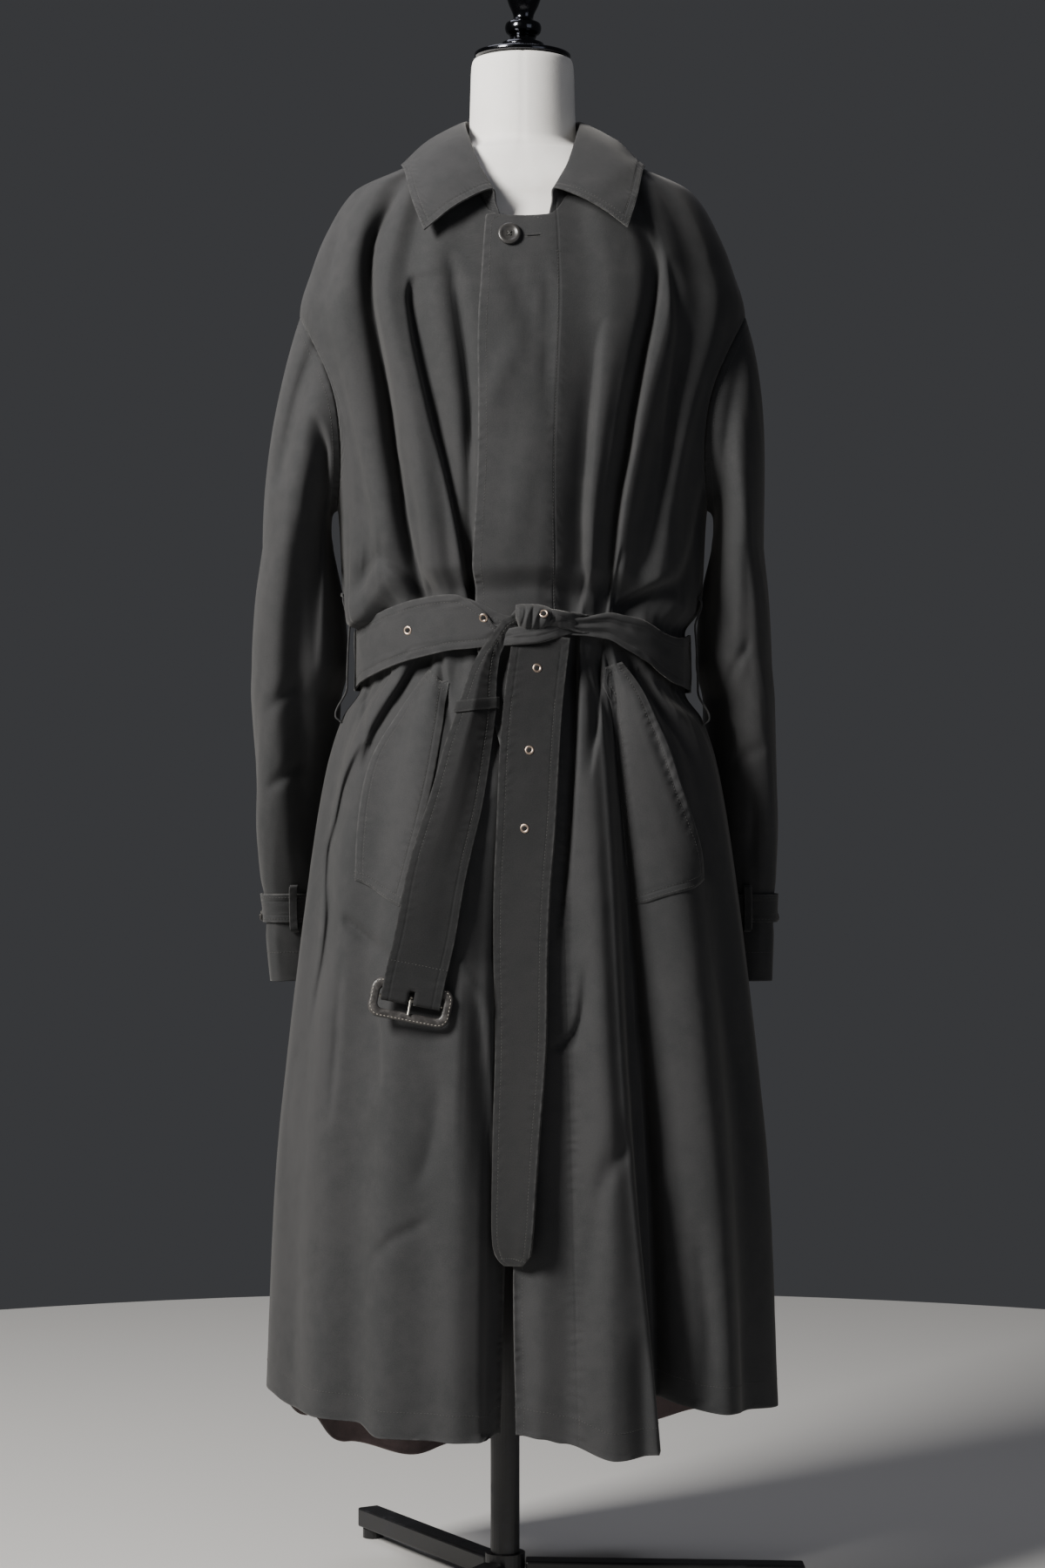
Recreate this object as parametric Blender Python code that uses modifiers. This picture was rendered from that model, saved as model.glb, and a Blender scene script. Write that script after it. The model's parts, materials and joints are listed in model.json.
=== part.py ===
"""A belted raincoat buttoned on a limbless dress form.

Metres, +Z up. The form stands on Z = 0 and faces -Y, so the wearer's left is at +X. Angles round
the body are in degrees from the front centre line, positive towards the wearer's left. The coat's
outer face is a stack of sections, moved in and out by the fold tables. Whatever lies on the cloth
is made from the same surface, moved out.
"""

import math
from collections import namedtuple

import bmesh
import bpy
import numpy as np
from mathutils import Matrix, Vector
from mathutils.bvhtree import BVHTree

MM = 0.001
PART_OFFSET = Vector((-0.0047, 0.0, 0.0))  # puts the middle of the bounding box over the origin

CLOTH_WALL = 1.6 * MM
SEAM_GAP = 0.3 * MM
SECTION_POWER = 0.9  # under 1 makes a section a little squarer than an ellipse

# Nominal heights of the coat. The neckline row lies at NECK_TOP before it is dropped at the front.
HEM, WAIST, SHOULDER_START, NECK_TOP = 0.19, 0.935, 1.20, 1.407
HEM_FADE = 0.50  # the uneven hem is blended into the skirt below this height

Section = namedtuple("Section", "height half_width front_depth back_depth")
COAT_SECTIONS = (
    Section(0.100, 0.250, 0.206, 0.204),
    Section(0.190, 0.248, 0.205, 0.200),
    Section(0.400, 0.240, 0.190, 0.190),
    Section(0.620, 0.218, 0.170, 0.172),
    Section(0.800, 0.192, 0.150, 0.152),
    Section(0.870, 0.175, 0.134, 0.134),
    Section(0.905, 0.1585, 0.121, 0.119),
    Section(0.965, 0.1585, 0.121, 0.119),
    Section(0.992, 0.174, 0.134, 0.128),
    Section(1.060, 0.180, 0.139, 0.131),
    Section(1.150, 0.197, 0.138, 0.134),
    Section(1.245, 0.217, 0.130, 0.130),
    Section(1.290, 0.205, 0.122, 0.122),
    Section(1.325, 0.191, 0.112, 0.112),
    Section(1.364, 0.166, 0.094, 0.098),
    Section(1.385, 0.122, 0.083, 0.088),
    Section(1.400, 0.090, 0.076, 0.080),
    Section(1.412, 0.066, 0.070, 0.072),
)

# Height of the neckline, by angle from the front.
NECKLINE_ANGLES = (0, 6, 14, 28, 45, 65, 90, 180)
NECKLINE_HEIGHTS = (1.325, 1.327, 1.358, 1.388, 1.400, 1.405, 1.407, 1.408)

# Centre line and width of the tied belt, by angle round the waist.
BeltStation = namedtuple("BeltStation", "angle height width")
BELT = (
    BeltStation(-180, 0.915, 0.056),
    BeltStation(-90, 0.905, 0.056),
    BeltStation(-62, 0.910, 0.056),
    BeltStation(-40, 0.930, 0.056),
    BeltStation(-22, 0.939, 0.052),
    BeltStation(-8, 0.939, 0.038),
    BeltStation(-1, 0.942, 0.025),
    BeltStation(3, 0.943, 0.027),
    BeltStation(10, 0.942, 0.024),
    BeltStation(16, 0.938, 0.017),
    BeltStation(28, 0.936, 0.017),
    BeltStation(42, 0.926, 0.032),
    BeltStation(60, 0.910, 0.048),
    BeltStation(90, 0.905, 0.056),
    BeltStation(180, 0.915, 0.056),
)
BELT_WALL, BELT_LIFT = 2.2 * MM, 3.4 * MM
BELT_WIDTH = 0.056
WAIST_BLEND = 0.09  # how far above and below the belt the cloth follows its sag

# An armhole is an ellipse in angle and height, centred on the side.
ARMHOLE_TOP, ARMHOLE_BOTTOM, ARMHOLE_HALF_ANGLE = 1.245, 1.060, 27.0
ARMHOLE_STEPS = 6  # rows of the panels along an armhole, and half the facets of a sleeve's head

# The fold lines run from hem to neck. Angles are in degrees and lifts in mm, at these heights.
FOLD_HEIGHTS = (HEM, 0.55, 0.80, WAIST, 1.12, 1.29)
Fold = namedtuple("Fold", "name hem_rise angles lifts")
LEFT_FRONT_FOLDS = (
    Fold("overlapping edge", 3, (-1, -2, -4, -14, -10, -7), (-14, -20, -6, 2, 3, 3)),
    Fold("placket ridge", 0, (3, 4, 3, 3, 4, 4), (-2, -10, -3, 2, 4, 3)),
    Fold("trough by placket", -4, (7, 9, 9, 14, 13, 14), (-10, -20, -14, -6, -4, -2)),
    Fold("broad ridge", -17, (17, 17, 17, 18, 20, 21), (22, 12, 6, 1, 5, 3)),
    Fold("ridge shoulder", -14, (26, 21, 21, 21, 24, 28), (26, 10, 4, 1, 4, 2)),
    Fold("deepest groove", 27, (31, 27, 26, 25, 28, 35), (-55, -42, -28, -12, -12, -6)),
    Fold("pocket ridge", 14, (47, 45, 43, 29, 33, 39), (14, 12, 8, 1, 4, 3)),
    Fold("soft groove", 9, (60, 60, 58, 36, 43, 50), (-10, -8, -8, -10, -7, -4)),
    Fold("outer ridge", 7, (72, 73, 72, 46, 52, 60), (8, 6, 4, 0, 3, 1)),
    Fold("side hollow", 6, (82, 82, 82, 68, 59, 76), (-3, -3, -2, -3, -1, 0)),
    Fold("side seam", 7, (90, 90, 90, 90, 90, 90), (0, 0, 0, 0, 0, 0)),
)
RIGHT_FRONT_FOLDS = (
    Fold("underlying edge", 0, (4, 2, 0, -4, -4, -4), (-36, -42, -16, -4, -3, -3)),
    Fold("groove by placket", -4, (8, 8, 8, 13, 11, 13), (-14, -24, -12, -6, -4, -3)),
    Fold("inner ridge", -4, (13, 13, 13, 16, 17, 21), (2, 2, 1, 0, 2, 2)),
    Fold("sharp groove", -3, (18, 19, 19, 21, 22, 29), (-12, -12, -8, -10, -8, -8)),
    Fold("middle ridge", -2, (29, 29, 28, 26, 29, 35), (10, 8, 6, 1, 5, 3)),
    Fold("deepest groove", 8, (38, 40, 42, 33, 39, 43), (-22, -20, -16, -12, -12, -7)),
    Fold("pocket ridge", 10, (48, 50, 55, 43, 50, 52), (8, 8, 8, 1, 4, 3)),
    Fold("soft groove", 12, (62, 64, 70, 56, 57, 66), (-10, -12, -6, -5, -3, -1)),
    Fold("outer ridge", 20, (76, 77, 80, 72, 60, 78), (5, 4, 2, 0, 0, 0)),
    Fold("side seam", 19, (90, 90, 90, 90, 90, 90), (0, 0, 0, 0, 0, 0)),
)
BACK_FOLDS = (
    Fold("left side seam", 7, (90, 90, 90, 90, 90, 90), (0, 0, 0, 0, 0, 0)),
    Fold("left sleeve hollow", -28, (118, 119, 111, 110, 118, 108), (-8, -22, -18, -3, -1, 0)),
    Fold("left ridge", -40, (137, 138, 134, 128, 130, 128), (14, 4, 4, 1, 3, 0)),
    Fold("left groove", -52, (150, 150, 147, 143, 143, 144), (-20, -14, -9, -10, -5, -2)),
    Fold("left centre ridge", -66, (164, 163, 161, 157, 157, 160), (12, 9, 6, 1, 3, 1)),
    Fold("centre groove", -72, (177, 176, 175, 172, 172, 175), (-14, -10, -8, -11, -5, -2)),
    Fold("right centre ridge", -82, (192, 191, 189, 186, 187, 190), (12, 8, 6, 1, 4, 1)),
    Fold("right groove", -88, (206, 205, 203, 200, 201, 204), (-16, -14, -9, -10, -5, -2)),
    Fold("right ridge", -74, (222, 221, 220, 217, 218, 222), (13, 5, 4, 1, 3, 0)),
    Fold("right sleeve hollow", -34, (242, 241, 249, 250, 242, 252), (-8, -22, -18, -3, -1, 0)),
    Fold("right side seam", 19, (270, 270, 270, 270, 270, 270), (0, 0, 0, 0, 0, 0)),
)
Panel = namedtuple("Panel", "name folds side seam_shift")
LEFT_FRONT = Panel("front_left", LEFT_FRONT_FOLDS, 1, -0.45 * MM)
RIGHT_FRONT = Panel("front_right", RIGHT_FRONT_FOLDS, -1, -0.45 * MM)
BACK = Panel("back", BACK_FOLDS, 1, 0.45 * MM)
COLUMNS_PER_FOLD = 2
LEAST_FOLD_ANGLE = 1.2

RowBand = namedtuple("RowBand", "bottom top steps")
BODY_ROWS = (
    RowBand(HEM, 0.80, 6),
    RowBand(0.80, 0.905, 2),
    RowBand(0.905, 0.965, 2),
    RowBand(0.965, ARMHOLE_BOTTOM, 2),
)
SHOULDER_ROWS = (ARMHOLE_TOP, 1.290, 1.325, 1.350, 1.364, 1.385, 1.398, NECK_TOP)

# The sleeves hang beside the skirt and a little behind it. Columns ending in right are for the
# wearer's right sleeve, and those ending in left for the left one, which hangs closer.
SleeveSection = namedtuple(
    "SleeveSection", "height reach_right half_thick_right reach_left half_thick_left y half_wide yaw"
)
SLEEVE_SECTIONS = (
    SleeveSection(1.020, 0.2195, 0.0345, 0.2105, 0.0250, 0.014, 0.089, 0),
    SleeveSection(0.960, 0.2180, 0.0430, 0.2080, 0.0330, 0.024, 0.086, 5),
    SleeveSection(0.910, 0.2180, 0.0455, 0.2085, 0.0345, 0.034, 0.082, 8),
    SleeveSection(0.870, 0.2225, 0.0410, 0.2140, 0.0310, 0.043, 0.079, 10),
    SleeveSection(0.760, 0.2220, 0.0340, 0.2150, 0.0300, 0.066, 0.071, 20),
    SleeveSection(0.680, 0.2150, 0.0300, 0.2100, 0.0280, 0.092, 0.065, 32),
    SleeveSection(0.594, 0.2080, 0.0270, 0.2070, 0.0270, 0.110, 0.062, 38),
)
SLEEVE_HEAD_STEPS = 4
SLEEVE_ROWS = (1.020, 0.960, 0.910, 0.860, 0.780, 0.705, 0.683, 0.651, 0.630, 0.594)
SLEEVE_START_SHRINK = 0.992
STRAP_PINCH = 2.0 * MM  # how far the cuff strap draws the sleeve in
STRAP_HEIGHT, STRAP_WIDTH, STRAP_WALL = 0.667, 0.028, 1.8 * MM

# The collar turns down along its fold line. Positions are in mm.
CollarStation = namedtuple("CollarStation", "angle fold edge")
COLLAR = (
    CollarStation(-5, (-29.5, -112, 1351), (-92.8, -125, 1310)),
    CollarStation(-22, (-44, -86, 1382), (-104, -106, 1340)),
    CollarStation(-50, (-54, -46, 1416), (-113, -63, 1376)),
    CollarStation(-90, (-56, 0, 1436), (-116.5, 0, 1393)),
    CollarStation(-135, (-43, 44, 1442), (-90, 68, 1386)),
    CollarStation(-180, (0, 64, 1445), (0, 107, 1371)),
    CollarStation(-225, (43, 44, 1442), (90, 68, 1386)),
    CollarStation(-270, (56, 0, 1436), (117, 0, 1392)),
    CollarStation(-310, (54, -46, 1416), (115, -63, 1376)),
    CollarStation(-338, (45, -84, 1382), (108, -104, 1342)),
    CollarStation(-354, (31, -112, 1352), (99.5, -124, 1313)),
)
COLLAR_WALL, COLLAR_RISE, COLLAR_CLEARANCE = 1.8 * MM, 2.6 * MM, 0.6 * MM
COLLAR_STEPS = 2  # facets for each stretch of its length

PocketCorners = namedtuple("PocketCorners", "name panel inner_top outer_top outer_bottom inner_bottom")
POCKETS = (
    PocketCorners("pocket_welt_left", LEFT_FRONT, (27, 0.896), (36, 0.902), (54, 0.699), (31, 0.674)),
    PocketCorners("pocket_welt_right", RIGHT_FRONT, (22, 0.880), (33, 0.896), (48, 0.699), (30, 0.676)),
)
POCKET_LIFT, POCKET_WALL = 0.9 * MM, 1.6 * MM

# The two loose ends of the belt, from the knot down: middle of the strip, its width and its turn
# about the vertical, and how far the ridge of a lengthwise crease stands forward.
TailStation = namedtuple("TailStation", "x z width turn ridge clearance")
BUCKLE_TAIL = (
    TailStation(-0.0030, 0.9440, 0.012, 0, 0.001, 0.0034),
    TailStation(-0.0140, 0.9380, 0.014, 0, 0.002, 0.0020),
    TailStation(-0.0250, 0.9210, 0.016, 0, 0.003, 0.0014),
    TailStation(-0.0310, 0.9100, 0.020, 0, 0.006, 0.0014),
    TailStation(-0.0370, 0.8900, 0.027, 0, 0.009, 0.0020),
    TailStation(-0.0410, 0.8680, 0.034, 0, 0.011, 0.0036),
    TailStation(-0.0430, 0.8560, 0.036, 0, 0.012, 0.0036),
    TailStation(-0.0510, 0.8220, 0.044, 0, 0.012, 0.0016),
    TailStation(-0.0616, 0.7740, 0.050, 0, 0.009, 0.0014),
    TailStation(-0.0790, 0.7090, 0.055, 0, 0.004, 0.0014),
    TailStation(-0.0895, 0.6520, 0.056, 0, 0.001, 0.0014),
    TailStation(-0.0990, 0.6110, 0.056, 0, 0, 0.0014),
)
TIP_TAIL = (
    TailStation(0.0172, 0.9200, 0.054, 0, 0, 0.0008),
    TailStation(0.0105, 0.8700, 0.055, 0, 0, 0.0010),
    TailStation(0.0065, 0.8210, 0.056, 5, 0, 0.0014),
    TailStation(0.0028, 0.7490, 0.056, 14, 0, 0.0014),
    TailStation(-0.0010, 0.6900, 0.056, 22, 0, 0.0014),
    TailStation(-0.0024, 0.6280, 0.056, 28, 0, 0.0014),
    TailStation(-0.0024, 0.5470, 0.056, 34, 0, 0.0014),
    TailStation(-0.0065, 0.4660, 0.056, 41, 0, 0.0014),
    TailStation(-0.0100, 0.3790, 0.056, 48, 0, 0.0014),
    TailStation(-0.0095, 0.3560, 0.048, 48, 0, 0.0014),
    TailStation(-0.0085, 0.3460, 0.026, 48, 0, 0.0014),
)
TAIL_WALL = 2.2 * MM
TAIL_ACROSS = 5  # facets across a tail, the middle one being the slot for the prong

# The knot: a pleated turn of the belt over a strand that slants along its lower edge.
KNOT_LEFT, KNOT_RIGHT, KNOT_PLEATS, PLEAT_DEPTH = -0.0060, 0.0148, 3, 1.1 * MM
KNOT_BACK, KNOT_SLANT = -0.1276, 0.05
KNOT_PATH = (
    (0.0005, 0.9345),
    (-0.0070, 0.9337),
    (-0.0125, 0.9368),
    (-0.0145, 0.9440),
    (-0.0125, 0.9522),
    (-0.0065, 0.9568),
    (0.0005, 0.9560),
)
StrandStation = namedtuple("StrandStation", "x z width forward")
KNOT_STRAND = (
    StrandStation(-0.0050, 0.9248, 0.0105, 0.0075),
    StrandStation(0.0060, 0.9248, 0.0105, 0.0078),
    StrandStation(0.0180, 0.9245, 0.0100, 0.0070),
    StrandStation(0.0300, 0.9265, 0.0095, 0.0055),
    StrandStation(0.0410, 0.9290, 0.0070, 0.0036),
)
KEEPER_HEIGHT, KEEPER_WIDTH, KEEPER_WALL, KEEPER_GAP = 0.8635, 0.010, 1.4 * MM, 1.1 * MM

# How far a belt loop stands off the coat, from its lower end to its upper one.
BELT_LOOP_PATH = ((1.1, 0.862), (8.0, 0.870), (13.0, 0.895), (12.5, 0.940), (9.0, 0.975), (1.4, 0.990))
BELT_LOOP_WIDTH, BELT_LOOP_WALL, BELT_LOOP_ANGLE = 0.012, 1.4 * MM, 79.0
STRAP_LOOP_TURN, STRAP_LOOP_WIDTH, STRAP_LOOP_WALL = -130.0, 0.010, 1.2 * MM
STRAP_LOOP_PATH = ((-0.0235, 0.9), (-0.0190, 4.2), (0, 4.4), (0.0190, 4.2), (0.0235, 0.9))

# Leather covered buckle at the end of the belt. v runs down the strap from the bar's centre.
BUCKLE_WIDTH, BUCKLE_TOP, BUCKLE_BOTTOM, BUCKLE_BAR = 0.077, 0.017, 0.020, 0.0085
BUCKLE_THICK, BUCKLE_CORNER = 4.5 * MM, 0.011
BAR_RADIUS, BAR_GAP = 1.5 * MM, 0.35 * MM
PRONG_RADIUS, PRONG_REACH, PRONG_SLOT = 1.1 * MM, 13.2 * MM, 9.0 * MM
BUCKLE_SLOPE, BUCKLE_LEAN = 11.0, 5.5  # degrees: turn in front view, and lean with the skirt

EYELET_RADIUS, EYELET_HOLE, EYELET_RIM = 4.4 * MM, 1.9 * MM, 1.3 * MM
EYELETS = (
    ("eyelet_band_outer", -0.1085, 0.935),
    ("eyelet_band_inner", -0.0366, 0.9457),
    ("eyelet_knot", 0.0196, 0.9485),
    ("eyelet_tail_upper", 0.0138, 0.8985),
    ("eyelet_tail_middle", 0.0065, 0.8216),
    ("eyelet_tail_lower", 0.0020, 0.7487),
)
BUTTON_RADIUS, BUTTON_THICK = 10.8 * MM, 3.2 * MM
BUTTON_X, BUTTON_Z = -0.0123, 1.306
CUFF_BUCKLE_LONG, CUFF_BUCKLE_WIDE, CUFF_BUCKLE_BAR = 0.042, 0.030, 0.0065
CUFF_BUCKLE_STAND = {"left": 7.8 * MM, "right": 8.5 * MM}

FormSection = namedtuple("FormSection", "height half_width front_depth back_depth")
FORM_SECTIONS = (
    FormSection(0.722, 0.140, 0.098, 0.104),
    FormSection(0.740, 0.147, 0.103, 0.110),
    FormSection(0.800, 0.149, 0.104, 0.112),
    FormSection(0.900, 0.138, 0.098, 0.102),
    FormSection(0.960, 0.116, 0.088, 0.090),
    FormSection(1.060, 0.128, 0.098, 0.100),
    FormSection(1.150, 0.145, 0.108, 0.108),
    FormSection(1.245, 0.158, 0.106, 0.110),
    FormSection(1.300, 0.166, 0.098, 0.106),
    FormSection(1.330, 0.168, 0.092, 0.099),
    FormSection(1.350, 0.167, 0.086, 0.092),
)
FORM_SHOULDER_HEIGHTS = (1.3620, 1.3830, 1.3960, 1.4010)
NECK_SECTIONS = (
    FormSection(1.4040, 0.0700, 0.063, 0.063),
    FormSection(1.4085, 0.0580, 0.056, 0.056),
    FormSection(1.4150, 0.0528, 0.0520, 0.0520),
    FormSection(1.4400, 0.0515, 0.0510, 0.0510),
    FormSection(1.4860, 0.0500, 0.0495, 0.0495),
    FormSection(1.4950, 0.0480, 0.0475, 0.0475),
    FormSection(1.4965, 0.0440, 0.0435, 0.0435),
)
SHOULDER_DROP, SHOULDER_INSET = 2.0 * MM, 1.6 * MM
FORM_COLUMNS = 20
POLE_X, POLE_RADIUS = -0.017, 14.2 * MM
LEAN_START, LEAN_END = 1.30, 0.74  # the body of the form leans over to its pole between these

LEG_ANGLES = (("leg_back", 120), ("leg_front", 240), ("leg_side", 0))
LEG_REACH, LEG_WIDE, LEG_THICK, LEG_FALL = 0.292, 0.024, 0.020, 0.004
LEG_TOP = 0.034  # where the leg leaves the hub
HUB_RADIUS, HUB_BOTTOM, HUB_TOP = 19.5 * MM, 0.010, 0.041
FOOT_RADIUS, FOOT_INSET = 11.0 * MM, 0.013

forward_faces = []  # (points, faces) of every outer face that a loose piece may lie against


# --- tables ----------------------------------------------------------------------------------


def monotone(stations, values, at):
    """Value on the smooth curve through a table, which never overshoots its rows."""
    x, y = np.asarray(stations, float), np.asarray(values, float)
    gap, rise = np.diff(x), np.diff(y)
    slope = rise / gap
    tangent = np.concatenate(([slope[0]], np.zeros(len(x) - 2), [slope[-1]]))
    for i in range(1, len(x) - 1):
        if slope[i - 1] * slope[i] > 0:
            tangent[i] = 2 * slope[i - 1] * slope[i] / (slope[i - 1] + slope[i])
    at = min(max(at, x[0]), x[-1])
    i = min(int(np.searchsorted(x, at, side="right")) - 1, len(x) - 2)
    s = (at - x[i]) / gap[i]
    return float(
        y[i]
        + rise[i] * s * s * (3 - 2 * s)
        + gap[i] * s * (1 - s) * (tangent[i] * (1 - s) - tangent[i + 1] * s)
    )


def table_at(rows, key, at):
    """Every later column of a table of named tuples, read at a value of its first column."""
    stations = [row[key] for row in rows]
    return [monotone(stations, [row[k] for row in rows], at) for k in range(key + 1, len(rows[0]))]


def signed_power(value, power):
    return math.copysign(abs(value) ** power, value)


def mix(a, b, share):
    return a + (b - a) * share


# --- the coat's surface ----------------------------------------------------------------------


def wrapped(angle):
    """The angle between -180 and 180."""
    return (angle + 180) % 360 - 180


def belt_at(angle):
    """Height and width of the belt at an angle round the waist."""
    return table_at(BELT, 0, wrapped(angle))


def true_height(angle, nominal):
    """Height of a nominal row at an angle: rows over the shoulder bend down to the neckline."""
    if nominal <= SHOULDER_START:
        return nominal
    neck = monotone(NECKLINE_ANGLES, NECKLINE_HEIGHTS, abs(wrapped(angle)))
    share = (nominal - SHOULDER_START) / (NECK_TOP - SHOULDER_START)
    return mix(SHOULDER_START, neck, share)


def body_point(angle, nominal, lift, hem_rise=0.0):
    """Point of the cloth at an angle and a nominal height, moved out level by the lift."""
    height = true_height(angle, nominal)
    half_width, front, back = table_at(COAT_SECTIONS, 0, height)
    sine, cosine = math.sin(math.radians(angle)), math.cos(math.radians(angle))
    depth = front if cosine > 0 else back
    outward = Vector((sine / half_width, -cosine / depth, 0)).normalized()
    point = Vector(
        (
            half_width * signed_power(sine, SECTION_POWER),
            -depth * signed_power(cosine, SECTION_POWER),
            height,
        )
    )
    sag = (belt_at(angle)[0] - WAIST) * math.exp(-(((nominal - WAIST) / WAIST_BLEND) ** 2))
    if nominal < HEM_FADE:
        sag += hem_rise * ((HEM_FADE - nominal) / (HEM_FADE - HEM)) ** 2
    return point + outward * lift + Vector((0, 0, sag))


def armhole_cut(nominal):
    """Half the angle that the armhole takes out of a row."""
    centre = (ARMHOLE_TOP + ARMHOLE_BOTTOM) / 2
    offset = (nominal - centre) / (ARMHOLE_TOP - centre)
    return ARMHOLE_HALF_ANGLE * math.sqrt(max(0.0, 1 - offset * offset))


def fold_lines(panel, nominal):
    """Angles, lifts and hem rises of a panel's fold lines at a height, in metres."""
    folds = panel.folds
    angles = np.array([monotone(FOLD_HEIGHTS, fold.angles, nominal) for fold in folds])
    lifts = np.array([monotone(FOLD_HEIGHTS, fold.lifts, nominal) for fold in folds]) * MM
    cut = armhole_cut(nominal)
    low, high = (90 + cut, 270 - cut) if panel is BACK else (-90, 90 - cut)
    steps = LEAST_FOLD_ANGLE * np.arange(len(folds))
    if panel is BACK:
        angles = np.maximum(angles, low + steps)
        angles[0] = low
    angles = np.minimum(angles, high - steps[::-1])
    angles[-1] = high
    return angles, lifts, np.array([fold.hem_rise for fold in folds]) * MM


def cloth_point(panel, angle, nominal, out=0.0):
    """Point of a panel's outer face with its folds, moved out. The angle is the panel's own."""
    angles, lifts, rises = fold_lines(panel, nominal)
    i = int(np.clip(np.searchsorted(angles, angle) - 1, 0, len(angles) - 2))
    share = min(max((angle - angles[i]) / (angles[i + 1] - angles[i]), 0.0), 1.0)
    share = (1 - math.cos(math.pi * share)) / 2
    lift = mix(lifts[i], lifts[i + 1], share)
    rise = mix(rises[i], rises[i + 1], share)
    return body_point(angle * panel.side, nominal, lift + out, rise)


# --- making objects --------------------------------------------------------------------------


def clear_scene():
    for found in list(bpy.data.objects):
        bpy.data.objects.remove(found)


def material(name, colour, roughness, metallic=0.0):
    made = bpy.data.materials.new(name)
    made.use_nodes = True
    shader = made.node_tree.nodes["Principled BSDF"]
    shader.inputs["Base Color"].default_value = (*colour, 1)
    shader.inputs["Roughness"].default_value = roughness
    shader.inputs["Metallic"].default_value = metallic
    return made


def add_object(name, mesh, finish):
    placed = bpy.data.objects.new(name, mesh)
    placed.data.materials.append(finish)
    parts.objects.link(placed)
    placed.parent = root
    return placed


def grid_faces(row_count, column_count, wrap, missing=()):
    """Quads between neighbouring rows of points, facing out where columns run to the right."""
    last = column_count if wrap else column_count - 1
    return [
        (
            i * column_count + j,
            i * column_count + (j + 1) % column_count,
            (i + 1) * column_count + (j + 1) % column_count,
            (i + 1) * column_count + j,
        )
        for i in range(row_count - 1)
        for j in range(last)
        if (i, j) not in missing
    ]


def sheet(name, rows, wall, finish, wrap=False, outward=False, missing=()):
    """A cloth wall: rows of points, bottom row first, given their thickness by Solidify."""
    points = [tuple(point) for row in rows for point in row]
    quads = grid_faces(len(rows), len(rows[0]), wrap, missing)
    faces = [corners for a, b, c, d in quads for corners in ((a, b, c), (a, c, d))]
    mesh = bpy.data.meshes.new(name)
    mesh.from_pydata(points, [], faces)
    mesh.validate()
    mesh.shade_smooth()
    placed = add_object(name, mesh, finish)
    solid = placed.modifiers.new("wall", "SOLIDIFY")
    solid.thickness = wall
    solid.offset = 1 if outward else -1
    solid.use_quality_normals = True
    if outward:
        points = [tuple(vertex.co + vertex.normal * wall) for vertex in mesh.vertices]
    forward_faces.append((points, faces))
    return placed


def solid_from_rings(name, rings, finish):
    """A closed body through rings of equal length, bottom ring first, with flat ends."""
    count = len(rings[0])
    points = [tuple(point) for ring in rings for point in ring]
    faces = grid_faces(len(rings), count, True)
    faces.append(tuple(reversed(range(count))))
    faces.append(tuple(range((len(rings) - 1) * count, len(rings) * count)))
    mesh = bpy.data.meshes.new(name)
    mesh.from_pydata(points, [], faces)
    mesh.shade_smooth()
    return add_object(name, mesh, finish)


def mesh_from_bmesh(name, built):
    mesh = bpy.data.meshes.new(name)
    built.to_mesh(mesh)
    built.free()
    return mesh


def cylinder(name, radius, bottom, top, location, finish, sides=28):
    built = bmesh.new()
    bmesh.ops.create_cone(
        built, cap_ends=True, segments=sides, radius1=radius, radius2=radius, depth=top - bottom
    )
    placed = add_object(name, mesh_from_bmesh(name, built), finish)
    placed.location = (*location, (bottom + top) / 2)
    return placed


def turned(name, profile, finish, matrix, steps=32):
    """A turned piece: its profile runs down the outer side, from the axis back to the axis."""
    mesh = bpy.data.meshes.new(name)
    edges = [(i, i + 1) for i in range(len(profile) - 1)]
    mesh.from_pydata([(radius, 0, height) for radius, height in profile], edges, [])
    placed = add_object(name, mesh, finish)
    placed.matrix_local = matrix
    screw = placed.modifiers.new("turn", "SCREW")
    screw.steps = screw.render_steps = steps
    screw.use_merge_vertices = True
    screw.merge_threshold = 0.00001
    screw.use_smooth_shade = True
    return placed


def ring_profile(outer, inner, half_height):
    """Closed profile of a flat ring with rounded edges, starting at the top of its bore."""
    middle, reach = (outer + inner) / 2, (outer - inner) / 2
    turns = [math.pi * (7 / 6 - k / 3) for k in range(6)]
    found = [(middle + reach * math.cos(t), half_height * math.sin(t)) for t in turns]
    return found + [found[0]]


def tube(name, path, radius, finish, matrix=None, resolution=2):
    """A wire along a path, with closed ends."""
    curve = bpy.data.curves.new(name, "CURVE")
    curve.dimensions = "3D"
    curve.bevel_depth = radius
    curve.bevel_resolution = resolution
    curve.use_fill_caps = True
    spline = curve.splines.new("POLY")
    spline.points.add(len(path) - 1)
    for point, place in zip(spline.points, path):
        point.co = (*place, 1)
    placed = add_object(name, curve, finish)
    placed.matrix_local = matrix or Matrix()
    return placed


def rounded_rectangle(half_x, top, bottom, corner, steps=2):
    """Corner points of a rounded rectangle, anticlockwise from its lower right."""
    centres = ((half_x - corner, -bottom + corner, -90), (half_x - corner, top - corner, 0))
    centres += ((-half_x + corner, top - corner, 90), (-half_x + corner, -bottom + corner, 180))
    found = []
    for x, y, start in centres:
        for k in range(steps + 1):
            turn = math.radians(start + 90 * k / steps)
            found.append((x + corner * math.cos(turn), y + corner * math.sin(turn)))
    return found


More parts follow.
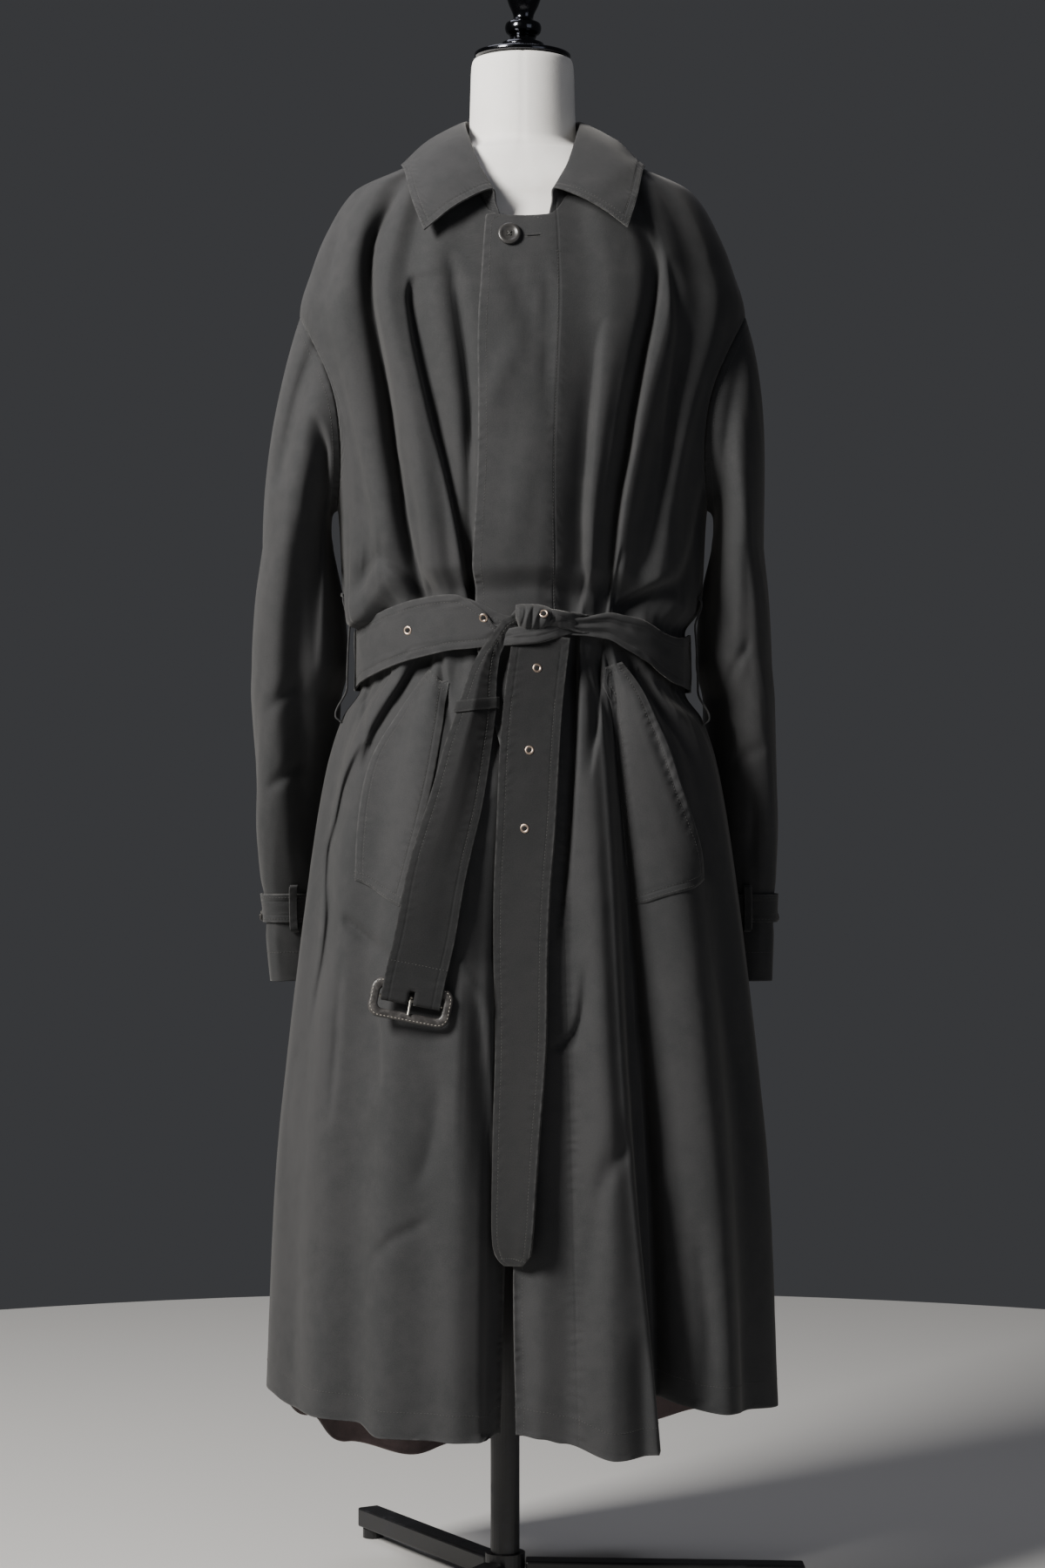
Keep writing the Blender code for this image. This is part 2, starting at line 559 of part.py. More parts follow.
def frame_plate(name, half_x, top, bottom, bar, corner, thick, finish, matrix):
    """A flat frame with rounded edges: two outlines in one 2D curve, thickened to both sides."""
    curve = bpy.data.curves.new(name, "CURVE")
    curve.dimensions = "2D"
    curve.fill_mode = "BOTH"
    curve.bevel_depth = 1.0 * MM
    curve.bevel_resolution = 1
    curve.extrude = thick / 2 - curve.bevel_depth
    inset = curve.bevel_depth
    outlines = (
        rounded_rectangle(half_x - inset, top - inset, bottom - inset, corner),
        rounded_rectangle(
            half_x - bar + inset, top - bar + inset, bottom - bar + inset, corner * 0.45
        ),
    )
    for outline in outlines:
        spline = curve.splines.new("POLY")
        spline.points.add(len(outline) - 1)
        for point, place in zip(spline.points, outline):
            point.co = (*place, 0, 1)
        spline.use_cyclic_u = True
    placed = add_object(name, curve, finish)
    placed.matrix_local = matrix
    return placed


def facing(origin, across, outward):
    """Matrix with X across, Z outward and Y up the piece, at the origin given."""
    z = outward.normalized()
    x = (across - z * across.dot(z)).normalized()
    y = z.cross(x)
    return Matrix.Translation(origin) @ Matrix((x, y, z)).transposed().to_4x4()


# --- coat panels -----------------------------------------------------------------------------


def panel_heights():
    """Nominal heights of the panels' rows, with rows at the ends and round the armhole."""
    found = []
    for band in BODY_ROWS:
        step = (band.top - band.bottom) / band.steps
        found += [band.bottom + step * k for k in range(band.steps)]
    centre = (ARMHOLE_TOP + ARMHOLE_BOTTOM) / 2
    reach = ARMHOLE_TOP - centre
    found += [centre - reach * math.cos(math.pi * k / ARMHOLE_STEPS) for k in range(ARMHOLE_STEPS)]
    return found + list(SHOULDER_ROWS)


def panel_rows(panel):
    rows = []
    for nominal in panel_heights():
        angles = fold_lines(panel, nominal)[0]
        places = [
            mix(first, second, k / COLUMNS_PER_FOLD)
            for first, second in zip(angles, angles[1:])
            for k in range(COLUMNS_PER_FOLD)
        ]
        row = [cloth_point(panel, angle, nominal) for angle in places + [angles[-1]]]
        for point in row:
            point.y += panel.seam_shift
        rows.append(row if panel.side > 0 else row[::-1])
    return rows


def add_panels():
    for panel in (LEFT_FRONT, RIGHT_FRONT, BACK):
        sheet(panel.name, panel_rows(panel), CLOTH_WALL, coat_cloth)


def forward_surface():
    """Search tree over every outer face built so far."""
    points, faces = [], []
    for more_points, more_faces in forward_faces:
        start = len(points)
        points += more_points
        faces += [tuple(start + k for k in face) for face in more_faces]
    return BVHTree.FromPolygons(points, faces)


def nearest_outward(tree, point):
    """The nearest place on the cloth, and the cloth's normal there that faces away from the body."""
    place, normal, _, _ = tree.find_nearest(point)
    if normal.dot(Vector((point.x, point.y, 0))) < 0:
        normal = -normal
    return place, normal


def laid_on(tree, point, out):
    """The place on the nearest cloth to a point, moved out by a clearance."""
    place, normal = nearest_outward(tree, point)
    return place + normal * out


def clear_of(tree, rows, clearance, rounds=5):
    """Moves the points of a lying sheet out until each facet is clear of the cloth below it."""
    samples = [(u / 4, v / 4) for u in range(5) for v in range(5)]
    for _ in range(rounds):
        for lower, upper in zip(rows, rows[1:]):
            for a, b, c, d in zip(lower, lower[1:], upper, upper[1:]):
                for u, v in samples:
                    point = mix(mix(a, b, u), mix(c, d, u), v)
                    place, normal = nearest_outward(tree, point)
                    short = clearance - (point - place).dot(normal)
                    for corner in (a, b, c, d):
                        corner += normal * max(short, 0.0)


def add_pockets():
    across, along = 5, 12
    tree = forward_surface()
    for pocket in POCKETS:
        rows = []
        for i in range(along + 1):
            down = 1 - i / along
            start = np.array(mix(np.array(pocket.inner_top), np.array(pocket.inner_bottom), down))
            end = np.array(mix(np.array(pocket.outer_top), np.array(pocket.outer_bottom), down))
            row = []
            for j in range(across + 1):
                angle, height = mix(start, end, j / across)
                row.append(laid_on(tree, cloth_point(pocket.panel, angle, height), POCKET_LIFT))
            rows.append(row if pocket.panel.side > 0 else row[::-1])
        clear_of(tree, rows, POCKET_LIFT)
        sheet(pocket.name, rows, POCKET_WALL, coat_cloth, outward=True)


# --- sleeves ---------------------------------------------------------------------------------


def sleeve_ring_point(side, height, turn):
    """Point of the hanging part of a sleeve. Turn 0 faces away from the body, 90 faces back."""
    reach_r, thick_r, reach_l, thick_l, y, wide, yaw = table_at(SLEEVE_SECTIONS[::-1], 0, height)
    reach, thick = (reach_l, thick_l) if side > 0 else (reach_r, thick_r)
    pinch = STRAP_PINCH * math.exp(-(((height - STRAP_HEIGHT) / 0.022) ** 4))
    x = (thick - pinch) * math.cos(turn)
    back = (wide - pinch) * math.sin(turn)
    lean = math.radians(yaw)
    return Vector(
        (
            side * (reach + x * math.cos(lean) - back * math.sin(lean)),
            y + x * math.sin(lean) + back * math.cos(lean),
            height,
        )
    )


def armhole_point(side, turn):
    centre = (ARMHOLE_TOP + ARMHOLE_BOTTOM) / 2
    angle = 90 + ARMHOLE_HALF_ANGLE * SLEEVE_START_SHRINK * math.sin(turn)
    nominal = centre + (ARMHOLE_TOP - centre) * SLEEVE_START_SHRINK * math.cos(turn)
    return body_point(side * angle, nominal, 0)


def sleeve_rows(side):
    count = 4 * ARMHOLE_STEPS
    turns = [2 * math.pi * k / count for k in range(count)]
    start = [armhole_point(side, turn) for turn in turns]
    for k in range(1, count, 2):
        start[k] = (start[k - 1] + start[(k + 1) % count]) / 2
    top = SLEEVE_SECTIONS[0].height
    head_end = [sleeve_ring_point(side, top, turn) for turn in turns]
    rows = []
    for i in range(SLEEVE_HEAD_STEPS):
        s = i / SLEEVE_HEAD_STEPS
        row = []
        for turn, first, last in zip(turns, start, head_end):
            out_share = 0.25 + 0.55 * (1 - math.cos(turn)) / 2
            length = (last - first).length
            outward = Vector((side, 0.5 * math.sin(turn), 0)).normalized()
            leave = (outward * out_share + Vector((0, 0, out_share - 1))).normalized() * length
            arrive = Vector((0, 0, -length))
            bend = s * (1 - s)
            point = first + (last - first) * (s * s * (3 - 2 * s))
            row.append(point + (leave * (1 - s) - arrive * s) * bend)
        rows.append(row)
    for height in SLEEVE_ROWS:
        rows.append([sleeve_ring_point(side, height, turn) for turn in turns])
    rows.reverse()
    return rows if side > 0 else [row[::-1] for row in rows]


def add_sleeves():
    for name, side in (("sleeve_left", 1), ("sleeve_right", -1)):
        sheet(name, sleeve_rows(side), CLOTH_WALL, coat_cloth, wrap=True)


def strap_point(side, height, turn, out):
    """The cuff strap goes round the sleeve and stands off it on the outer side."""
    centre = sleeve_ring_point(side, height, 0) + sleeve_ring_point(side, height, math.pi)
    point = sleeve_ring_point(side, height, turn)
    away = point - centre / 2
    away.z = 0
    stand = out + 7 * MM * max(0.0, math.cos(turn)) ** 2
    return point + away.normalized() * stand


def add_cuff_straps():
    columns = 24
    turns = [2 * math.pi * k / columns for k in range(columns)]
    for name, side in (("left", 1), ("right", -1)):
        rows = []
        for k in (-1, 1):
            height = STRAP_HEIGHT + k * STRAP_WIDTH / 2
            row = [strap_point(side, height, turn, 0.8 * MM) for turn in turns]
            rows.append(row if side > 0 else row[::-1])
        sheet("cuff_strap_" + name, rows, STRAP_WALL, coat_cloth, wrap=True, outward=True)
        end = strap_point(side, STRAP_HEIGHT, 0, 0.8 * MM + STRAP_WALL + 1.0 * MM)
        outward = Vector((side, 0.35, 0.45))
        place = end + outward.normalized() * CUFF_BUCKLE_STAND[name]
        frame_plate(
            "cuff_buckle_" + name,
            CUFF_BUCKLE_WIDE / 2,
            CUFF_BUCKLE_LONG / 2,
            CUFF_BUCKLE_LONG / 2,
            CUFF_BUCKLE_BAR,
            0.007,
            3.6 * MM,
            buckle_leather,
            facing(place, Vector((0, side, 0)), outward),
        )


# --- collar ----------------------------------------------------------------------------------


def spline_point(points, s):
    """Point on a Catmull-Rom curve, s from 0 to the number of spans."""
    i = min(int(s), len(points) - 2)
    t = s - i
    before = points[i - 1] if i else points[0] * 2 - points[1]
    after = points[i + 2] if i + 2 < len(points) else points[-1] * 2 - points[-2]
    a, b = points[i], points[i + 1]
    return 0.5 * (
        a * 2
        + (b - before) * t
        + (before * 2 - a * 5 + b * 4 - after) * t * t
        + (a * 3 - before - b * 3 + after) * t * t * t
    )


def neck_lift(angle):
    """Lift of the panel under the collar, at the neckline."""
    angle = wrapped(angle)
    panel = LEFT_FRONT if 0 <= angle < 90 else RIGHT_FRONT if -90 < angle < 0 else None
    if panel is None:
        return 0.0
    angles, lifts, _ = fold_lines(panel, NECK_TOP)
    return float(np.interp(abs(angle), angles, lifts))


def collar_profile(angle, fold, edge):
    """Points across the collar at one station, from the neckline over the fold to the edge."""
    base = body_point(angle, NECK_TOP, neck_lift(angle))
    inward = Vector((-base.x, -base.y, 0)).normalized()
    base += inward * 0.6 * MM + Vector((0, 0, COLLAR_RISE))
    fall = edge - fold
    bulge = Vector((-inward.x, -inward.y, 1.2)).normalized()
    middle = fold + fall * 0.5 + bulge * 4 * MM
    stand = (base + fold) / 2 + inward * 1.5 * MM
    guide = [base, stand, fold, middle, edge]
    return [spline_point(guide, s) for s in (0, 0.6, 1.2, 1.7, 2, 2.3, 2.7, 3.3, 4)]


def add_collar():
    angles = [station.angle for station in COLLAR]
    folds = [Vector(station.fold) * MM for station in COLLAR]
    edges = [Vector(station.edge) * MM for station in COLLAR]
    rows = []
    steps = COLLAR_STEPS * (len(COLLAR) - 1)
    for k in range(steps + 1):
        s = k / COLLAR_STEPS
        angle = monotone(range(len(angles)), angles, s)
        rows.append(collar_profile(angle, spline_point(folds, s), spline_point(edges, s)))
    falls = [row[5:] for row in rows]
    clear_of(forward_surface(), falls, COLLAR_WALL + COLLAR_CLEARANCE)
    sheet("collar", rows[::-1], COLLAR_WALL, coat_cloth)


# --- belt ------------------------------------------------------------------------------------


def belt_point(angle, share, lift):
    """Point on the belt's band: share runs from -1 at its lower edge to 1 at its upper edge."""
    height, width = belt_at(angle)
    point = body_point(angle, WAIST, lift)
    point.z = height + share * width / 2
    return point


def add_belt_band():
    first, last, columns = 1.5, 358.5, 44
    rows = []
    for share in (-1, 0, 1):
        row = []
        for k in range(columns + 1):
            angle = mix(first, last, k / columns)
            row.append(belt_point(angle, share, BELT_LIFT))
        rows.append(row)
    sheet("belt_band", rows, BELT_WALL, coat_cloth, outward=True)


def front_y(tree, x, z):
    """Y of the foremost cloth at a place in front view."""
    hit = tree.ray_cast(Vector((x, -1, z)), Vector((0, 1, 0)))[0]
    return hit.y if hit else 0.0


def tail_row(tree, stations, s, reach):
    """One row across a hanging strip, held just in front of everything behind it."""
    centres = [Vector((row.x, 0, row.z)) for row in stations]
    centre = spline_point(centres, s)
    ahead = spline_point(centres, min(s + 0.05, len(centres) - 1))
    behind = spline_point(centres, max(s - 0.05, 0))
    down = (ahead - behind).normalized()
    width, turn, ridge, clearance = (
        float(np.interp(s, range(len(stations)), [getattr(row, key) for row in stations]))
        for key in ("width", "turn", "ridge", "clearance")
    )
    across = Vector((-down.z, 0, down.x)) * math.cos(math.radians(turn))
    sink = math.sin(math.radians(turn))
    row = []
    for j in range(TAIL_ACROSS + 1):
        share = j / TAIL_ACROSS - 0.5
        crease = max(0.0, 1 - abs(share + 0.1) / 0.5)
        point = centre + across * share * width
        point.y = -share * width * sink - ridge * crease
        row.append(point)
    limit = min(
        front_y(tree, point.x, point.z + step) - point.y
        for point in row
        for step in (-reach, 0, reach)
    )
    for point in row:
        point.y += limit - clearance
    return row


def tail_rows(tree, stations, per_station=2, reach=0.010):
    spans = (len(stations) - 1) * per_station
    rows = [tail_row(tree, stations, k / per_station, reach) for k in range(spans + 1)]
    level = [row[0].y for row in rows]
    for k in range(1, len(rows) - 1):
        smooth = min(level[k], (level[k - 1] + level[k + 1]) / 2)
        for point in rows[k]:
            point.y += smooth - level[k]
    return rows[::-1]


def buckle_matrix(tree):
    """Frame of the belt's buckle: X along the bar, Y up the strap and Z outward."""
    end = BUCKLE_TAIL[-1]
    slope, lean = math.radians(BUCKLE_SLOPE), math.radians(BUCKLE_LEAN)
    across = Vector((math.cos(slope), 0, -math.sin(slope)))
    outward = Vector((0, -math.cos(lean), math.sin(lean)))
    down = across.cross(outward)
    centre = Vector((end.x, 0, end.z)) + down * (0.0218 / down.length)
    centre.y = min(
        front_y(tree, *(centre + across * u + down * v).xz) - (down * v).y
        for u in (-0.036, 0, 0.036)
        for v in (-0.017, 0, 0.02)
    )
    centre.y -= BUCKLE_THICK / 2 + 3.4 * MM
    return facing(centre, across, outward)


def turned_end_rows(matrix):
    """The strap goes down in front of the bar, round it and a short way up behind."""
    radius = BAR_RADIUS + BAR_GAP
    over_frame = BUCKLE_THICK / 2 + 0.4 * MM
    path = [(0.0190, over_frame), (0.0090, over_frame), (0.0055, radius + 0.3 * MM)]
    path += [
        (-radius * math.sin(turn), radius * math.cos(turn))
        for turn in (math.radians(36 * k) for k in range(6))
    ]
    path += [(0.0052, -radius), (0.0076, -radius)]
    half = BELT_WIDTH / 2
    places = (-half, -half * 0.55, -PRONG_SLOT / 2, PRONG_SLOT / 2, half * 0.55, half)
    return [[matrix @ Vector((u, up, out)) for u in places] for up, out in path]


def add_buckle_tail(tree):
    matrix = buckle_matrix(tree)
    rows = tail_rows(tree, BUCKLE_TAIL)[::-1]
    end_y = (matrix @ Vector((0, 0.024, BUCKLE_THICK / 2 + 0.4 * MM))).y
    change = end_y - sum(point.y for point in rows[-1]) / len(rows[-1])
    for k, row in enumerate(rows):
        share = max(0.0, k / (len(rows) - 1) * 3 - 2)
        for point in row:
            point.y += change * share * share
    rows += turned_end_rows(matrix)
    slot = {(i, TAIL_ACROSS // 2) for i in range(1, 9)}
    reversed_rows = rows[::-1]
    sheet("belt_tail_buckle", reversed_rows, TAIL_WALL, coat_cloth, outward=True, missing=slot)
    return matrix, rows


def add_buckle(matrix):
    frame_plate(
        "buckle_frame",
        BUCKLE_WIDTH / 2,
        BUCKLE_TOP,
        BUCKLE_BOTTOM,
        BUCKLE_BAR,
        BUCKLE_CORNER,
        BUCKLE_THICK,
        buckle_leather,
        matrix,
    )
    inner = BUCKLE_WIDTH / 2 - BUCKLE_BAR - SEAM_GAP
    path = [(-inner, 0, 0), (inner, 0, 0)]
    tube("buckle_bar", path, BAR_RADIUS, pale_metal, matrix, 3)
    loop = BAR_RADIUS + BAR_GAP + PRONG_RADIUS
    turns = [math.radians(90 + 30 * k) for k in range(11)]
    path = [(0, loop * math.cos(turn), loop * math.sin(turn)) for turn in reversed(turns)]
    path.append((0, -PRONG_REACH, BUCKLE_THICK / 2 + PRONG_RADIUS + 0.3 * MM))
    tube("prong", path, PRONG_RADIUS, pale_metal, matrix)


def front_frame(tree, x, z, clearance):
    """Frame of a piece laid on the foremost cloth at a place in front view."""
    hit, normal, _, _ = tree.ray_cast(Vector((x, -1, z)), Vector((0, 1, 0)))
    out = -normal if normal.y > 0 else normal
    return facing(hit + out * clearance, Vector((1, 0, 0)), out)


def add_eyelets(tree):
    profile = ring_profile(EYELET_RADIUS, EYELET_HOLE, EYELET_RIM / 2)
    for name, x, z in EYELETS:
        clearance = EYELET_RIM / 2 + 0.5 * MM
        turned(name, profile, eyelet_metal, front_frame(tree, x, z, clearance), 10)


def add_button(tree):
    """A turned disc with a raised rim and four holes for its thread."""
    r, t = BUTTON_RADIUS, BUTTON_THICK
    profile = ((0, t * 0.62), (r * 0.52, t * 0.62), (r * 0.68, t), (r * 0.88, t), (r, t * 0.62))
    profile += ((r * 0.93, t * 0.15), (r * 0.75, 0), (0, 0))
    matrix = front_frame(tree, BUTTON_X, BUTTON_Z, 0.8 * MM)
    button = turned("button", profile, button_horn, matrix, 18)
    for k in range(4):
        cutter_mesh = bmesh.new()
        bmesh.ops.create_cone(
            cutter_mesh, cap_ends=True, segments=6, radius1=0.9 * MM, radius2=0.9 * MM, depth=4 * t
        )
        turn = math.radians(45 + 90 * k)
        cutter = bpy.data.objects.new(f"button_hole_{k}", mesh_from_bmesh("hole", cutter_mesh))
        cutters.objects.link(cutter)
        cutter.parent = root
        offset = Vector((math.cos(turn), math.sin(turn), 0)) * 2.3 * MM
        cutter.matrix_local = matrix @ Matrix.Translation(offset)
        cutter.hide_render = True
        cutter.display_type = "WIRE"
        cut = button.modifiers.new(f"hole {k}", "BOOLEAN")
        cut.operation = "DIFFERENCE"
        cut.object = cutter


def add_knot():
    columns = 2 * KNOT_PLEATS
    rows = []
    for forward, height in KNOT_PATH:
        row = []
        for j in range(columns + 1):
            x = mix(KNOT_LEFT, KNOT_RIGHT, j / columns)
            rise = KNOT_SLANT * (KNOT_LEFT - x)
            pleat = PLEAT_DEPTH * (-1) ** j * min(1, abs(forward) / 0.008)
            row.append(Vector((x, KNOT_BACK + forward - pleat, height + rise)))
        rows.append(row)
    sheet("belt_knot", rows, BELT_WALL, coat_cloth, outward=True)
    lower, upper = [], []
    for station in KNOT_STRAND:
        half = station.width / 2
        y = KNOT_BACK - station.forward
        lower.append(Vector((station.x, y + 1.5 * MM, station.z - half)))
        upper.append(Vector((station.x, y, station.z + half)))
    sheet("belt_knot_strand", [lower, upper], BELT_WALL, coat_cloth, outward=True)


def row_at(rows, height):
    """The row of a hanging strip at a mean height, between the rows above and below."""
    means = [sum(point.z for point in row) / len(row) for row in rows]
    k = next(k for k, mean in enumerate(means) if mean < height)
    share = (means[k - 1] - height) / (means[k - 1] - means[k])
    return [mix(first, second, share) for first, second in zip(rows[k - 1], rows[k])]


def add_keeper(rows):
    """A narrow band of cloth that goes round the creased strap."""
    rings = []
    for step in (-0.5, 0.5):
        row = row_at(rows, KEEPER_HEIGHT + step * KEEPER_WIDTH)
        first, last = row[0], row[-1]
        front = TAIL_WALL + KEEPER_GAP
        behind = max(first.y, last.y) + KEEPER_GAP
        side = KEEPER_GAP + 0.6 * MM
        ring = [point + Vector((0, -front, 0)) for point in row]
        ring[0] = ring[0] - Vector((side, 0, 0))
        ring[-1] = ring[-1] + Vector((side, 0, 0))
        ring.append(Vector((last.x + side, behind, last.z)))
        ring.append(Vector((first.x - side, behind, first.z)))
        rings.append(ring)
    sheet("belt_keeper", rings, KEEPER_WALL, coat_cloth, wrap=True, outward=True)


def add_belt_loops():
    tree = forward_surface()
    for name, side in (("belt_loop_left", 1), ("belt_loop_right", -1)):
        rows = []
        for lift, nominal in BELT_LOOP_PATH:
            middle = body_point(side * BELT_LOOP_ANGLE, nominal, lift * MM)
            row = [middle + Vector((0, side * k * BELT_LOOP_WIDTH / 2, 0)) for k in (-1, 1)]
            rows.append(row)
        for end in (0, -1):
            rows[end] = [laid_on(tree, point, 3 * SEAM_GAP) for point in rows[end]]
        sheet(name, rows, BELT_LOOP_WALL, coat_cloth, outward=True)


def add_strap_loops():
    for name, side in (("strap_loop_left", 1), ("strap_loop_right", -1)):
        rows = []
        for rise, out in STRAP_LOOP_PATH:
            height = STRAP_HEIGHT + rise
            row = []
            for k in (-1, 1):
                turn = math.radians(STRAP_LOOP_TURN) + k * STRAP_LOOP_WIDTH / 2 / 0.06
                row.append(strap_point(side, height, turn, out * MM))
            rows.append(row if side > 0 else row[::-1])
        sheet(name, rows, STRAP_LOOP_WALL, coat_cloth, outward=True)


# --- dress form and stand --------------------------------------------------------------------


def form_sections():
    shoulders = []
    for height in FORM_SHOULDER_HEIGHTS:
        half_width = table_at(COAT_SECTIONS, 0, height + SHOULDER_DROP)[0] - SHOULDER_INSET
        _, front, back = table_at(COAT_SECTIONS, 0, height)
        shoulders.append(FormSection(height, half_width, front - 0.0085, back - 0.0075))
    return list(FORM_SECTIONS) + shoulders + list(NECK_SECTIONS)


def form_lean(height):
    share = min(max((LEAN_START - height) / (LEAN_START - LEAN_END), 0), 1)
    return POLE_X * share * share * (3 - 2 * share)


def add_form():
    rings = []
    for section in form_sections():
        ring = []
        for k in range(FORM_COLUMNS):
            turn = 2 * math.pi * k / FORM_COLUMNS
            depth = section.front_depth if math.cos(turn) > 0 else section.back_depth
            x = form_lean(section.height) + section.half_width * math.sin(turn)
            ring.append(Vector((x, -depth * math.cos(turn), section.height)))
        rings.append(ring)
    solid_from_rings("form_torso", rings, form_cover)


def add_neck_cap():
    tilt = Matrix.Translation((0, 0, 1.4968)) @ Matrix.Rotation(math.radians(1.2), 4, "Y")
    plate = (
        (0, 0.0215),
        (0.0125, 0.0215),
        (0.0125, 0.0165),
        (0.0200, 0.0160),
        (0.0215, 0.0135),
        (0.0215, 0.0110),
        (0.0310, 0.0095),
        (0.0325, 0.0070),
        (0.0455, 0.0058),
        (0.0470, 0.0046),
        (0.0470, 0.0014),
        (0.0460, 0.0010),
        (0, 0.0010),
    )
    turned("neck_cap", plate, dark_metal, tilt, 22)
    finial = (
        (0, 0.1180),
        (0.0050, 0.1168),
        (0.0090, 0.1130),
        (0.0105, 0.1075),
        (0.0085, 0.1020),
        (0.0110, 0.0970),
        (0.0165, 0.0880),
        (0.0190, 0.0760),
        (0.0178, 0.0640),
        (0.0145, 0.0530),
        (0.0108, 0.0450),
        (0.0098, 0.0400),
        (0.0120, 0.0375),
        (0.0165, 0.0350),
        (0.0178, 0.0305),
        (0.0165, 0.0258),
        (0.0130, 0.0232),
        (0.0130, 0.0219),
        (0, 0.0219),
    )
    turned("finial", finial, dark_metal, tilt, 16)


def add_leg(name, turn):
    """A bar that slopes down from the hub, with a level top at its foot's end."""
    start = HUB_RADIUS + SEAM_GAP
    half = LEG_WIDE / 2
    rings = []
    for reach, top in ((start, LEG_TOP), (LEG_REACH, LEG_TOP - LEG_FALL)):
        ring = [(half, top), (-half, top), (-half, top - LEG_THICK), (half, top - LEG_THICK)]
        rings.append([turn @ Vector((reach, across, height)) for across, height in ring])
    placed = solid_from_rings(name, rings, stand_metal)
    bevel = placed.modifiers.new("edges", "BEVEL")
    bevel.width = 2.0 * MM
    bevel.segments = 2


def add_stand():
    pole_top = FORM_SECTIONS[0].height - SEAM_GAP
    cylinder("pole", POLE_RADIUS, HUB_TOP + SEAM_GAP, pole_top, (POLE_X, 0), stand_metal)
    cylinder("hub", HUB_RADIUS, HUB_BOTTOM, HUB_TOP, (POLE_X, 0), stand_metal)
    for name, degrees in LEG_ANGLES:
        turn = Matrix.Translation((POLE_X, 0, 0)) @ Matrix.Rotation(math.radians(degrees), 4, "Z")
        add_leg(name, turn)
        reach = LEG_REACH - FOOT_INSET
        at = turn @ Vector((reach, 0, 0))
        outer_share = (reach + FOOT_RADIUS - HUB_RADIUS) / (LEG_REACH - HUB_RADIUS)
        foot_top = LEG_TOP - LEG_THICK - LEG_FALL * outer_share - 2 * SEAM_GAP
        cylinder(name.replace("leg", "foot"), FOOT_RADIUS, 0, foot_top, at.xy, stand_metal, 20)


# --- build -----------------------------------------------------------------------------------

clear_scene()
parts = bpy.data.collections.new("raincoat_on_dress_form")
bpy.context.scene.collection.children.link(parts)
cutters = bpy.data.collections.new("cutters")
bpy.context.scene.collection.children.link(cutters)
root = bpy.data.objects.new("raincoat_root", None)
parts.objects.link(root)
root.location = PART_OFFSET

coat_cloth = material("brushed cotton twill", (0.028, 0.027, 0.025), 0.88)
buckle_leather = material("buckle leather", (0.018, 0.017, 0.016), 0.55)
button_horn = material("dark button", (0.06, 0.058, 0.055), 0.35)
pale_metal = material("nickel", (0.55, 0.53, 0.48), 0.3, 1.0)
eyelet_metal = material("eyelet metal", (0.45, 0.40, 0.35), 0.35, 1.0)
form_cover = material("form cover", (0.80, 0.78, 0.74), 0.9)
dark_metal = material("polished gunmetal", (0.10, 0.10, 0.11), 0.15, 1.0)
stand_metal = material("black painted steel", (0.012, 0.012, 0.013), 0.45)

add_panels()
add_pockets()
add_sleeves()
add_cuff_straps()
add_strap_loops()
add_collar()
add_belt_band()
add_belt_loops()
cloth_tree = forward_surface()
buckle_frame, buckle_tail = add_buckle_tail(cloth_tree)
add_buckle(buckle_frame)
add_keeper(buckle_tail)
sheet("belt_tail_tip", tail_rows(cloth_tree, TIP_TAIL), TAIL_WALL, coat_cloth, outward=True)
add_knot()
finished_tree = forward_surface()
add_eyelets(finished_tree)
add_button(cloth_tree)
add_form()
add_neck_cap()
add_stand()
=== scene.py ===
import json
import math
from functools import partial

import bmesh
import bpy
import numpy as np
from mathutils import Matrix, Vector
from mathutils.bvhtree import BVHTree

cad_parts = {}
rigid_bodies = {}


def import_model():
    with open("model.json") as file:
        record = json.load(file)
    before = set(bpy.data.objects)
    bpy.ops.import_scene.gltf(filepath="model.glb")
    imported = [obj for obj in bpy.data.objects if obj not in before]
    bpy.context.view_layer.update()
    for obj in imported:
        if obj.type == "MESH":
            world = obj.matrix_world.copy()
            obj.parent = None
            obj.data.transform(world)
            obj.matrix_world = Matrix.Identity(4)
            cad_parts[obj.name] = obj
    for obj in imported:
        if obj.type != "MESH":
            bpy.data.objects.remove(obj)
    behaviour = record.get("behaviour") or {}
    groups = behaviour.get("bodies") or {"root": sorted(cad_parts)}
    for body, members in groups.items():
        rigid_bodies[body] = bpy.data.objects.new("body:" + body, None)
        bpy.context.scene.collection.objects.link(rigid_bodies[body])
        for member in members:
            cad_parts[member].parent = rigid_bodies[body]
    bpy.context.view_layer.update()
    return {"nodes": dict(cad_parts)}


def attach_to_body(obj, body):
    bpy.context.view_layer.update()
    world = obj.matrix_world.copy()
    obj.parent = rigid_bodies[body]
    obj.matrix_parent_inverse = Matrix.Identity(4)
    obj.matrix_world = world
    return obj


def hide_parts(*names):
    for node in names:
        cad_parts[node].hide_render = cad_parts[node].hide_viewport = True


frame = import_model()
nodes = frame["nodes"]
mm = 0.001
shift = np.array((-0.0047, 0.0, 0.0))  # from the tables' centre line to the frame's
print("frame loaded")

# camera, light and floor
camera = {"place": (-0.0047, -3.2, 0.79), "lens": 75.3}
studio = {
    "keyPlace": (-2.0, -1.75, 2.35), "keySize": (0.8, 1.2), "keyWatts": 205, "keyColour": "#fffcf8",
    "fillPlace": (2.0, -2.6, 1.3), "fillSize": (1.6, 2.0), "fillWatts": 9, "fillColour": "#eef2ff",
    "topPlace": (-0.5, 0.5, 3.0), "topSize": (1.6, 1.2), "topWatts": 16, "topColour": "#f4f4ff",
    "target": (0, 0, 0.95), "roomColour": "#5a5b5e", "roomStrength": 0.45,
    "floorRadius": 1.9, "floorColour": "#c4c3c0",
}


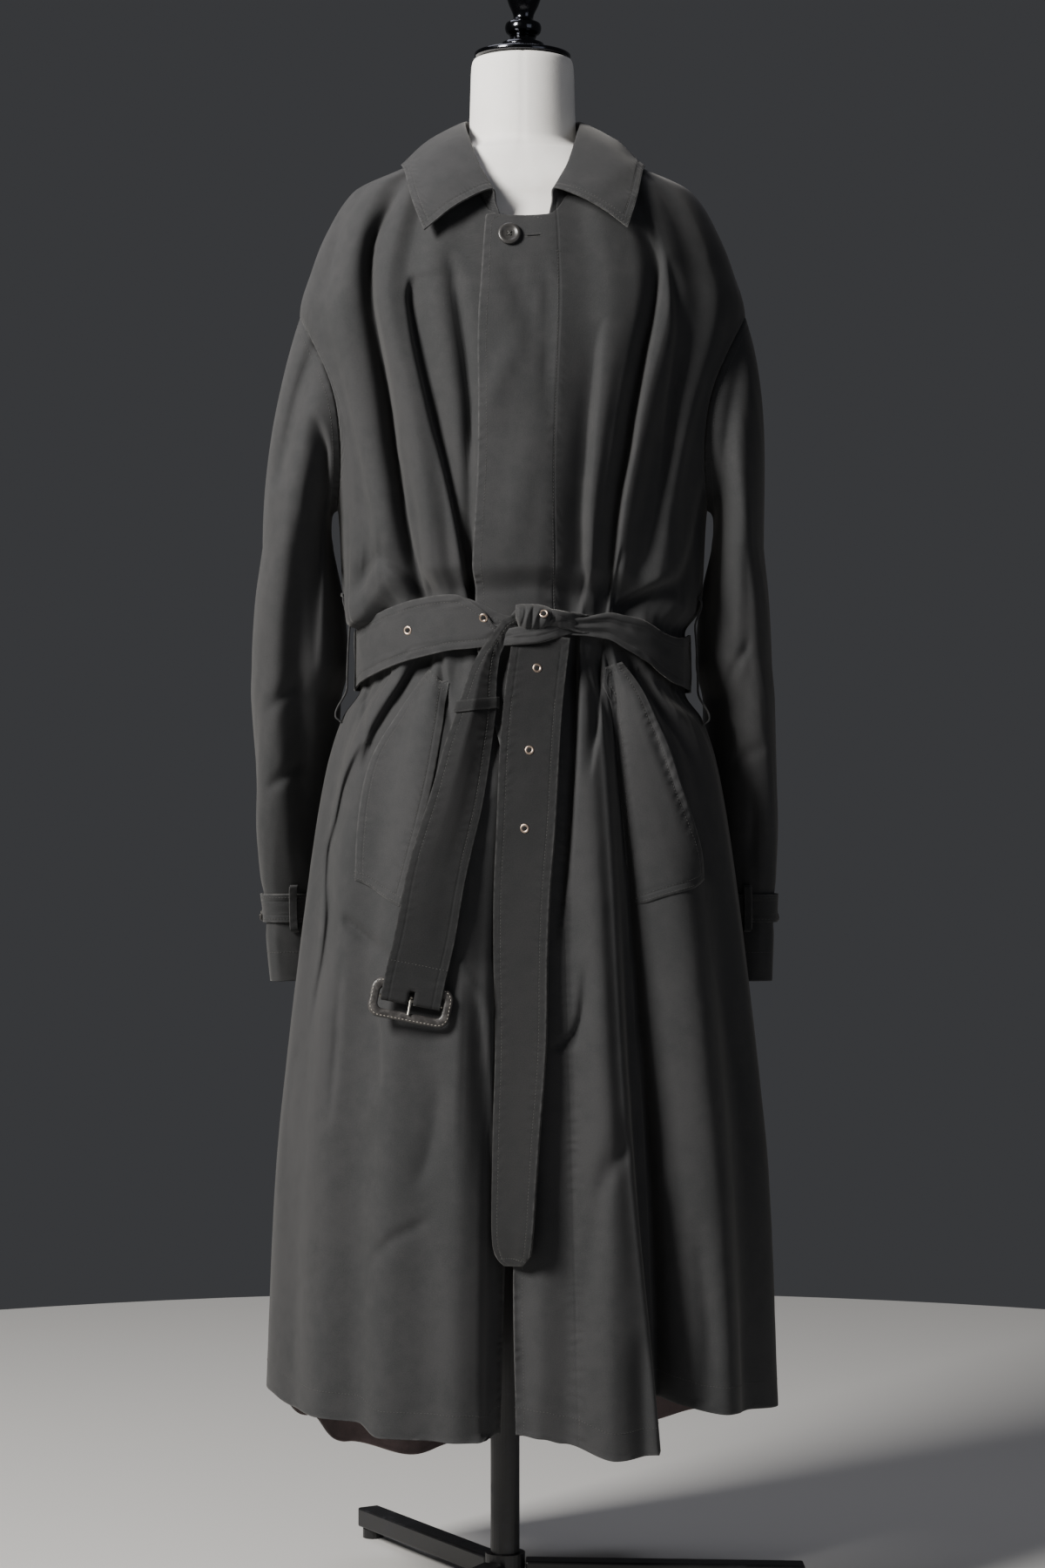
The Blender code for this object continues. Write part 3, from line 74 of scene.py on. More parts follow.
def linear(hexColour):
    # sRGB hex to the linear values that a shader takes
    parts = [int(hexColour[i : i + 2], 16) / 255 for i in (1, 3, 5)]
    return tuple(c / 12.92 if c <= 0.04045 else ((c + 0.055) / 1.055) ** 2.4 for c in parts) + (1.0,)


def fillInputs(node, inputs):
    # an input, by name or number, takes a value, a socket or another node
    for key, value in inputs.items():
        if isinstance(value, bpy.types.Node):
            value = value.outputs[0]
        if isinstance(value, bpy.types.NodeSocket):
            node.id_data.links.new(value, node.inputs[key])
        else:
            node.inputs[key].default_value = value


def addNode(tree, kind, inputs=None, **settings):
    # one node with its settings and links
    node = tree.nodes.new(kind)
    for key, value in settings.items():
        setattr(node, key, value)
    fillInputs(node, inputs or {})
    return node


def addLight(name, place, size, watts, colour):
    data = bpy.data.lights.new(name, "AREA")
    data.shape = "RECTANGLE"
    data.size, data.size_y = size
    data.energy = watts
    data.color = linear(colour)[:3]
    lamp = bpy.data.objects.new(name, data)
    lamp.location = place
    lamp.rotation_euler = (Vector(studio["target"]) - lamp.location).to_track_quat("-Z", "Y").to_euler()
    bpy.context.scene.collection.objects.link(lamp)


def addStudio():
    data = bpy.data.cameras.new("camera")
    data.lens, data.sensor_width = camera["lens"], 36
    view = bpy.data.objects.new("camera", data)
    view.location = camera["place"]
    view.rotation_euler = (math.pi / 2, 0, 0)
    bpy.context.scene.collection.objects.link(view)
    bpy.context.scene.camera = view
    for name in ("key", "fill", "top"):
        values = [studio[name + part] for part in ("Place", "Size", "Watts", "Colour")]
        addLight(name + "Light", *values)
    world = bpy.data.worlds.new("studio")
    world.use_nodes = True
    room = world.node_tree.nodes["Background"]
    room.inputs["Color"].default_value = linear(studio["roomColour"])
    room.inputs["Strength"].default_value = studio["roomStrength"]
    bpy.context.scene.world = world
    built = bmesh.new()
    bmesh.ops.create_circle(built, cap_ends=True, segments=128, radius=studio["floorRadius"])
    mesh = bpy.data.meshes.new("studio_floor")
    built.to_mesh(mesh)
    built.free()
    floor = bpy.data.objects.new("studio_floor", mesh)
    bpy.context.scene.collection.objects.link(floor)
    paint = bpy.data.materials.new("matt floor paint")
    paint.use_nodes = True
    shader = paint.node_tree.nodes["Principled BSDF"]
    shader.inputs["Base Color"].default_value = linear(studio["floorColour"])
    shader.inputs["Roughness"].default_value = 0.9
    mesh.materials.append(paint)


addStudio()
print("studio ready")


cloth = {
    # a dense brushed cotton twill: 0.5 mm ribs on the real cloth, drawn at 1.1 mm
    "colour": "#323233", "shade": "#2b2c2d", "worn": "#4c4c4c", "inside": "#66595a", "insideShade": "#514748",
    "ribPitch": 1.1 * mm, "lean": (0.82, -0.57, 0), "roughness": 0.88, "sheen": 0.20,
    "pucker": 11.5 * mm, "stitchedEdge": 7.5 * mm,
}
mathKind, rampKind = "ShaderNodeMath", "ShaderNodeMapRange"
noiseKind, mixKind = "ShaderNodeTexNoise", "ShaderNodeMix"
sides = (("left", 1), ("right", -1))


def newMaterial(name):
    # an empty material round one shader, and addNode for its tree
    made = bpy.data.materials.new(name)
    made.use_nodes = True
    made.node_tree.nodes.clear()
    add = partial(addNode, made.node_tree)
    shader = add("ShaderNodeBsdfPrincipled")
    add("ShaderNodeOutputMaterial", {"Surface": shader}).is_active_output = True
    return made, add, shader


def clothMaterial(name, colour, shade, worn, stitchedEdge=0.0, wear=0.6):
    # matt cotton with a short nap: no gloss, a soft sheen at grazing angles, paler where edges rub
    made, add, shader = newMaterial(name)
    uv = add("ShaderNodeUVMap", uv_map="cloth")
    place = add("ShaderNodeTexCoord").outputs["Object"]
    edge = add("ShaderNodeAttribute", attribute_name="edge").outputs["Fac"]
    run = add("ShaderNodeAttribute", attribute_name="run").outputs["Fac"]
    signed = add("ShaderNodeAttribute", attribute_name="seam").outputs["Fac"]
    seamAway = add(mathKind, {0: signed}, operation="ABSOLUTE")
    # twill ribs run up to the right
    lean = add("ShaderNodeVectorMath", {0: uv, 1: cloth["lean"]}, operation="DOT_PRODUCT")
    perRib = 2 * math.pi / cloth["ribPitch"]
    turn = add(mathKind, {0: lean.outputs["Value"], 1: perRib}, operation="MULTIPLY")
    ribs = add(mathKind, {0: turn}, operation="SINE")
    nap = add(noiseKind, {"Vector": uv, "Scale": 1000, "Detail": 3, "Roughness": 0.6})
    long = add("ShaderNodeMapping", {"Vector": uv, "Scale": (900, 90, 1)})
    threads = add(noiseKind, {"Vector": long, "Scale": 1, "Detail": 2})
    mottle = add(noiseKind, {"Vector": place, "Scale": 60, "Detail": 4, "Roughness": 0.65})
    cloud = add(noiseKind, {"Vector": place, "Scale": 7, "Detail": 2})
    tone = add(mathKind, {0: mottle, 1: cloud}, operation="ADD")
    tone = add(rampKind, {"Value": tone, 1: 0.76, 2: 1.22}, interpolation_type="SMOOTHSTEP")
    base = add(mixKind, {0: tone, 6: linear(shade), 7: linear(colour)}, data_type="RGBA").outputs[2]
    fluff = add(rampKind, {"Value": nap, 1: 0.35, 2: 0.8, 4: 0.30})
    base = add(mixKind, {0: fluff, 6: base, 7: linear(worn)}, data_type="RGBA").outputs[2]
    # rubbed edges, uneven
    rubbed = add(rampKind, {"Value": edge, 1: 2.6 * mm, 2: 0}, interpolation_type="SMOOTHSTEP")
    patchy = add(noiseKind, {"Vector": place, "Scale": 160, "Detail": 2, "Roughness": 0.6})
    patchy = add(rampKind, {"Value": patchy, 1: 0.35, 2: 0.7, 4: wear})
    rubbed = add(mathKind, {0: rubbed, 1: patchy}, operation="MULTIPLY")
    base = add(mixKind, {0: rubbed, 6: base, 7: linear(worn)}, data_type="RGBA").outputs[2]
    # puckers across the stitched edges and seams, uneven in strength, and a groove along each
    fromStitch = add(mathKind, {0: edge, 1: stitchedEdge}, operation="SUBTRACT")
    fromStitch = add(mathKind, {0: fromStitch}, operation="ABSOLUTE")
    nearest = add(mathKind, {0: fromStitch, 1: seamAway}, operation="MINIMUM")
    near = add(rampKind, {"Value": nearest, 1: 10 * mm, 2: 1 * mm}, interpolation_type="SMOOTHSTEP")
    drift = add(noiseKind, {"Vector": place, "Scale": 34, "Detail": 1})
    phase = add(mathKind, {0: drift, 1: 13}, operation="MULTIPLY")
    perPucker = 2 * math.pi / cloth["pucker"]
    phase = add(mathKind, {0: run, 1: perPucker, 2: phase}, operation="MULTIPLY_ADD")
    pucker = add(mathKind, {0: phase}, operation="SINE")
    uneven = add(rampKind, {"Value": cloud, 1: 0.35, 2: 0.65, 3: 0.35, 4: 1.3})
    pucker = add(mathKind, {0: pucker, 1: near}, operation="MULTIPLY")
    pucker = add(mathKind, {0: pucker, 1: uneven}, operation="MULTIPLY")
    groove = add(rampKind, {"Value": nearest if stitchedEdge else seamAway, 1: 1.7 * mm, 2: 0.2 * mm})
    height = add(mathKind, {0: ribs, 1: 0.03}, operation="MULTIPLY")
    for part, share in ((nap, 0.35), (threads, 0.15), (mottle, 0.5), (pucker, 0.75), (groove, -0.9)):
        height = add(mathKind, {0: part, 1: share, 2: height}, operation="MULTIPLY_ADD")
    bump = add("ShaderNodeBump", {"Height": height, "Strength": 0.55, "Distance": 0.6 * mm})
    fillInputs(shader, {
        "Base Color": base, "Roughness": cloth["roughness"], "Specular IOR Level": 0.22, "Normal": bump,
        "Sheen Weight": cloth["sheen"], "Sheen Roughness": 0.45, "Sheen Tint": linear("#d8d6d2"),
    })
    return made


def metalMaterial(name, colour, dull, roughness, scratch):
    # plated or polished metal: smooth bands of reflection, dulled unevenly by handling
    made, add, shader = newMaterial(name)
    place = add("ShaderNodeTexCoord").outputs["Object"]
    smudge = add(noiseKind, {"Vector": place, "Scale": 210, "Detail": 3, "Roughness": 0.6})
    share = add(rampKind, {"Value": smudge, 1: 0.4, 2: 0.75})
    base = add(mixKind, {0: share, 6: linear(colour), 7: linear(dull)}, data_type="RGBA").outputs[2]
    rough = add(rampKind, {"Value": smudge, 1: 0.3, 2: 0.8, 3: roughness, 4: roughness + scratch})
    grain = add(noiseKind, {"Vector": place, "Scale": 1400})
    bump = add("ShaderNodeBump", {"Height": grain, "Strength": 0.12, "Distance": 0.1 * mm})
    fillInputs(shader, {"Base Color": base, "Roughness": rough, "Metallic": 1.0, "Normal": bump})
    return made


def leatherMaterial(name, colour, worn):
    # vegetable-tanned calf over a core: a fine pebble about 0.8 mm across, rubbed paler on the ridges
    made, add, shader = newMaterial(name)
    place = add("ShaderNodeTexCoord").outputs["Object"]
    cells = add("ShaderNodeTexVoronoi", {"Vector": place, "Scale": 1250}).outputs["Distance"]
    rub = add(noiseKind, {"Vector": place, "Scale": 130, "Detail": 3, "Roughness": 0.6})
    rub = add(rampKind, {"Value": rub, 1: 0.40, 2: 0.66}, interpolation_type="SMOOTHSTEP")
    base = add(mixKind, {0: rub, 6: linear(colour), 7: linear(worn)}, data_type="RGBA").outputs[2]
    pits = add(rampKind, {"Value": cells, 1: 0.1, 2: 0.6, 4: 0.35})
    base = add(mixKind, {0: pits, 6: base, 7: linear(colour)}, data_type="RGBA").outputs[2]
    rough = add(rampKind, {"Value": rub, 3: 0.40, 4: 0.60})
    bump = add("ShaderNodeBump", {"Height": cells, "Strength": 0.4, "Distance": 0.2 * mm})
    fillInputs(shader, {"Base Color": base, "Roughness": rough, "Normal": bump})
    return made


def paintMaterial(name, colour, worn, roughness, grain):
    # a painted or moulded surface with faint orange peel and rubbed places
    made, add, shader = newMaterial(name)
    place = add("ShaderNodeTexCoord").outputs["Object"]
    rub = add(noiseKind, {"Vector": place, "Scale": 40, "Detail": 4, "Roughness": 0.65})
    rub = add(rampKind, {"Value": rub, 1: 0.5, 2: 0.75}, interpolation_type="SMOOTHSTEP")
    base = add(mixKind, {0: rub, 6: linear(colour), 7: linear(worn)}, data_type="RGBA").outputs[2]
    rough = add(rampKind, {"Value": rub, 3: roughness, 4: roughness + 0.15})
    peel = add(noiseKind, {"Vector": place, "Scale": grain})
    bump = add("ShaderNodeBump", {"Height": peel, "Strength": 0.15, "Distance": 0.2 * mm})
    fillInputs(shader, {"Base Color": base, "Roughness": rough, "Normal": bump})
    return made


def coverMaterial(name, colour, shade):
    # stretched cotton jersey: 0.9 mm knit ribs, drawn at 1.6 mm, faintly soiled
    made, add, shader = newMaterial(name)
    uv = add("ShaderNodeUVMap", uv_map="cloth")
    place = add("ShaderNodeTexCoord").outputs["Object"]
    turns = add("ShaderNodeVectorMath", {0: uv, "Scale": 2 * math.pi / (1.6 * mm)}, operation="SCALE")
    waves = add("ShaderNodeVectorMath", {0: turns}, operation="SINE")
    knit = add("ShaderNodeSeparateXYZ", {0: waves})
    knit = add(mathKind, {0: knit.outputs[0], 1: knit.outputs[1]}, operation="MULTIPLY")
    soil = add(noiseKind, {"Vector": place, "Scale": 22, "Detail": 4, "Roughness": 0.6})
    soil = add(rampKind, {"Value": soil, 1: 0.42, 2: 0.8, 4: 0.5}, interpolation_type="SMOOTHSTEP")
    base = add(mixKind, {0: soil, 6: linear(colour), 7: linear(shade)}, data_type="RGBA").outputs[2]
    fibre = add(noiseKind, {"Vector": place, "Scale": 1500})
    height = add(mathKind, {0: fibre, 1: 2.0, 2: knit}, operation="MULTIPLY_ADD")
    bump = add("ShaderNodeBump", {"Height": height, "Strength": 0.3, "Distance": 0.1 * mm})
    fillInputs(shader, {"Base Color": base, "Roughness": 0.92, "Specular IOR Level": 0.2, "Normal": bump})
    return made


colours, edgeAt = (cloth["colour"], cloth["shade"], cloth["worn"]), cloth["stitchedEdge"]
twill = clothMaterial("brushed cotton twill", *colours)
# a darker copy of the twill: painted shade on the loose belt ends and the keeper
tailTwillPaintedShade = clothMaterial("brushed cotton twill, cross grain", "#1c1c1d", "#18191a", "#3c3c3c", edgeAt, 0.8)
beltTwill = clothMaterial("brushed cotton twill, stitched edge", *colours, edgeAt, 0.7)
twillInside = clothMaterial("reverse of the twill", cloth["inside"], cloth["insideShade"], "#7d706c")
thread = clothMaterial("polyester sewing thread", "#424241", "#393938", "#5c5c5a")
leather = leatherMaterial("calf leather over board", "#2b2928", "#454240")
leatherThread = paintMaterial("waxed linen thread", "#8a857d", "#a29c92", 0.6, 900)
horn = paintMaterial("polished horn", "#323130", "#484644", 0.34, 300)
nickel = metalMaterial("worn nickel plate", "#8f8c84", "#6f6b62", 0.3, 0.2)
eyeletMetal = metalMaterial("antique copper plate", "#b3a092", "#877a6e", 0.3, 0.2)
gunmetal = metalMaterial("polished gunmetal", "#4a4b4f", "#3c3d40", 0.10, 0.12)
blackPaint = paintMaterial("black stove enamel", "#141415", "#26262a", 0.38, 260)
jersey = coverMaterial("stretched cotton jersey", "#f3f1ed", "#e4e0d8")
# near-black paint: painted shade inside the eyelets' holes and the buttonhole's slit
holeShade = paintMaterial("shaded cloth", "#0b0b0b", "#101010", 0.95, 500)
print("materials ready")

# the cloth has the same sections and fold lines as the solids, with finer creases on them
coat = {
    "wall": 1.6 * mm, "sectionPower": 0.9, "hem": 0.19, "waist": 0.935, "shoulder": 1.20,
    "neckTop": 1.407, "hemFade": 0.50, "waistBlend": 0.09, "seamShift": 0.15 * mm,
    # height, half width, front depth, back depth
    "sections": (
        (0.100, 0.250, 0.206, 0.204), (0.190, 0.248, 0.205, 0.200), (0.400, 0.240, 0.190, 0.190),
        (0.620, 0.218, 0.170, 0.172), (0.800, 0.192, 0.150, 0.152), (0.870, 0.175, 0.134, 0.134),
        (0.905, 0.1585, 0.121, 0.119), (0.965, 0.1585, 0.121, 0.119), (0.992, 0.174, 0.134, 0.128),
        (1.060, 0.180, 0.139, 0.131), (1.150, 0.197, 0.138, 0.134), (1.245, 0.217, 0.130, 0.130),
        (1.290, 0.205, 0.122, 0.122), (1.325, 0.191, 0.112, 0.112), (1.364, 0.166, 0.094, 0.098),
        (1.385, 0.122, 0.083, 0.088), (1.400, 0.090, 0.076, 0.080), (1.412, 0.066, 0.070, 0.072),
    ),
    "necklineAngles": (0, 6, 14, 28, 45, 65, 90, 180),
    "necklineHeights": (1.325, 1.327, 1.358, 1.388, 1.400, 1.405, 1.407, 1.408),
    "armholeTop": 1.245, "armholeBottom": 1.060, "armholeHalfAngle": 27.0,
    "foldHeights": (0.19, 0.55, 0.80, 0.935, 1.12, 1.29),
    # rows of points: from, to and how many, then those beside the armhole and on the shoulder
    "rows": ((0.19, 0.86, 150), (0.86, 1.01, 54), (1.01, 1.06, 12)), "armholeRows": 52, "shoulderRows": 46,
    # mm round the coat for a degree below and above the waist; degrees at the side seams where detail fades out
    "mmPerDegree": (4.0, 3.3), "seamFade": 6,
    # unevenness: depth in mm, then its size across and up in metres
    "uneven": ((0.9, 0.060, 0.22), (0.45, 0.021, 0.085), (0.12, 0.009, 0.014)),
    # the front edge's rounded upper corner: start, height, how far it goes back and its reach in degrees
    "edgeCorner": (1.392, 0.015, 2.2, 3),
    # height and angle of the seam beside the front edge
    "placketSeam": ((0.19, 10.1), (0.4, 9.6), (0.9, 8.8), (0.94, 8.8), (1.12, 7.4), (1.29, 7.65), (1.40, 8.0)),
}
belt = {
    "lift": 3.4 * mm, "wall": 2.2 * mm, "width": 0.056,
    # creases where it is drawn together: how much narrower it is where they are deepest, their depth there,
    # and the wave's angle in radians over half the width
    "squeeze": 0.039, "creaseDepth": 1.6 * mm, "creaseTurn": 7.5,
    # the cloth that it holds in: this far past its edges and this far under it
    "holdPast": 0.003, "holdUnder": 1.3 * mm,
    # angle round the waist, height of the middle, width
    "line": (
        (-180, 0.915, 0.056), (-90, 0.909, 0.056), (-70, 0.9165, 0.056), (-49, 0.9290, 0.056),
        (-36, 0.9365, 0.056), (-20, 0.942, 0.052), (-8, 0.939, 0.038), (-1, 0.942, 0.025), (3, 0.943, 0.027),
        (10, 0.942, 0.022), (16, 0.9378, 0.0172), (26.7, 0.9387, 0.025), (34.3, 0.933, 0.032),
        (43, 0.926, 0.038), (55.3, 0.912, 0.042), (66, 0.907, 0.046), (90, 0.907, 0.056), (180, 0.915, 0.056),
    ),
    # angle and how far (mm) the front layer's upper edge drops on its way into the knot
    "frontEnd": (
        (-180, 0), (-21, 0), (-19, -0.5), (-17, -2.5), (-14.5, -4.5), (-11.8, -7.5), (-10.2, -10),
        (-8.8, -14.5), (-7.7, -20), (-5, -17), (-1, 0), (180, 0),
    ),
    # angle and height (mm) of the layer beneath
    "under": ((-20, 966.5), (-16, 964), (-11.7, 958.8), (-7.9, 953), (-4, 948), (1, 946)),
    "underWall": 1.2 * mm, "underLift": 3.1 * mm, "underFoot": 0.930,
}
blouse = {
    "height": 0.997, "spread": 0.030, "forward": 0.22, "sideEnd": 78, "sideFade": 15,
    # angle and drop in mm
    "drop": (
        (-180, 14), (-150, 20), (-120, 12), (-100, 10), (-84, 14), (-72, 34), (-62, 34), (-53, 18),
        (-44, 3), (-36, 0), (30, 0), (44, 4), (58, 12), (75, 14), (100, 10), (120, 14), (150, 22), (180, 14),
    ),
}
# rise of the hem in mm, then angles and lifts (mm) of each fold line at the fold heights
leftFolds = (
    (3, (-1, -2, -4, -14, -10.5, -8.6), (-14, -20, -6, 2, 3, 3)),
    (0, (3, 4, 3, 3, 4, 4), (-2, -10, -3, 2, 4, 3)),
    (-4, (7, 9, 9, 14, 13, 14), (-10, -20, -14, -6, -4, -2)),
    (-17, (17, 17, 17, 18, 20, 21), (22, 12, 6, 1, 5, 3)),
    (-14, (26, 21, 21, 21, 24, 28), (26, 10, 4, 1, 4, 2)),
    (27, (31, 27, 26, 25, 28, 35), (-55, -42, -28, -12, -12, -6)),
    (14, (47, 45, 43, 29, 33, 39), (14, 12, 8, 1, 4, 3)),
    (9, (60, 60, 58, 36, 43, 50), (-10, -8, -8, -10, -7, -4)),
    (7, (72, 73, 72, 46, 52, 60), (8, 6, 4, 0, 3, 1)),
    (6, (82, 82, 82, 68, 59, 76), (-3, -3, -2, -3, -1, 0)),
    (7, (90, 90, 90, 90, 90, 90), (0, 0, 0, 0, 0, 0)),
)
rightFolds = (
    (0, (4, 2, 0, -4, -4, -4), (-36, -42, -16, -4, -3, -3)),
    (-4, (8, 8, 8, 13, 11, 13), (-14, -24, -12, -6, -4, -3)),
    (-4, (13, 13, 13, 16, 17, 21), (2, 2, 1, 0, 2, 2)),
    (-3, (18, 19, 19, 21, 22, 29), (-12, -12, -8, -10, -8, -8)),
    (-2, (29, 29, 28, 26, 29, 35), (10, 8, 6, 1, 5, 3)),
    (8, (38, 40, 42, 33, 39, 43), (-22, -20, -16, -12, -12, -7)),
    (10, (48, 50, 55, 43, 50, 52), (8, 8, 8, 1, 4, 3)),
    (12, (62, 64, 70, 56, 57, 66), (-10, -12, -6, -5, -3, -1)),
    (20, (76, 77, 80, 72, 60, 78), (5, 4, 2, 0, 0, 0)),
    (19, (90, 90, 90, 90, 90, 90), (0, 0, 0, 0, 0, 0)),
)
backFolds = (
    (7, (90, 90, 90, 90, 90, 90), (0, 0, 0, 0, 0, 0)),
    (-28, (118, 119, 111, 110, 118, 108), (-8, -22, -18, -3, -1, 0)),
    (-40, (137, 138, 134, 128, 130, 128), (14, 4, 4, 1, 3, 0)),
    (-52, (150, 150, 147, 143, 143, 144), (-20, -14, -9, -10, -5, -2)),
    (-66, (164, 163, 161, 157, 157, 160), (12, 9, 6, 1, 3, 1)),
    (-72, (177, 176, 175, 172, 172, 175), (-14, -10, -8, -11, -5, -2)),
    (-82, (192, 191, 189, 186, 187, 190), (12, 8, 6, 1, 4, 1)),
    (-88, (206, 205, 203, 200, 201, 204), (-16, -14, -9, -10, -5, -2)),
    (-74, (222, 221, 220, 217, 218, 222), (13, 5, 4, 1, 3, 0)),
    (-34, (242, 241, 249, 250, 242, 252), (-8, -22, -18, -3, -1, 0)),
    (19, (270, 270, 270, 270, 270, 270), (0, 0, 0, 0, 0, 0)),
)


def smoothTable(stations, values, at):
    # smooth curve through a table that never overshoots its rows, read at a whole array
    x = np.asarray(stations, float)
    y = np.asarray(values, float).reshape(len(x), -1)
    at = np.clip(np.asarray(at, float), x[0], x[-1])
    gap, rise = np.diff(x)[:, None], np.diff(y, axis=0)
    slope = rise / gap
    product, total = slope[:-1] * slope[1:], slope[:-1] + slope[1:]
    tangent = np.concatenate((slope[:1], np.zeros_like(product), slope[-1:]))
    tangent[1:-1][product > 0] = 2 * product[product > 0] / total[product > 0]
    i = np.clip(np.searchsorted(x, at, side="right") - 1, 0, len(x) - 2)
    s = ((at - x[i]) / gap[i, 0])[..., None]
    found = y[i] + rise[i] * s * s * (3 - 2 * s)
    found += gap[i] * s * (1 - s) * (tangent[i] * (1 - s) - tangent[i + 1] * s)
    return found[..., 0] if np.ndim(values[0]) == 0 else found


def columnsOf(table, at):
    # every later column of a table of rows, read at its first column
    found = smoothTable([row[0] for row in table], [row[1:] for row in table], at)
    return np.moveaxis(found, -1, 0)


def signedPower(value, power):
    return np.sign(value) * np.abs(value) ** power


def mix(a, b, share):
    return a + (b - a) * share


def unit(values):
    return values / np.linalg.norm(values, axis=-1, keepdims=True)


def turnsOf(count):
    # angles of so many points round a circle
    return np.arange(count) * 2 * np.pi / count


def placed(points, matrix):
    return points @ np.array(matrix.to_3x3()).T + np.array(matrix.translation)


def easeInOut(share):
    share = np.clip(share, 0, 1)
    return share * share * (3 - 2 * share)


def softNoise(u, v, seed):
    # smooth bumps on a lattice of random values between -1 and 1
    lattice = np.random.default_rng(seed).uniform(-1, 1, (97, 97))
    i, j = np.floor(u).astype(int), np.floor(v).astype(int)
    a, b = easeInOut(u - i), easeInOut(v - j)
    i, j = i % 96, j % 96
    low = mix(lattice[i, j], lattice[i + 1, j], a)
    return mix(low, mix(lattice[i, j + 1], lattice[i + 1, j + 1], a), b)


def wrapped(angle):
    return (angle + 180) % 360 - 180


def beltAt(angle):
    return columnsOf(belt["line"], wrapped(angle))


def trueHeight(angle, nominal):
    # rows over the shoulder bend down to the neckline
    neck = smoothTable(coat["necklineAngles"], coat["necklineHeights"], np.abs(wrapped(angle)))
    share = np.clip((nominal - coat["shoulder"]) / (coat["neckTop"] - coat["shoulder"]), 0, 1)
    return np.where(nominal > coat["shoulder"], mix(coat["shoulder"], neck, share), nominal)


def bodyPoint(angle, nominal, lift, hemRise=0.0):
    # a point of the cloth at an angle from the front and a height, moved out level by the lift
    angle, nominal = np.broadcast_arrays(np.asarray(angle, float), np.asarray(nominal, float))
    height = trueHeight(angle, nominal)
    halfWidth, front, back = columnsOf(coat["sections"], height)
    sine, cosine = np.sin(np.radians(angle)), np.cos(np.radians(angle))
    depth = np.where(cosine > 0, front, back)
    outX, outY = sine / halfWidth, -cosine / depth
    size = np.hypot(outX, outY)
    x = halfWidth * signedPower(sine, coat["sectionPower"]) + outX / size * lift
    y = -depth * signedPower(cosine, coat["sectionPower"]) + outY / size * lift
    sag = (beltAt(angle)[0] - coat["waist"]) * np.exp(-(((nominal - coat["waist"]) / coat["waistBlend"]) ** 2))
    fade = np.clip((coat["hemFade"] - nominal) / (coat["hemFade"] - coat["hem"]), 0, None)
    return np.stack((x, y, height + sag + hemRise * fade**2), -1)


armholeMiddle = (coat["armholeTop"] + coat["armholeBottom"]) / 2
armholeReach = coat["armholeTop"] - armholeMiddle


def armholeCut(nominal):
    offset = (nominal - armholeMiddle) / armholeReach
    return coat["armholeHalfAngle"] * np.sqrt(np.clip(1 - offset * offset, 0, None))


def foldLines(folds, isBack, nominal):
    # angles and lifts of every fold line at an array of heights, one column a line
    angles = np.stack([smoothTable(coat["foldHeights"], fold[1], nominal) for fold in folds], -1)
    lifts = np.stack([smoothTable(coat["foldHeights"], fold[2], nominal) for fold in folds], -1) * mm
    cut = armholeCut(nominal)[..., None]
    low, high = (90 + cut, 270 - cut) if isBack else (-90, 90 - cut)
    steps = 1.2 * np.arange(len(folds))
    if isBack:
        angles = np.maximum(angles, low + steps)
        angles[..., :1] = low
    angles = np.minimum(angles, high - steps[::-1])
    angles[..., -1:] = high
    # where the armhole squeezes fold lines together their relief flattens
    room = np.clip((angles[..., 2:] - angles[..., :-2] - 3) / 12, 0, 1)
    between = (lifts[..., 2:] + lifts[..., :-2]) / 2
    lifts[..., 1:-1] = mix(between, lifts[..., 1:-1], room)
    return angles, lifts


def onCloth(across, down, depth=None):
    # x and height (mm) where a point of the 1200 by 1800 frame meets the coat's front
    reach = 0.13 if depth is None else depth
    for _ in range(5):
        scale = 0.85 * (1 + reach / camera["place"][1])
        x, z = (across - 600) * scale, 790 + (900 - down) * scale
        if depth is None:
            halfWidth, front, _ = columnsOf(coat["sections"], z * mm)
            reach = front * math.sqrt(max(1 - (x * mm / halfWidth) ** 2, 0.04))
    return x, z


creaseGain, creaseSoft = 1.5, 0.8


def creaseLift(creases, x, z, depth=None):
    # soft troughs and ridges: each has its own line, depths and softness on either side,
    # and pushes the cloth straight back or forward
    lift = np.zeros(np.shape(x))
    for soft, runs, line in creases:
        rows = [onCloth(row[0], row[1], depth) + (row[2],) for row in line]
        down = runs == "down"
        along, off = (z, x) if down else (x, z)
        table = sorted((row[1], row[0], row[2]) if down else row for row in rows)
        middle, height = columnsOf(table, along * 1000)
        slope = columnsOf(table, along * 1000 + 2)[0] - middle
        distance = (off * 1000 - middle) / np.sqrt(1 + slope * slope / 4)
        inside = (along * 1000 > table[0][0]) & (along * 1000 < table[-1][0])
        width = np.where(distance < 0, *soft) * creaseSoft
        lift += np.where(inside, height * np.exp(-np.abs(distance / width) ** 1.7), 0)
    return lift * creaseGain * mm


def beltPleats(seed, first, last, count):
    # small gathers that run out of the belt, uneven in length, depth and lean
    draw = np.random.default_rng(seed)
    found = []
    for k in range(count):
        angle = first + (last - first) * (k + draw.uniform(0.15, 0.85)) / count
        depth = draw.uniform(1.0, 2.6) * (-1 if k % 2 else 0.55)
        lean = draw.uniform(-3, 3)
        up, down = draw.uniform(0.05, 0.13), draw.uniform(0.06, 0.15)
        width = draw.uniform(3.0, 6.0)
        rows = (
            (0.935 - down, angle - lean * 1.2, 0), (0.935 - down * 0.5, angle - lean * 0.5, depth),
            (0.925, angle, depth * 0.6), (0.945, angle, depth * 0.6),
            (0.935 + up * 0.5, angle + lean * 0.4, depth), (0.935 + up, angle + lean, 0),
        )
        found.append((width, width * draw.uniform(0.7, 1.5), rows))
    return found


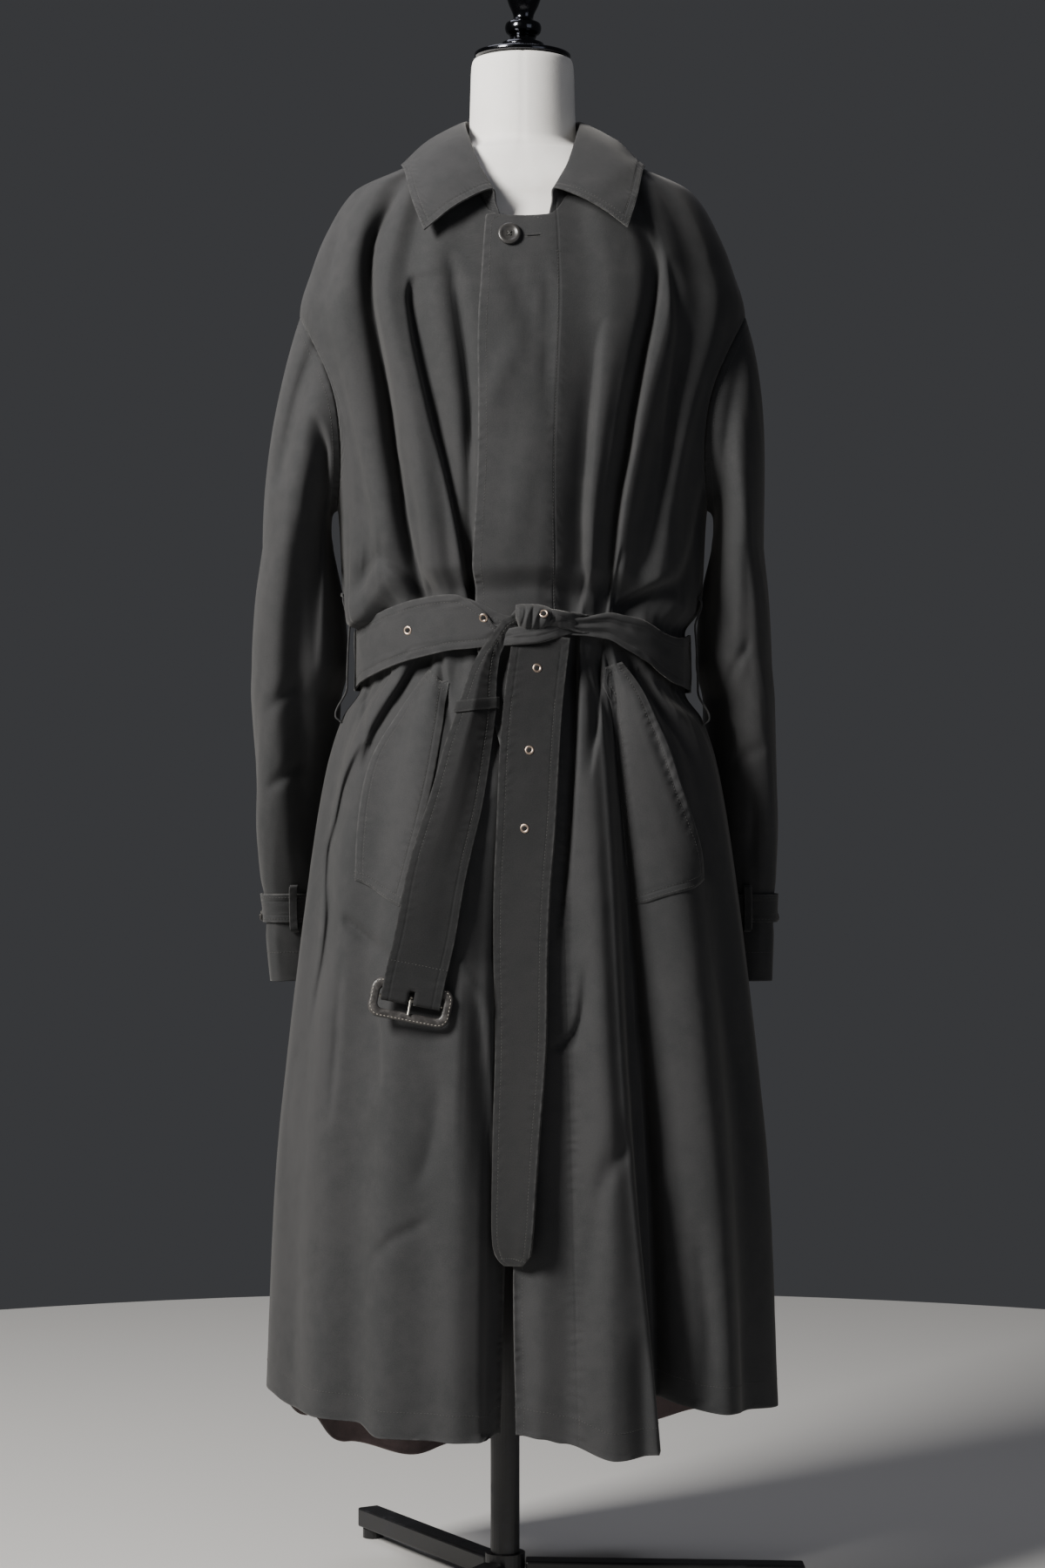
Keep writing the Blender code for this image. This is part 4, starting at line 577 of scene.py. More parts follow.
def pleatLift(pleats, angle, height, millimetresPerDegree):
    lift = np.zeros(np.shape(angle))
    for before, after, rows in pleats:
        rows = sorted(rows)
        middle, depth = columnsOf(rows, height)
        distance = (angle - middle) * millimetresPerDegree
        inside = (height > rows[0][0]) & (height < rows[-1][0])
        width = np.where(distance < 0, before, after)
        lift += np.where(inside, depth * np.exp(-((distance / width) ** 2)), 0)
    return lift * mm


def blouseDrop(angle, nominal):
    # how far the cloth over the belt sinks in front of it
    drop = columnsOf(blouse["drop"], wrapped(angle))[0] * mm
    return drop * np.exp(-(((nominal - blouse["height"]) / blouse["spread"]) ** 2)) * (nominal > 0.93)


shells = {}  # grid of points and faces of each shell's outer side, for what lies on it


def gridFaces(rowCount, columnCount, wrap):
    last = columnCount if wrap else columnCount - 1
    i, j = np.meshgrid(np.arange(rowCount - 1), np.arange(last), indexing="ij")
    below, above, right = i * columnCount, (i + 1) * columnCount, (j + 1) % columnCount
    return np.stack((below + j, below + right, above + right, above + j), -1).reshape(-1, 4)


def gridNormals(points, wrap):
    # unit normals of a grid of points, facing out where columns run to the right and rows run up
    if wrap:
        across = np.roll(points, -1, 1) - np.roll(points, 1, 1)
    else:
        across = np.gradient(points, axis=1)
    normal = np.cross(across, np.gradient(points, axis=0))
    return normal / np.maximum(np.linalg.norm(normal, axis=-1, keepdims=True), 1e-12)


def lengthsAlong(points, axis):
    steps = np.linalg.norm(np.diff(points, axis=axis), axis=-1)
    zero = np.zeros_like(np.take(steps, [0], axis))
    return np.cumsum(np.concatenate((zero, steps), axis), axis)


def clothLengths(points, wrap):
    # metres of cloth across and up a grid, and across each whole row
    across = lengthsAlong(np.concatenate((points, points[:, :1]), 1) if wrap else points, 1)
    return across[:, : points.shape[1]], lengthsAlong(points, 0), across[:, -1:]


def cornerUvs(across, up, whole, faces, wrap):
    # the lengths as UVs; round a tube the last column of faces ends at the whole length
    uv = np.stack((across, up), -1).reshape(-1, 2)[faces].copy()
    if wrap:
        columns = across.shape[1]
        uv[faces[:, 0] % columns == columns - 1, 1:3, 0] = whole[:-1]
    return uv


def finishMesh(name, mesh, finishes):
    for finish in finishes:
        mesh.materials.append(finish)
    mesh.shade_smooth()
    made = bpy.data.objects.new(name, mesh)
    bpy.context.scene.collection.objects.link(made)
    return made


def attach(made, replaced=()):
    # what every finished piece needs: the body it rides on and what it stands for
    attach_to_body(made, "coat_and_form")
    if replaced:
        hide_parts(*replaced)


def clothShell(name, points, wall, finishes, wrap=False, edges=(1, 1, 1, 1), seam=None, missing=None):
    # a thin wall of cloth behind a grid of outer points, with metres of cloth as its UV map
    # edges says which sides are free: lower, upper, first column, last column
    across, up, whole = clothLengths(points, wrap)
    far = np.full(points.shape[:2], 0.1)
    # how far each point is from them; a tube has its seam at the last column and none at the first
    inward = [up, up[-1:] - up, across, whole - across]
    free = [inward[k] for k in range(4) if edges[k] and not (wrap and k == 2)]
    mesh = bpy.data.meshes.new(name)
    faces = gridFaces(*points.shape[:2], wrap)
    if missing is not None:
        faces = faces[~missing(faces)]
    flat = points.reshape(-1, 3) + shift
    mesh.vertices.add(len(flat))
    mesh.vertices.foreach_set("co", flat.astype(np.float32).ravel())
    mesh.loops.add(faces.size)
    mesh.loops.foreach_set("vertex_index", faces.astype(np.int32).ravel())
    mesh.polygons.add(len(faces))
    mesh.polygons.foreach_set("loop_start", np.arange(0, faces.size, 4, dtype=np.int32))
    mesh.update(calc_edges=True)
    uv = cornerUvs(across, up, whole, faces, wrap)
    mesh.uv_layers.new(name="cloth").data.foreach_set("uv", uv.astype(np.float32).ravel())
    seam = far if seam is None else np.clip(seam, -0.1, 0.1)
    for key, values in (("edge", np.minimum.reduce([far] + free)), ("seam", seam), ("run", up)):
        mesh.attributes.new(key, "FLOAT", "POINT").data.foreach_set("value", values.astype(np.float32).ravel())
    made = finishMesh(name, mesh, finishes)
    solid = made.modifiers.new("wall", "SOLIDIFY")
    solid.thickness, solid.offset = wall, -1
    solid.use_quality_normals = True
    if len(finishes) > 1:
        solid.material_offset = 1
    shells[name] = points, faces
    return made


def clothPiece(name, points, wall, finishes, **settings):
    # a cloth shell in place of the solid of the same name
    attach(clothShell(name + "_cloth", points, wall, finishes, **settings), (name,))


def facedOut(points, side):
    # a mirrored grid has its columns turned round, so that its faces still point out
    return points[:, ::-1] if side < 0 else points


def treeOf(parts):
    # one search tree over several sets of points and faces
    points = [part[0].reshape(-1, 3) for part in parts]
    starts = np.cumsum([0] + [len(found) for found in points])
    faces = [part[1] + start for part, start in zip(parts, starts)]
    return BVHTree.FromPolygons(np.concatenate(points).tolist(), np.concatenate(faces).tolist())


def searchTree(*names):
    return treeOf([shells[name + "_cloth"] for name in names])


def nodeTree(*names):
    # search tree over CAD nodes, in the tables' frame
    parts = []
    for name in names:
        mesh = nodes[name].data
        points = np.zeros(len(mesh.vertices) * 3, np.float32)
        mesh.vertices.foreach_get("co", points)
        mesh.calc_loop_triangles()
        faces = np.zeros(len(mesh.loop_triangles) * 3, np.int32)
        mesh.loop_triangles.foreach_get("vertices", faces)
        parts.append((points.reshape(-1, 3).astype(float) - shift, faces.reshape(-1, 3)))
    return treeOf(parts)


def outwardNearest(tree, point):
    # the nearest place on the cloth and its normal that faces away from the body
    place, normal = tree.find_nearest(Vector(point))[:2]
    if normal.x * point[0] + normal.y * point[1] < 0:
        normal = -normal
    return np.array(place), np.array(normal)


def laidOn(tree, points, clearance):
    # moves a grid of points to the nearest cloth and out by a clearance
    found = np.empty_like(points)
    for index in np.ndindex(points.shape[:-1]):
        place, normal = outwardNearest(tree, points[index])
        found[index] = place + normal * clearance
    return found


def pushedClear(tree, points, clearance, reach=0.03):
    # moves points that are nearer than a clearance to the cloth, or under it, out of it
    moved = points.copy()
    for index in np.ndindex(points.shape[:-1]):
        place, normal = outwardNearest(tree, points[index])
        short = clearance - float(np.dot(points[index] - place, normal))
        if 0 < short < reach:
            moved[index] = points[index] + normal * short
    return moved


def frontHit(tree, x, z):
    # the foremost place at a point in front view and the normal that faces out of it
    hit, normal = tree.ray_cast(Vector((x, -1, z)), Vector((0, 1, 0)))[:2]
    return hit, -normal if hit is not None and normal.y > 0 else normal


# creases of the fronts: softness in mm on the left and right (or below and above), the way it runs, then
# points across and down the frame with a depth in mm
rightCreases = [
    ((11, 11), "down", ((404, 222, 0), (392, 248, -4), (384, 285, -5), (377, 330, -4), (374, 380, 0))),
    ((10.5, 3.0), "down", (
        (458, 216, 0), (446, 240, -5), (436, 258, -9), (429, 278, -12), (426, 305, -14), (427, 340, -15),
        (432, 374, -16), (441, 422, -17), (449, 470, -17), (454, 510, -16), (460, 548, -15), (466, 592, -13),
        (474, 633, -11), (483, 668, -8), (492, 700, -4))),
    ((3.0, 20), "down", (
        (480, 312, 0), (472, 324, -4), (470, 340, -7), (473, 365, -8), (478, 395, -9), (485, 427, -9),
        (500, 490, -10), (509, 522, -10), (518, 560, -10), (526, 600, -9), (534, 642, -8), (541, 682, -6),
        (545, 704, -3))),
    ((9, 5), "down", (
        (516, 285, 0), (524, 325, -5), (531, 375, -7), (537, 425, -8), (541, 480, -8), (540, 560, -6),
        (541, 640, -6), (545, 700, -3))),
    ((5, 13), "across", (
        (380, 632, 0), (392, 640, -7), (406, 645, -10), (420, 641, -10), (432, 634, -7), (446, 641, -5),
        (461, 653, -5), (476, 669, -4), (490, 690, 0))),
    ((5, 3), "down", ((424, 765, -3), (423, 775, -6), (421, 800, -7), (417, 830, -5), (418, 862, 0))),
    ((3, 12), "down", (
        (484, 752, -3), (476, 762, -6), (461, 787, -7), (441, 817, -7), (427, 843, -6), (419, 872, -3),
        (415, 890, 0))),
    ((8, 2.8), "down", ((504, 745, -3), (507, 762, -5), (512, 795, -4), (519, 830, -2), (525, 860, 0))),
    ((3.5, 13), "down", (
        (420, 850, 0), (408, 872, -5), (396, 903, -8), (388, 940, -9), (378, 982, -9), (377, 1010, -9),
        (378, 1045, -9), (374, 1090, -8), (366, 1135, -5), (358, 1180, 0))),
    ((9, 3.5), "down", ((394, 1095, 0), (389, 1150, -4), (387, 1195, -5), (383, 1240, -4), (377, 1300, 0))),
    ((9, 3.5), "across", ((392, 1052, 0), (400, 1057, -5), (420, 1074, -5), (445, 1092, -4), (466, 1104, 0))),
    ((11, 3.5), "down", ((424, 1120, 0), (430, 1155, -3), (435, 1190, -4), (436, 1230, -4), (430, 1265, 0))),
    ((12, 10), "down", ((430, 1270, 0), (428, 1320, -3), (432, 1370, -2), (440, 1410, 0))),
    ((9, 5), "across", ((418, 1462, 0), (432, 1438, -1.8), (452, 1420, -2.2), (476, 1409, -2), (502, 1396, 0))),
    ((8, 6), "across", ((336, 1486, 0), (350, 1468, -1.2), (366, 1458, -1), (380, 1450, 0))),
    ((10, 10), "down", ((350, 1180, 0), (336, 1240, -3), (330, 1300, -3), (328, 1380, 0))),
    ((14, 5), "down", (
        (540, 1130, 0), (552, 1170, -4), (556, 1240, -6), (560, 1320, -7), (563, 1400, -7), (563, 1500, -7),
        (560, 1600, -6), (558, 1656, -4))),
    ((12, 8), "down", ((505, 1220, 0), (502, 1280, -2.5), (492, 1330, -2.5), (476, 1370, 0))),
]
leftCreases = [
    ((15, 4.5), "down", (
        (692, 362, 0), (685, 395, -3), (681, 440, -6), (677, 480, -7), (674, 520, -8), (670, 560, -8),
        (668, 600, -8), (668, 640, -8), (671, 662, -7), (665, 690, -5), (659, 712, -3))),
    ((13, 3.0), "down", (
        (733, 262, 0), (745, 275, -3), (753, 290, -5), (756, 308, -6), (754, 332, -7), (750, 360, -8),
        (742, 400, -10), (735, 440, -11), (728, 480, -12), (722, 520, -12), (714, 560, -11), (708, 600, -10),
        (704, 640, -9), (699, 680, -6), (695, 708, -3))),
    ((4.5, 13), "down", (
        (768, 292, 0), (775, 335, -4), (778, 375, -5), (774, 410, -5), (770, 440, -5), (766, 480, -5),
        (763, 520, -5), (757, 572, -4), (748, 620, -3), (734, 655, 0))),
    ((20, 4), "across", (
        (812, 545, 0), (805, 575, -5), (798, 610, -10), (786, 642, -12), (768, 662, -12), (742, 678, -10),
        (718, 692, -5), (704, 700, 0))),
    ((3, 6), "down", ((716, 625, 0), (710, 650, -3), (705, 680, -4), (701, 708, -2))),
    ((10, 8), "down", ((578, 288, 0), (592, 315, -2.5), (604, 345, -3.5), (612, 378, -3), (614, 410, 0))),
    ((9, 2.5), "down", ((624, 290, 0), (631, 335, -3), (633, 390, -3.5), (632, 440, -2.5), (633, 500, 0))),
    ((9, 9), "down", ((596, 372, 0), (588, 402, 2.4), (574, 432, 2.6), (563, 470, 1.5), (560, 500, 0))),
    ((12, 12), "down", ((612, 470, 0), (606, 520, 1.8), (596, 580, 2.0), (590, 640, 0))),
    ((11, 3.0), "down", (
        (661, 728, -4), (661, 765, -8), (661, 820, -8), (659, 880, -8), (655, 940, -7), (650, 1000, -6),
        (643, 1055, -3), (638, 1090, 0))),
    ((5, 9), "down", (
        (673, 1095, 0), (671, 1135, -3), (668, 1165, -5), (661, 1187, -5), (648, 1199, -4), (634, 1209, 0))),
    ((10, 3.0), "down", ((692, 735, -3), (689, 775, -6), (686, 830, -6), (680, 868, -3), (676, 895, 0))),
    ((3.2, 8), "down", (
        (690, 730, -2), (699, 762, -5), (704, 800, -7), (707, 850, -7), (710, 900, -8), (715, 950, -8),
        (719, 1000, -9), (723, 1050, -9), (727, 1100, -9), (731, 1150, -9), (735, 1200, -8), (740, 1260, -7),
        (744, 1310, -5), (747, 1370, 0))),
    ((3.0, 10), "down", (
        (736, 1190, 0), (740, 1250, -4), (744, 1310, -7), (747, 1370, -9), (750, 1430, -10), (752, 1490, -10),
        (754, 1550, -10), (757, 1610, -9), (760, 1662, -8))),
    ((3, 9), "down", (
        (716, 748, 0), (724, 770, -4), (736, 802, -6), (758, 870, -6), (783, 938, -5), (803, 990, -4),
        (812, 1015, 0))),
    ((4, 6), "down", ((722, 738, -2), (742, 757, -5), (764, 778, -5), (784, 802, -4), (797, 832, 0))),
    ((4, 8), "down", ((732, 768, -2), (746, 796, -5), (762, 824, -5), (781, 852, -4), (794, 876, 0))),
    ((5, 6), "down", ((748, 828, 0), (760, 855, -3), (770, 878, -3), (782, 896, 0))),
    ((12, 14), "down", ((704, 1295, 0), (690, 1360, -3), (680, 1430, -3), (673, 1500, -2), (668, 1560, 0))),
    ((10, 10), "down", ((728, 1260, 0), (722, 1310, -3), (700, 1345, -2.5), (690, 1380, 0))),
    ((14, 16), "down", ((735, 1520, 0), (736, 1580, -5), (738, 1640, -6), (740, 1675, -6))),
    ((8, 14), "down", ((596, 1440, 0), (594, 1500, -4), (600, 1560, -3), (604, 1620, 0))),
    ((12, 9), "down", ((812, 1080, 0), (830, 1160, -3), (846, 1260, -3.5), (858, 1380, 0))),
    ((9, 12), "down", ((800, 1380, 0), (806, 1460, -3), (812, 1540, -4), (806, 1610, -3))),
]
panelPieces = {
    # hang is the share of the fold lines' lift that is left at each fold height
    "front_left": {
        "folds": leftFolds, "side": 1, "isBack": False, "density": 1.4, "creases": leftCreases,
        "seed": 11, "pleats": (2, 88, 26), "pleatShare": 0.45, "seamShift": -1,
        "hang": (0.85, 0.7, 0.4, 1, 0.8, 0.8),
    },
    "front_right": {
        "folds": rightFolds, "side": -1, "isBack": False, "density": 1.4, "creases": rightCreases,
        "seed": 23, "pleats": (8, 88, 24), "pleatShare": 0.45, "seamShift": -1,
        "hang": (0.45, 0.35, 0.5, 1, 0.8, 0.8),
    },
    "back": {
        "folds": backFolds, "side": 1, "isBack": True, "density": 0.86, "creases": (),
        "seed": 37, "pleats": (94, 266, 52), "pleatShare": 1.3, "seamShift": 1,
        "hang": (1, 1, 1, 1, 1, 1),
    },
}
tailTree = nodeTree("belt_tail_buckle", "belt_tail_tip", "belt_keeper")


def panelHeights(scale):
    found = [np.linspace(low, high, int(count * scale), endpoint=False) for low, high, count in coat["rows"]]
    found[0] = np.concatenate(([coat["hem"], coat["hem"] + 1 * mm], found[0][1:]))
    count = int(coat["armholeRows"] * scale)
    found.append(armholeMiddle - armholeReach * np.cos(np.pi * np.arange(count) / count))
    found.append(np.linspace(coat["armholeTop"], coat["neckTop"] - 1 * mm, int(coat["shoulderRows"] * scale)))
    return np.concatenate(found + [[coat["neckTop"]]])


def panelGrid(piece, nominal):
    # angle, lift and rise of each column: every stretch between two fold lines has its own columns
    folds, density = piece["folds"], piece["density"]
    angles, lifts = foldLines(folds, piece["isBack"], nominal)
    lifts[:, 1:] = lifts[:, 1:] * smoothTable(coat["foldHeights"], piece["hang"], nominal)[:, None]
    rises = np.array([fold[0] for fold in folds]) * mm
    hemAngles = np.array([fold[1][0] for fold in folds], float)
    allAngles, allLifts, allRises = [], [], []
    last = len(folds) - 2
    for i in range(len(folds) - 1):
        count = max(7, int(round(density * (hemAngles[i + 1] - hemAngles[i]))))
        shares = np.arange(count) / count
        if i == 0:
            shares = np.concatenate(([0, 0.25 / count], shares[1:]))
        if i == last:
            shares = np.concatenate((shares, [1 - 0.25 / count, 1]))
        soft = (1 - np.cos(np.pi * shares)) / 2
        allAngles.append(mix(angles[:, i : i + 1], angles[:, i + 1 : i + 2], shares))
        allLifts.append(mix(lifts[:, i : i + 1], lifts[:, i + 1 : i + 2], soft))
        allRises.append(np.broadcast_to(mix(rises[i], rises[i + 1], soft), (len(nominal), len(soft))))
    return np.concatenate(allAngles, 1), np.concatenate(allLifts, 1), np.concatenate(allRises, 1)


def fineCloth(piece, angle, nominal, lift, rise):
    # lifts of the fold lines with the listed creases, the gathers at the belt and an uneven hang
    height = np.broadcast_to(nominal[:, None], angle.shape)
    beltWidth = beltAt(angle * piece["side"])[1]
    pleats = beltPleats(piece["seed"], *piece["pleats"])
    perDegree = np.where(height < 0.9, *coat["mmPerDegree"])
    fine = pleatLift(pleats, angle, height, perDegree) * piece["pleatShare"]
    crease = np.zeros(angle.shape)
    if piece["creases"]:
        base = bodyPoint(angle * piece["side"], nominal[:, None], lift, rise)
        crease = creaseLift(piece["creases"], base[..., 0], base[..., 2])
    wide, tall = angle * perDegree / 1000, height
    calm = np.clip((coat["neckTop"] - height) / 0.08, 0, 1)
    for k, (size, across, up) in enumerate(coat["uneven"]):
        fine += calm * size * mm * softNoise(wide / across, tall / up, piece["seed"] + 1 + k)
    drop = blouseDrop(angle * piece["side"], height)
    fromSide = (blouse["sideEnd"] - np.abs(wrapped(angle))) / blouse["sideFade"]
    fine += drop * blouse["forward"] * np.clip(fromSide, 0, 1)
    fromEdge = angle[:, -1:] - angle
    if piece["isBack"]:
        fromEdge = np.minimum(np.abs(angle - angle[:, :1]), np.abs(fromEdge))
    sideFade = np.clip(fromEdge / coat["seamFade"], 0, 1)
    lift = lift + fine * easeInOut(sideFade)
    # the belt holds the cloth in
    held = np.abs(height - coat["waist"]) < beltWidth / 2 + belt["holdPast"]
    crease = np.where(held, np.minimum(crease, 0), crease) * easeInOut(sideFade)
    return np.where(held, np.minimum(lift, belt["lift"] - belt["holdUnder"]), lift), drop, crease


behind = {
    # where the loose belt ends hang, and how far behind their solids the coat stays
    "middle": -0.04, "halfWidth": 0.11, "low": 0.33, "high": 0.96, "front": -0.05, "gap": 3.0 * mm,
    # how softly that spreads over the points beside and along
    "rounds": 9, "beside": 0.84, "along": 0.9, "spreadTop": 0.93,
}


def behindTails(points):
    # cloth that would stand in front of the loose belt ends goes softly back behind them
    push = np.zeros(points.shape[:2])
    x, y, z = np.moveaxis(points, -1, 0)
    near = (np.abs(x - behind["middle"]) < behind["halfWidth"]) & (z > behind["low"]) & (z < behind["high"])
    for index in np.argwhere(near & (y < behind["front"])):
        i, j = index
        hit = tailTree.ray_cast(Vector((x[i, j], -0.6, z[i, j])), Vector((0, 1, 0)))[0]
        if hit is not None:
            push[i, j] = max(0, hit.y + behind["gap"] - y[i, j])
    for _ in range(behind["rounds"]):
        beside = np.maximum(np.roll(push, 1, 1), np.roll(push, -1, 1)) * behind["beside"]
        along = np.maximum(np.roll(push, 1, 0), np.roll(push, -1, 0)) * behind["along"]
        push = np.maximum(push, np.maximum(beside, along) * (z < behind["spreadTop"]))
    points[..., 1] += push
    return points


def addPanels():
    for name, piece in panelPieces.items():
        nominal = panelHeights(0.8 if piece["isBack"] else 1.0)
        angle, lift, rise = panelGrid(piece, nominal)
        seam = None
        if name == "front_left":
            start, height, back, reach = coat["edgeCorner"]
            corner = np.clip((nominal - start) / height, 0, 1)[:, None] ** 2
            angle = angle + back * corner * np.exp((angle[:, :1] - angle) / reach)
            seam = (angle - columnsOf(coat["placketSeam"], nominal)[0][:, None]) * 3.6 * mm
        lift, drop, crease = fineCloth(piece, angle, nominal, lift, rise)
        points = bodyPoint(angle * piece["side"], nominal[:, None], lift, rise)
        points[..., 2] -= drop
        points[..., 1] += piece["seamShift"] * coat["seamShift"] - crease
        if not piece["isBack"]:
            points = behindTails(points)
        clothPiece(name, facedOut(points, piece["side"]), coat["wall"], (twill, twillInside), seam=seam)
        print("panel", name, points.shape[:2])


sleeve = {
    # height, then for the right sleeve reach and half thickness, the same for the left one, y, half width, yaw
    "sections": (
        (0.594, 0.2080, 0.0270, 0.2070, 0.0270, 0.110, 0.062, 38),
        (0.680, 0.2150, 0.0300, 0.2100, 0.0280, 0.092, 0.065, 32),
        (0.760, 0.2220, 0.0340, 0.2150, 0.0300, 0.066, 0.071, 20),
        (0.870, 0.2225, 0.0410, 0.2140, 0.0310, 0.043, 0.079, 10),
        (0.910, 0.2180, 0.0455, 0.2085, 0.0345, 0.034, 0.082, 8),
        (0.960, 0.2180, 0.0430, 0.2080, 0.0330, 0.024, 0.086, 5),
        (1.020, 0.2195, 0.0345, 0.2105, 0.0250, 0.014, 0.089, 0),
    ),
    "shrink": 0.992, "columns": 104, "headRows": 46, "rows": 112,
    "strapPinch": 2.0 * mm, "pinchReach": 0.022, "strapHeight": 0.667, "strapWidth": 0.028,
    "strapWall": 1.8 * mm, "strapGap": 0.8 * mm, "strapStand": 7 * mm,
}
sleeveCreases = {
    -1: [
        ((10, 12), "down", (
            (366, 385, 0), (360, 405, -5), (350, 435, -8), (340, 468, -9), (331, 505, -9), (323, 540, -8),
            (319, 568, 0))),
        ((13, 3.2), "down", (
            (362, 480, 0), (372, 500, -6), (377, 525, -9), (376, 560, -9), (372, 600, -8), (368, 650, -6),
            (364, 710, -4), (360, 780, 0))),
        ((15, 24), "down", (
            (356, 590, 0), (351, 640, -7), (346, 700, -11), (341, 780, -12), (341, 860, -10), (345, 940, -5),
            (348, 990, 0))),
        ((7, 9), "across", ((300, 905, 0), (318, 896, -3), (338, 880, -3), (352, 868, 0))),
        ((8, 8), "across", ((296, 820, 0), (314, 808, -2), (334, 790, -3), (350, 780, 0))),
    ],
    1: [
        ((8, 10), "down", ((846, 400, 0), (842, 440, -3), (832, 500, -4), (828, 560, -3), (826, 620, 0))),
        ((6, 7), "across", ((832, 782, 0), (842, 768, -3), (852, 752, -3), (862, 742, 0))),
        ((10, 10), "down", ((852, 600, 0), (856, 680, -3), (858, 760, -2), (856, 840, 0))),
        ((7, 9), "across", ((840, 880, 0), (854, 868, -3), (870, 862, -2), (884, 860, 0))),
        ((8, 8), "down", ((866, 900, 0), (868, 950, -2.5), (864, 1000, 0))),
    ],
}


def sleeveRing(side, height, turn):
    # the hanging part of a sleeve: turn 0 faces away from the body, 90 degrees faces back
    reachRight, thickRight, reachLeft, thickLeft, y, wide, yaw = columnsOf(sleeve["sections"], height)
    reach, thick = (reachLeft, thickLeft) if side > 0 else (reachRight, thickRight)
    fromStrap = (height - sleeve["strapHeight"]) / sleeve["pinchReach"]
    pinch = sleeve["strapPinch"] * np.exp(-(fromStrap**4))
    x, back = (thick - pinch) * np.cos(turn), (wide - pinch) * np.sin(turn)
    lean = np.radians(yaw)
    place = (
        side * (reach + x * np.cos(lean) - back * np.sin(lean)),
        y + x * np.sin(lean) + back * np.cos(lean), height + 0 * turn,
    )
    return np.stack(np.broadcast_arrays(*place), -1)


def sleeveRows(side):
    turn = turnsOf(sleeve["columns"])
    angle = 90 + coat["armholeHalfAngle"] * sleeve["shrink"] * np.sin(turn)
    nominal = armholeMiddle + armholeReach * sleeve["shrink"] * np.cos(turn)
    first = bodyPoint(side * angle, nominal, 0)
    top = sleeve["sections"][-1][0]
    last = sleeveRing(side, np.full(turn.shape, top), turn)
    s = (np.arange(sleeve["headRows"]) / sleeve["headRows"])[:, None, None]
    length = np.linalg.norm(last - first, axis=-1)[:, None]
    share = (0.25 + 0.55 * (1 - np.cos(turn)) / 2)[:, None]
    outward = np.stack((np.full(turn.shape, float(side)), 0.5 * np.sin(turn), 0 * turn), -1)
    leave = unit(outward) * share + np.array((0, 0, 1.0)) * (share - 1)
    leave *= length / np.linalg.norm(leave, axis=-1, keepdims=True)
    arrive = length * np.array((0, 0, -1.0))
    head = first + (last - first) * (s * s * (3 - 2 * s)) + (leave * (1 - s) - arrive * s) * s * (1 - s)
    heights = np.concatenate((np.linspace(top, 0.595, sleeve["rows"]), [0.594]))[:, None]
    arm = sleeveRing(side, heights, turn[None, :])
    return np.concatenate((head, arm))[::-1], turn


def addSleeves():
    for name, side in sides:
        points, turn = sleeveRows(side)
        normal = gridNormals(points, True) * side
        height = points[..., 2].mean(1)[:, None] + 0 * turn
        crease = creaseLift(sleeveCreases[side], points[..., 0], points[..., 2], 0.03)
        crease = crease * np.clip(-normal[..., 1] * 3, 0, 1)
        calm = np.clip(np.minimum((1.20 - height) / 0.1, np.abs(height - sleeve["strapHeight"]) / 0.03), 0, 1)
        around = np.stack((np.cos(turn), np.sin(turn)), -1)
        x, y = around[:, 0], around[:, 1]
        fine = calm * 1.2 * mm * softNoise(x * 2.2 + 5, height / 0.11 + y * 2.0, 51 + side)
        fine += calm * 0.4 * mm * softNoise(x * 6 + 9, height / 0.045 + y * 5, 61 + side)
        points = points + normal * fine[..., None]
        points[..., 1] -= crease
        clothPiece("sleeve_" + name, facedOut(points, side), coat["wall"], (twill, twillInside), wrap=True)
        print("sleeve", name, points.shape[:2])


collar = {
    "wall": 1.8 * mm, "rise": -1.5 * mm, "inward": 2.4 * mm, "roll": 5.5 * mm, "clearance": 0.6 * mm,
    "columns": 190,
    # angle, then fold line and free edge in mm
    "stations": (
        (-5, (-29.5, -112, 1351), (-92.8, -125, 1310)), (-22, (-44, -86, 1382), (-104, -106, 1340)),
        (-50, (-54, -46, 1416), (-113, -63, 1376)), (-90, (-56, 0, 1436), (-116.5, 0, 1393)),
        (-135, (-43, 44, 1442), (-90, 68, 1386)), (-180, (0, 64, 1445), (0, 107, 1371)),
        (-225, (43, 44, 1442), (90, 68, 1386)), (-270, (56, 0, 1436), (117, 0, 1392)),
        (-310, (54, -46, 1416), (115, -63, 1376)), (-338, (45, -84, 1382), (108, -104, 1342)),
        (-354, (31, -112, 1352), (99.5, -124, 1313)),
    ),
    # columns along the guide: 1 is halfway up the stand, 2 the fold line, 4 the free edge
    "across": (
        0, 0.15, 0.3, 0.45, 0.6, 0.8, 1.0, 1.2, 1.4, 1.6, 1.75, 1.88, 2, 2.12, 2.25, 2.4, 2.6, 2.8, 3.0, 3.2,
        3.4, 3.6, 3.75, 3.87, 3.94, 3.98, 4.0,
    ),
}


def splineThrough(points, s):
    # places on a Catmull-Rom curve through points, s from 0 to the number of spans
    points = np.asarray(points, float)
    s = np.asarray(s, float)
    padded = np.concatenate((2 * points[:1] - points[1:2], points, 2 * points[-1:] - points[-2:-1]))
    i = np.clip(np.floor(s).astype(int), 0, len(points) - 2)
    t = (s - i)[..., None]
    before, a, b, after = padded[i], padded[i + 1], padded[i + 2], padded[i + 3]
    return 0.5 * (
        a * 2 + (b - before) * t + (before * 2 - a * 5 + b * 4 - after) * t * t
        + (a * 3 - before - b * 3 + after) * t**3
    )


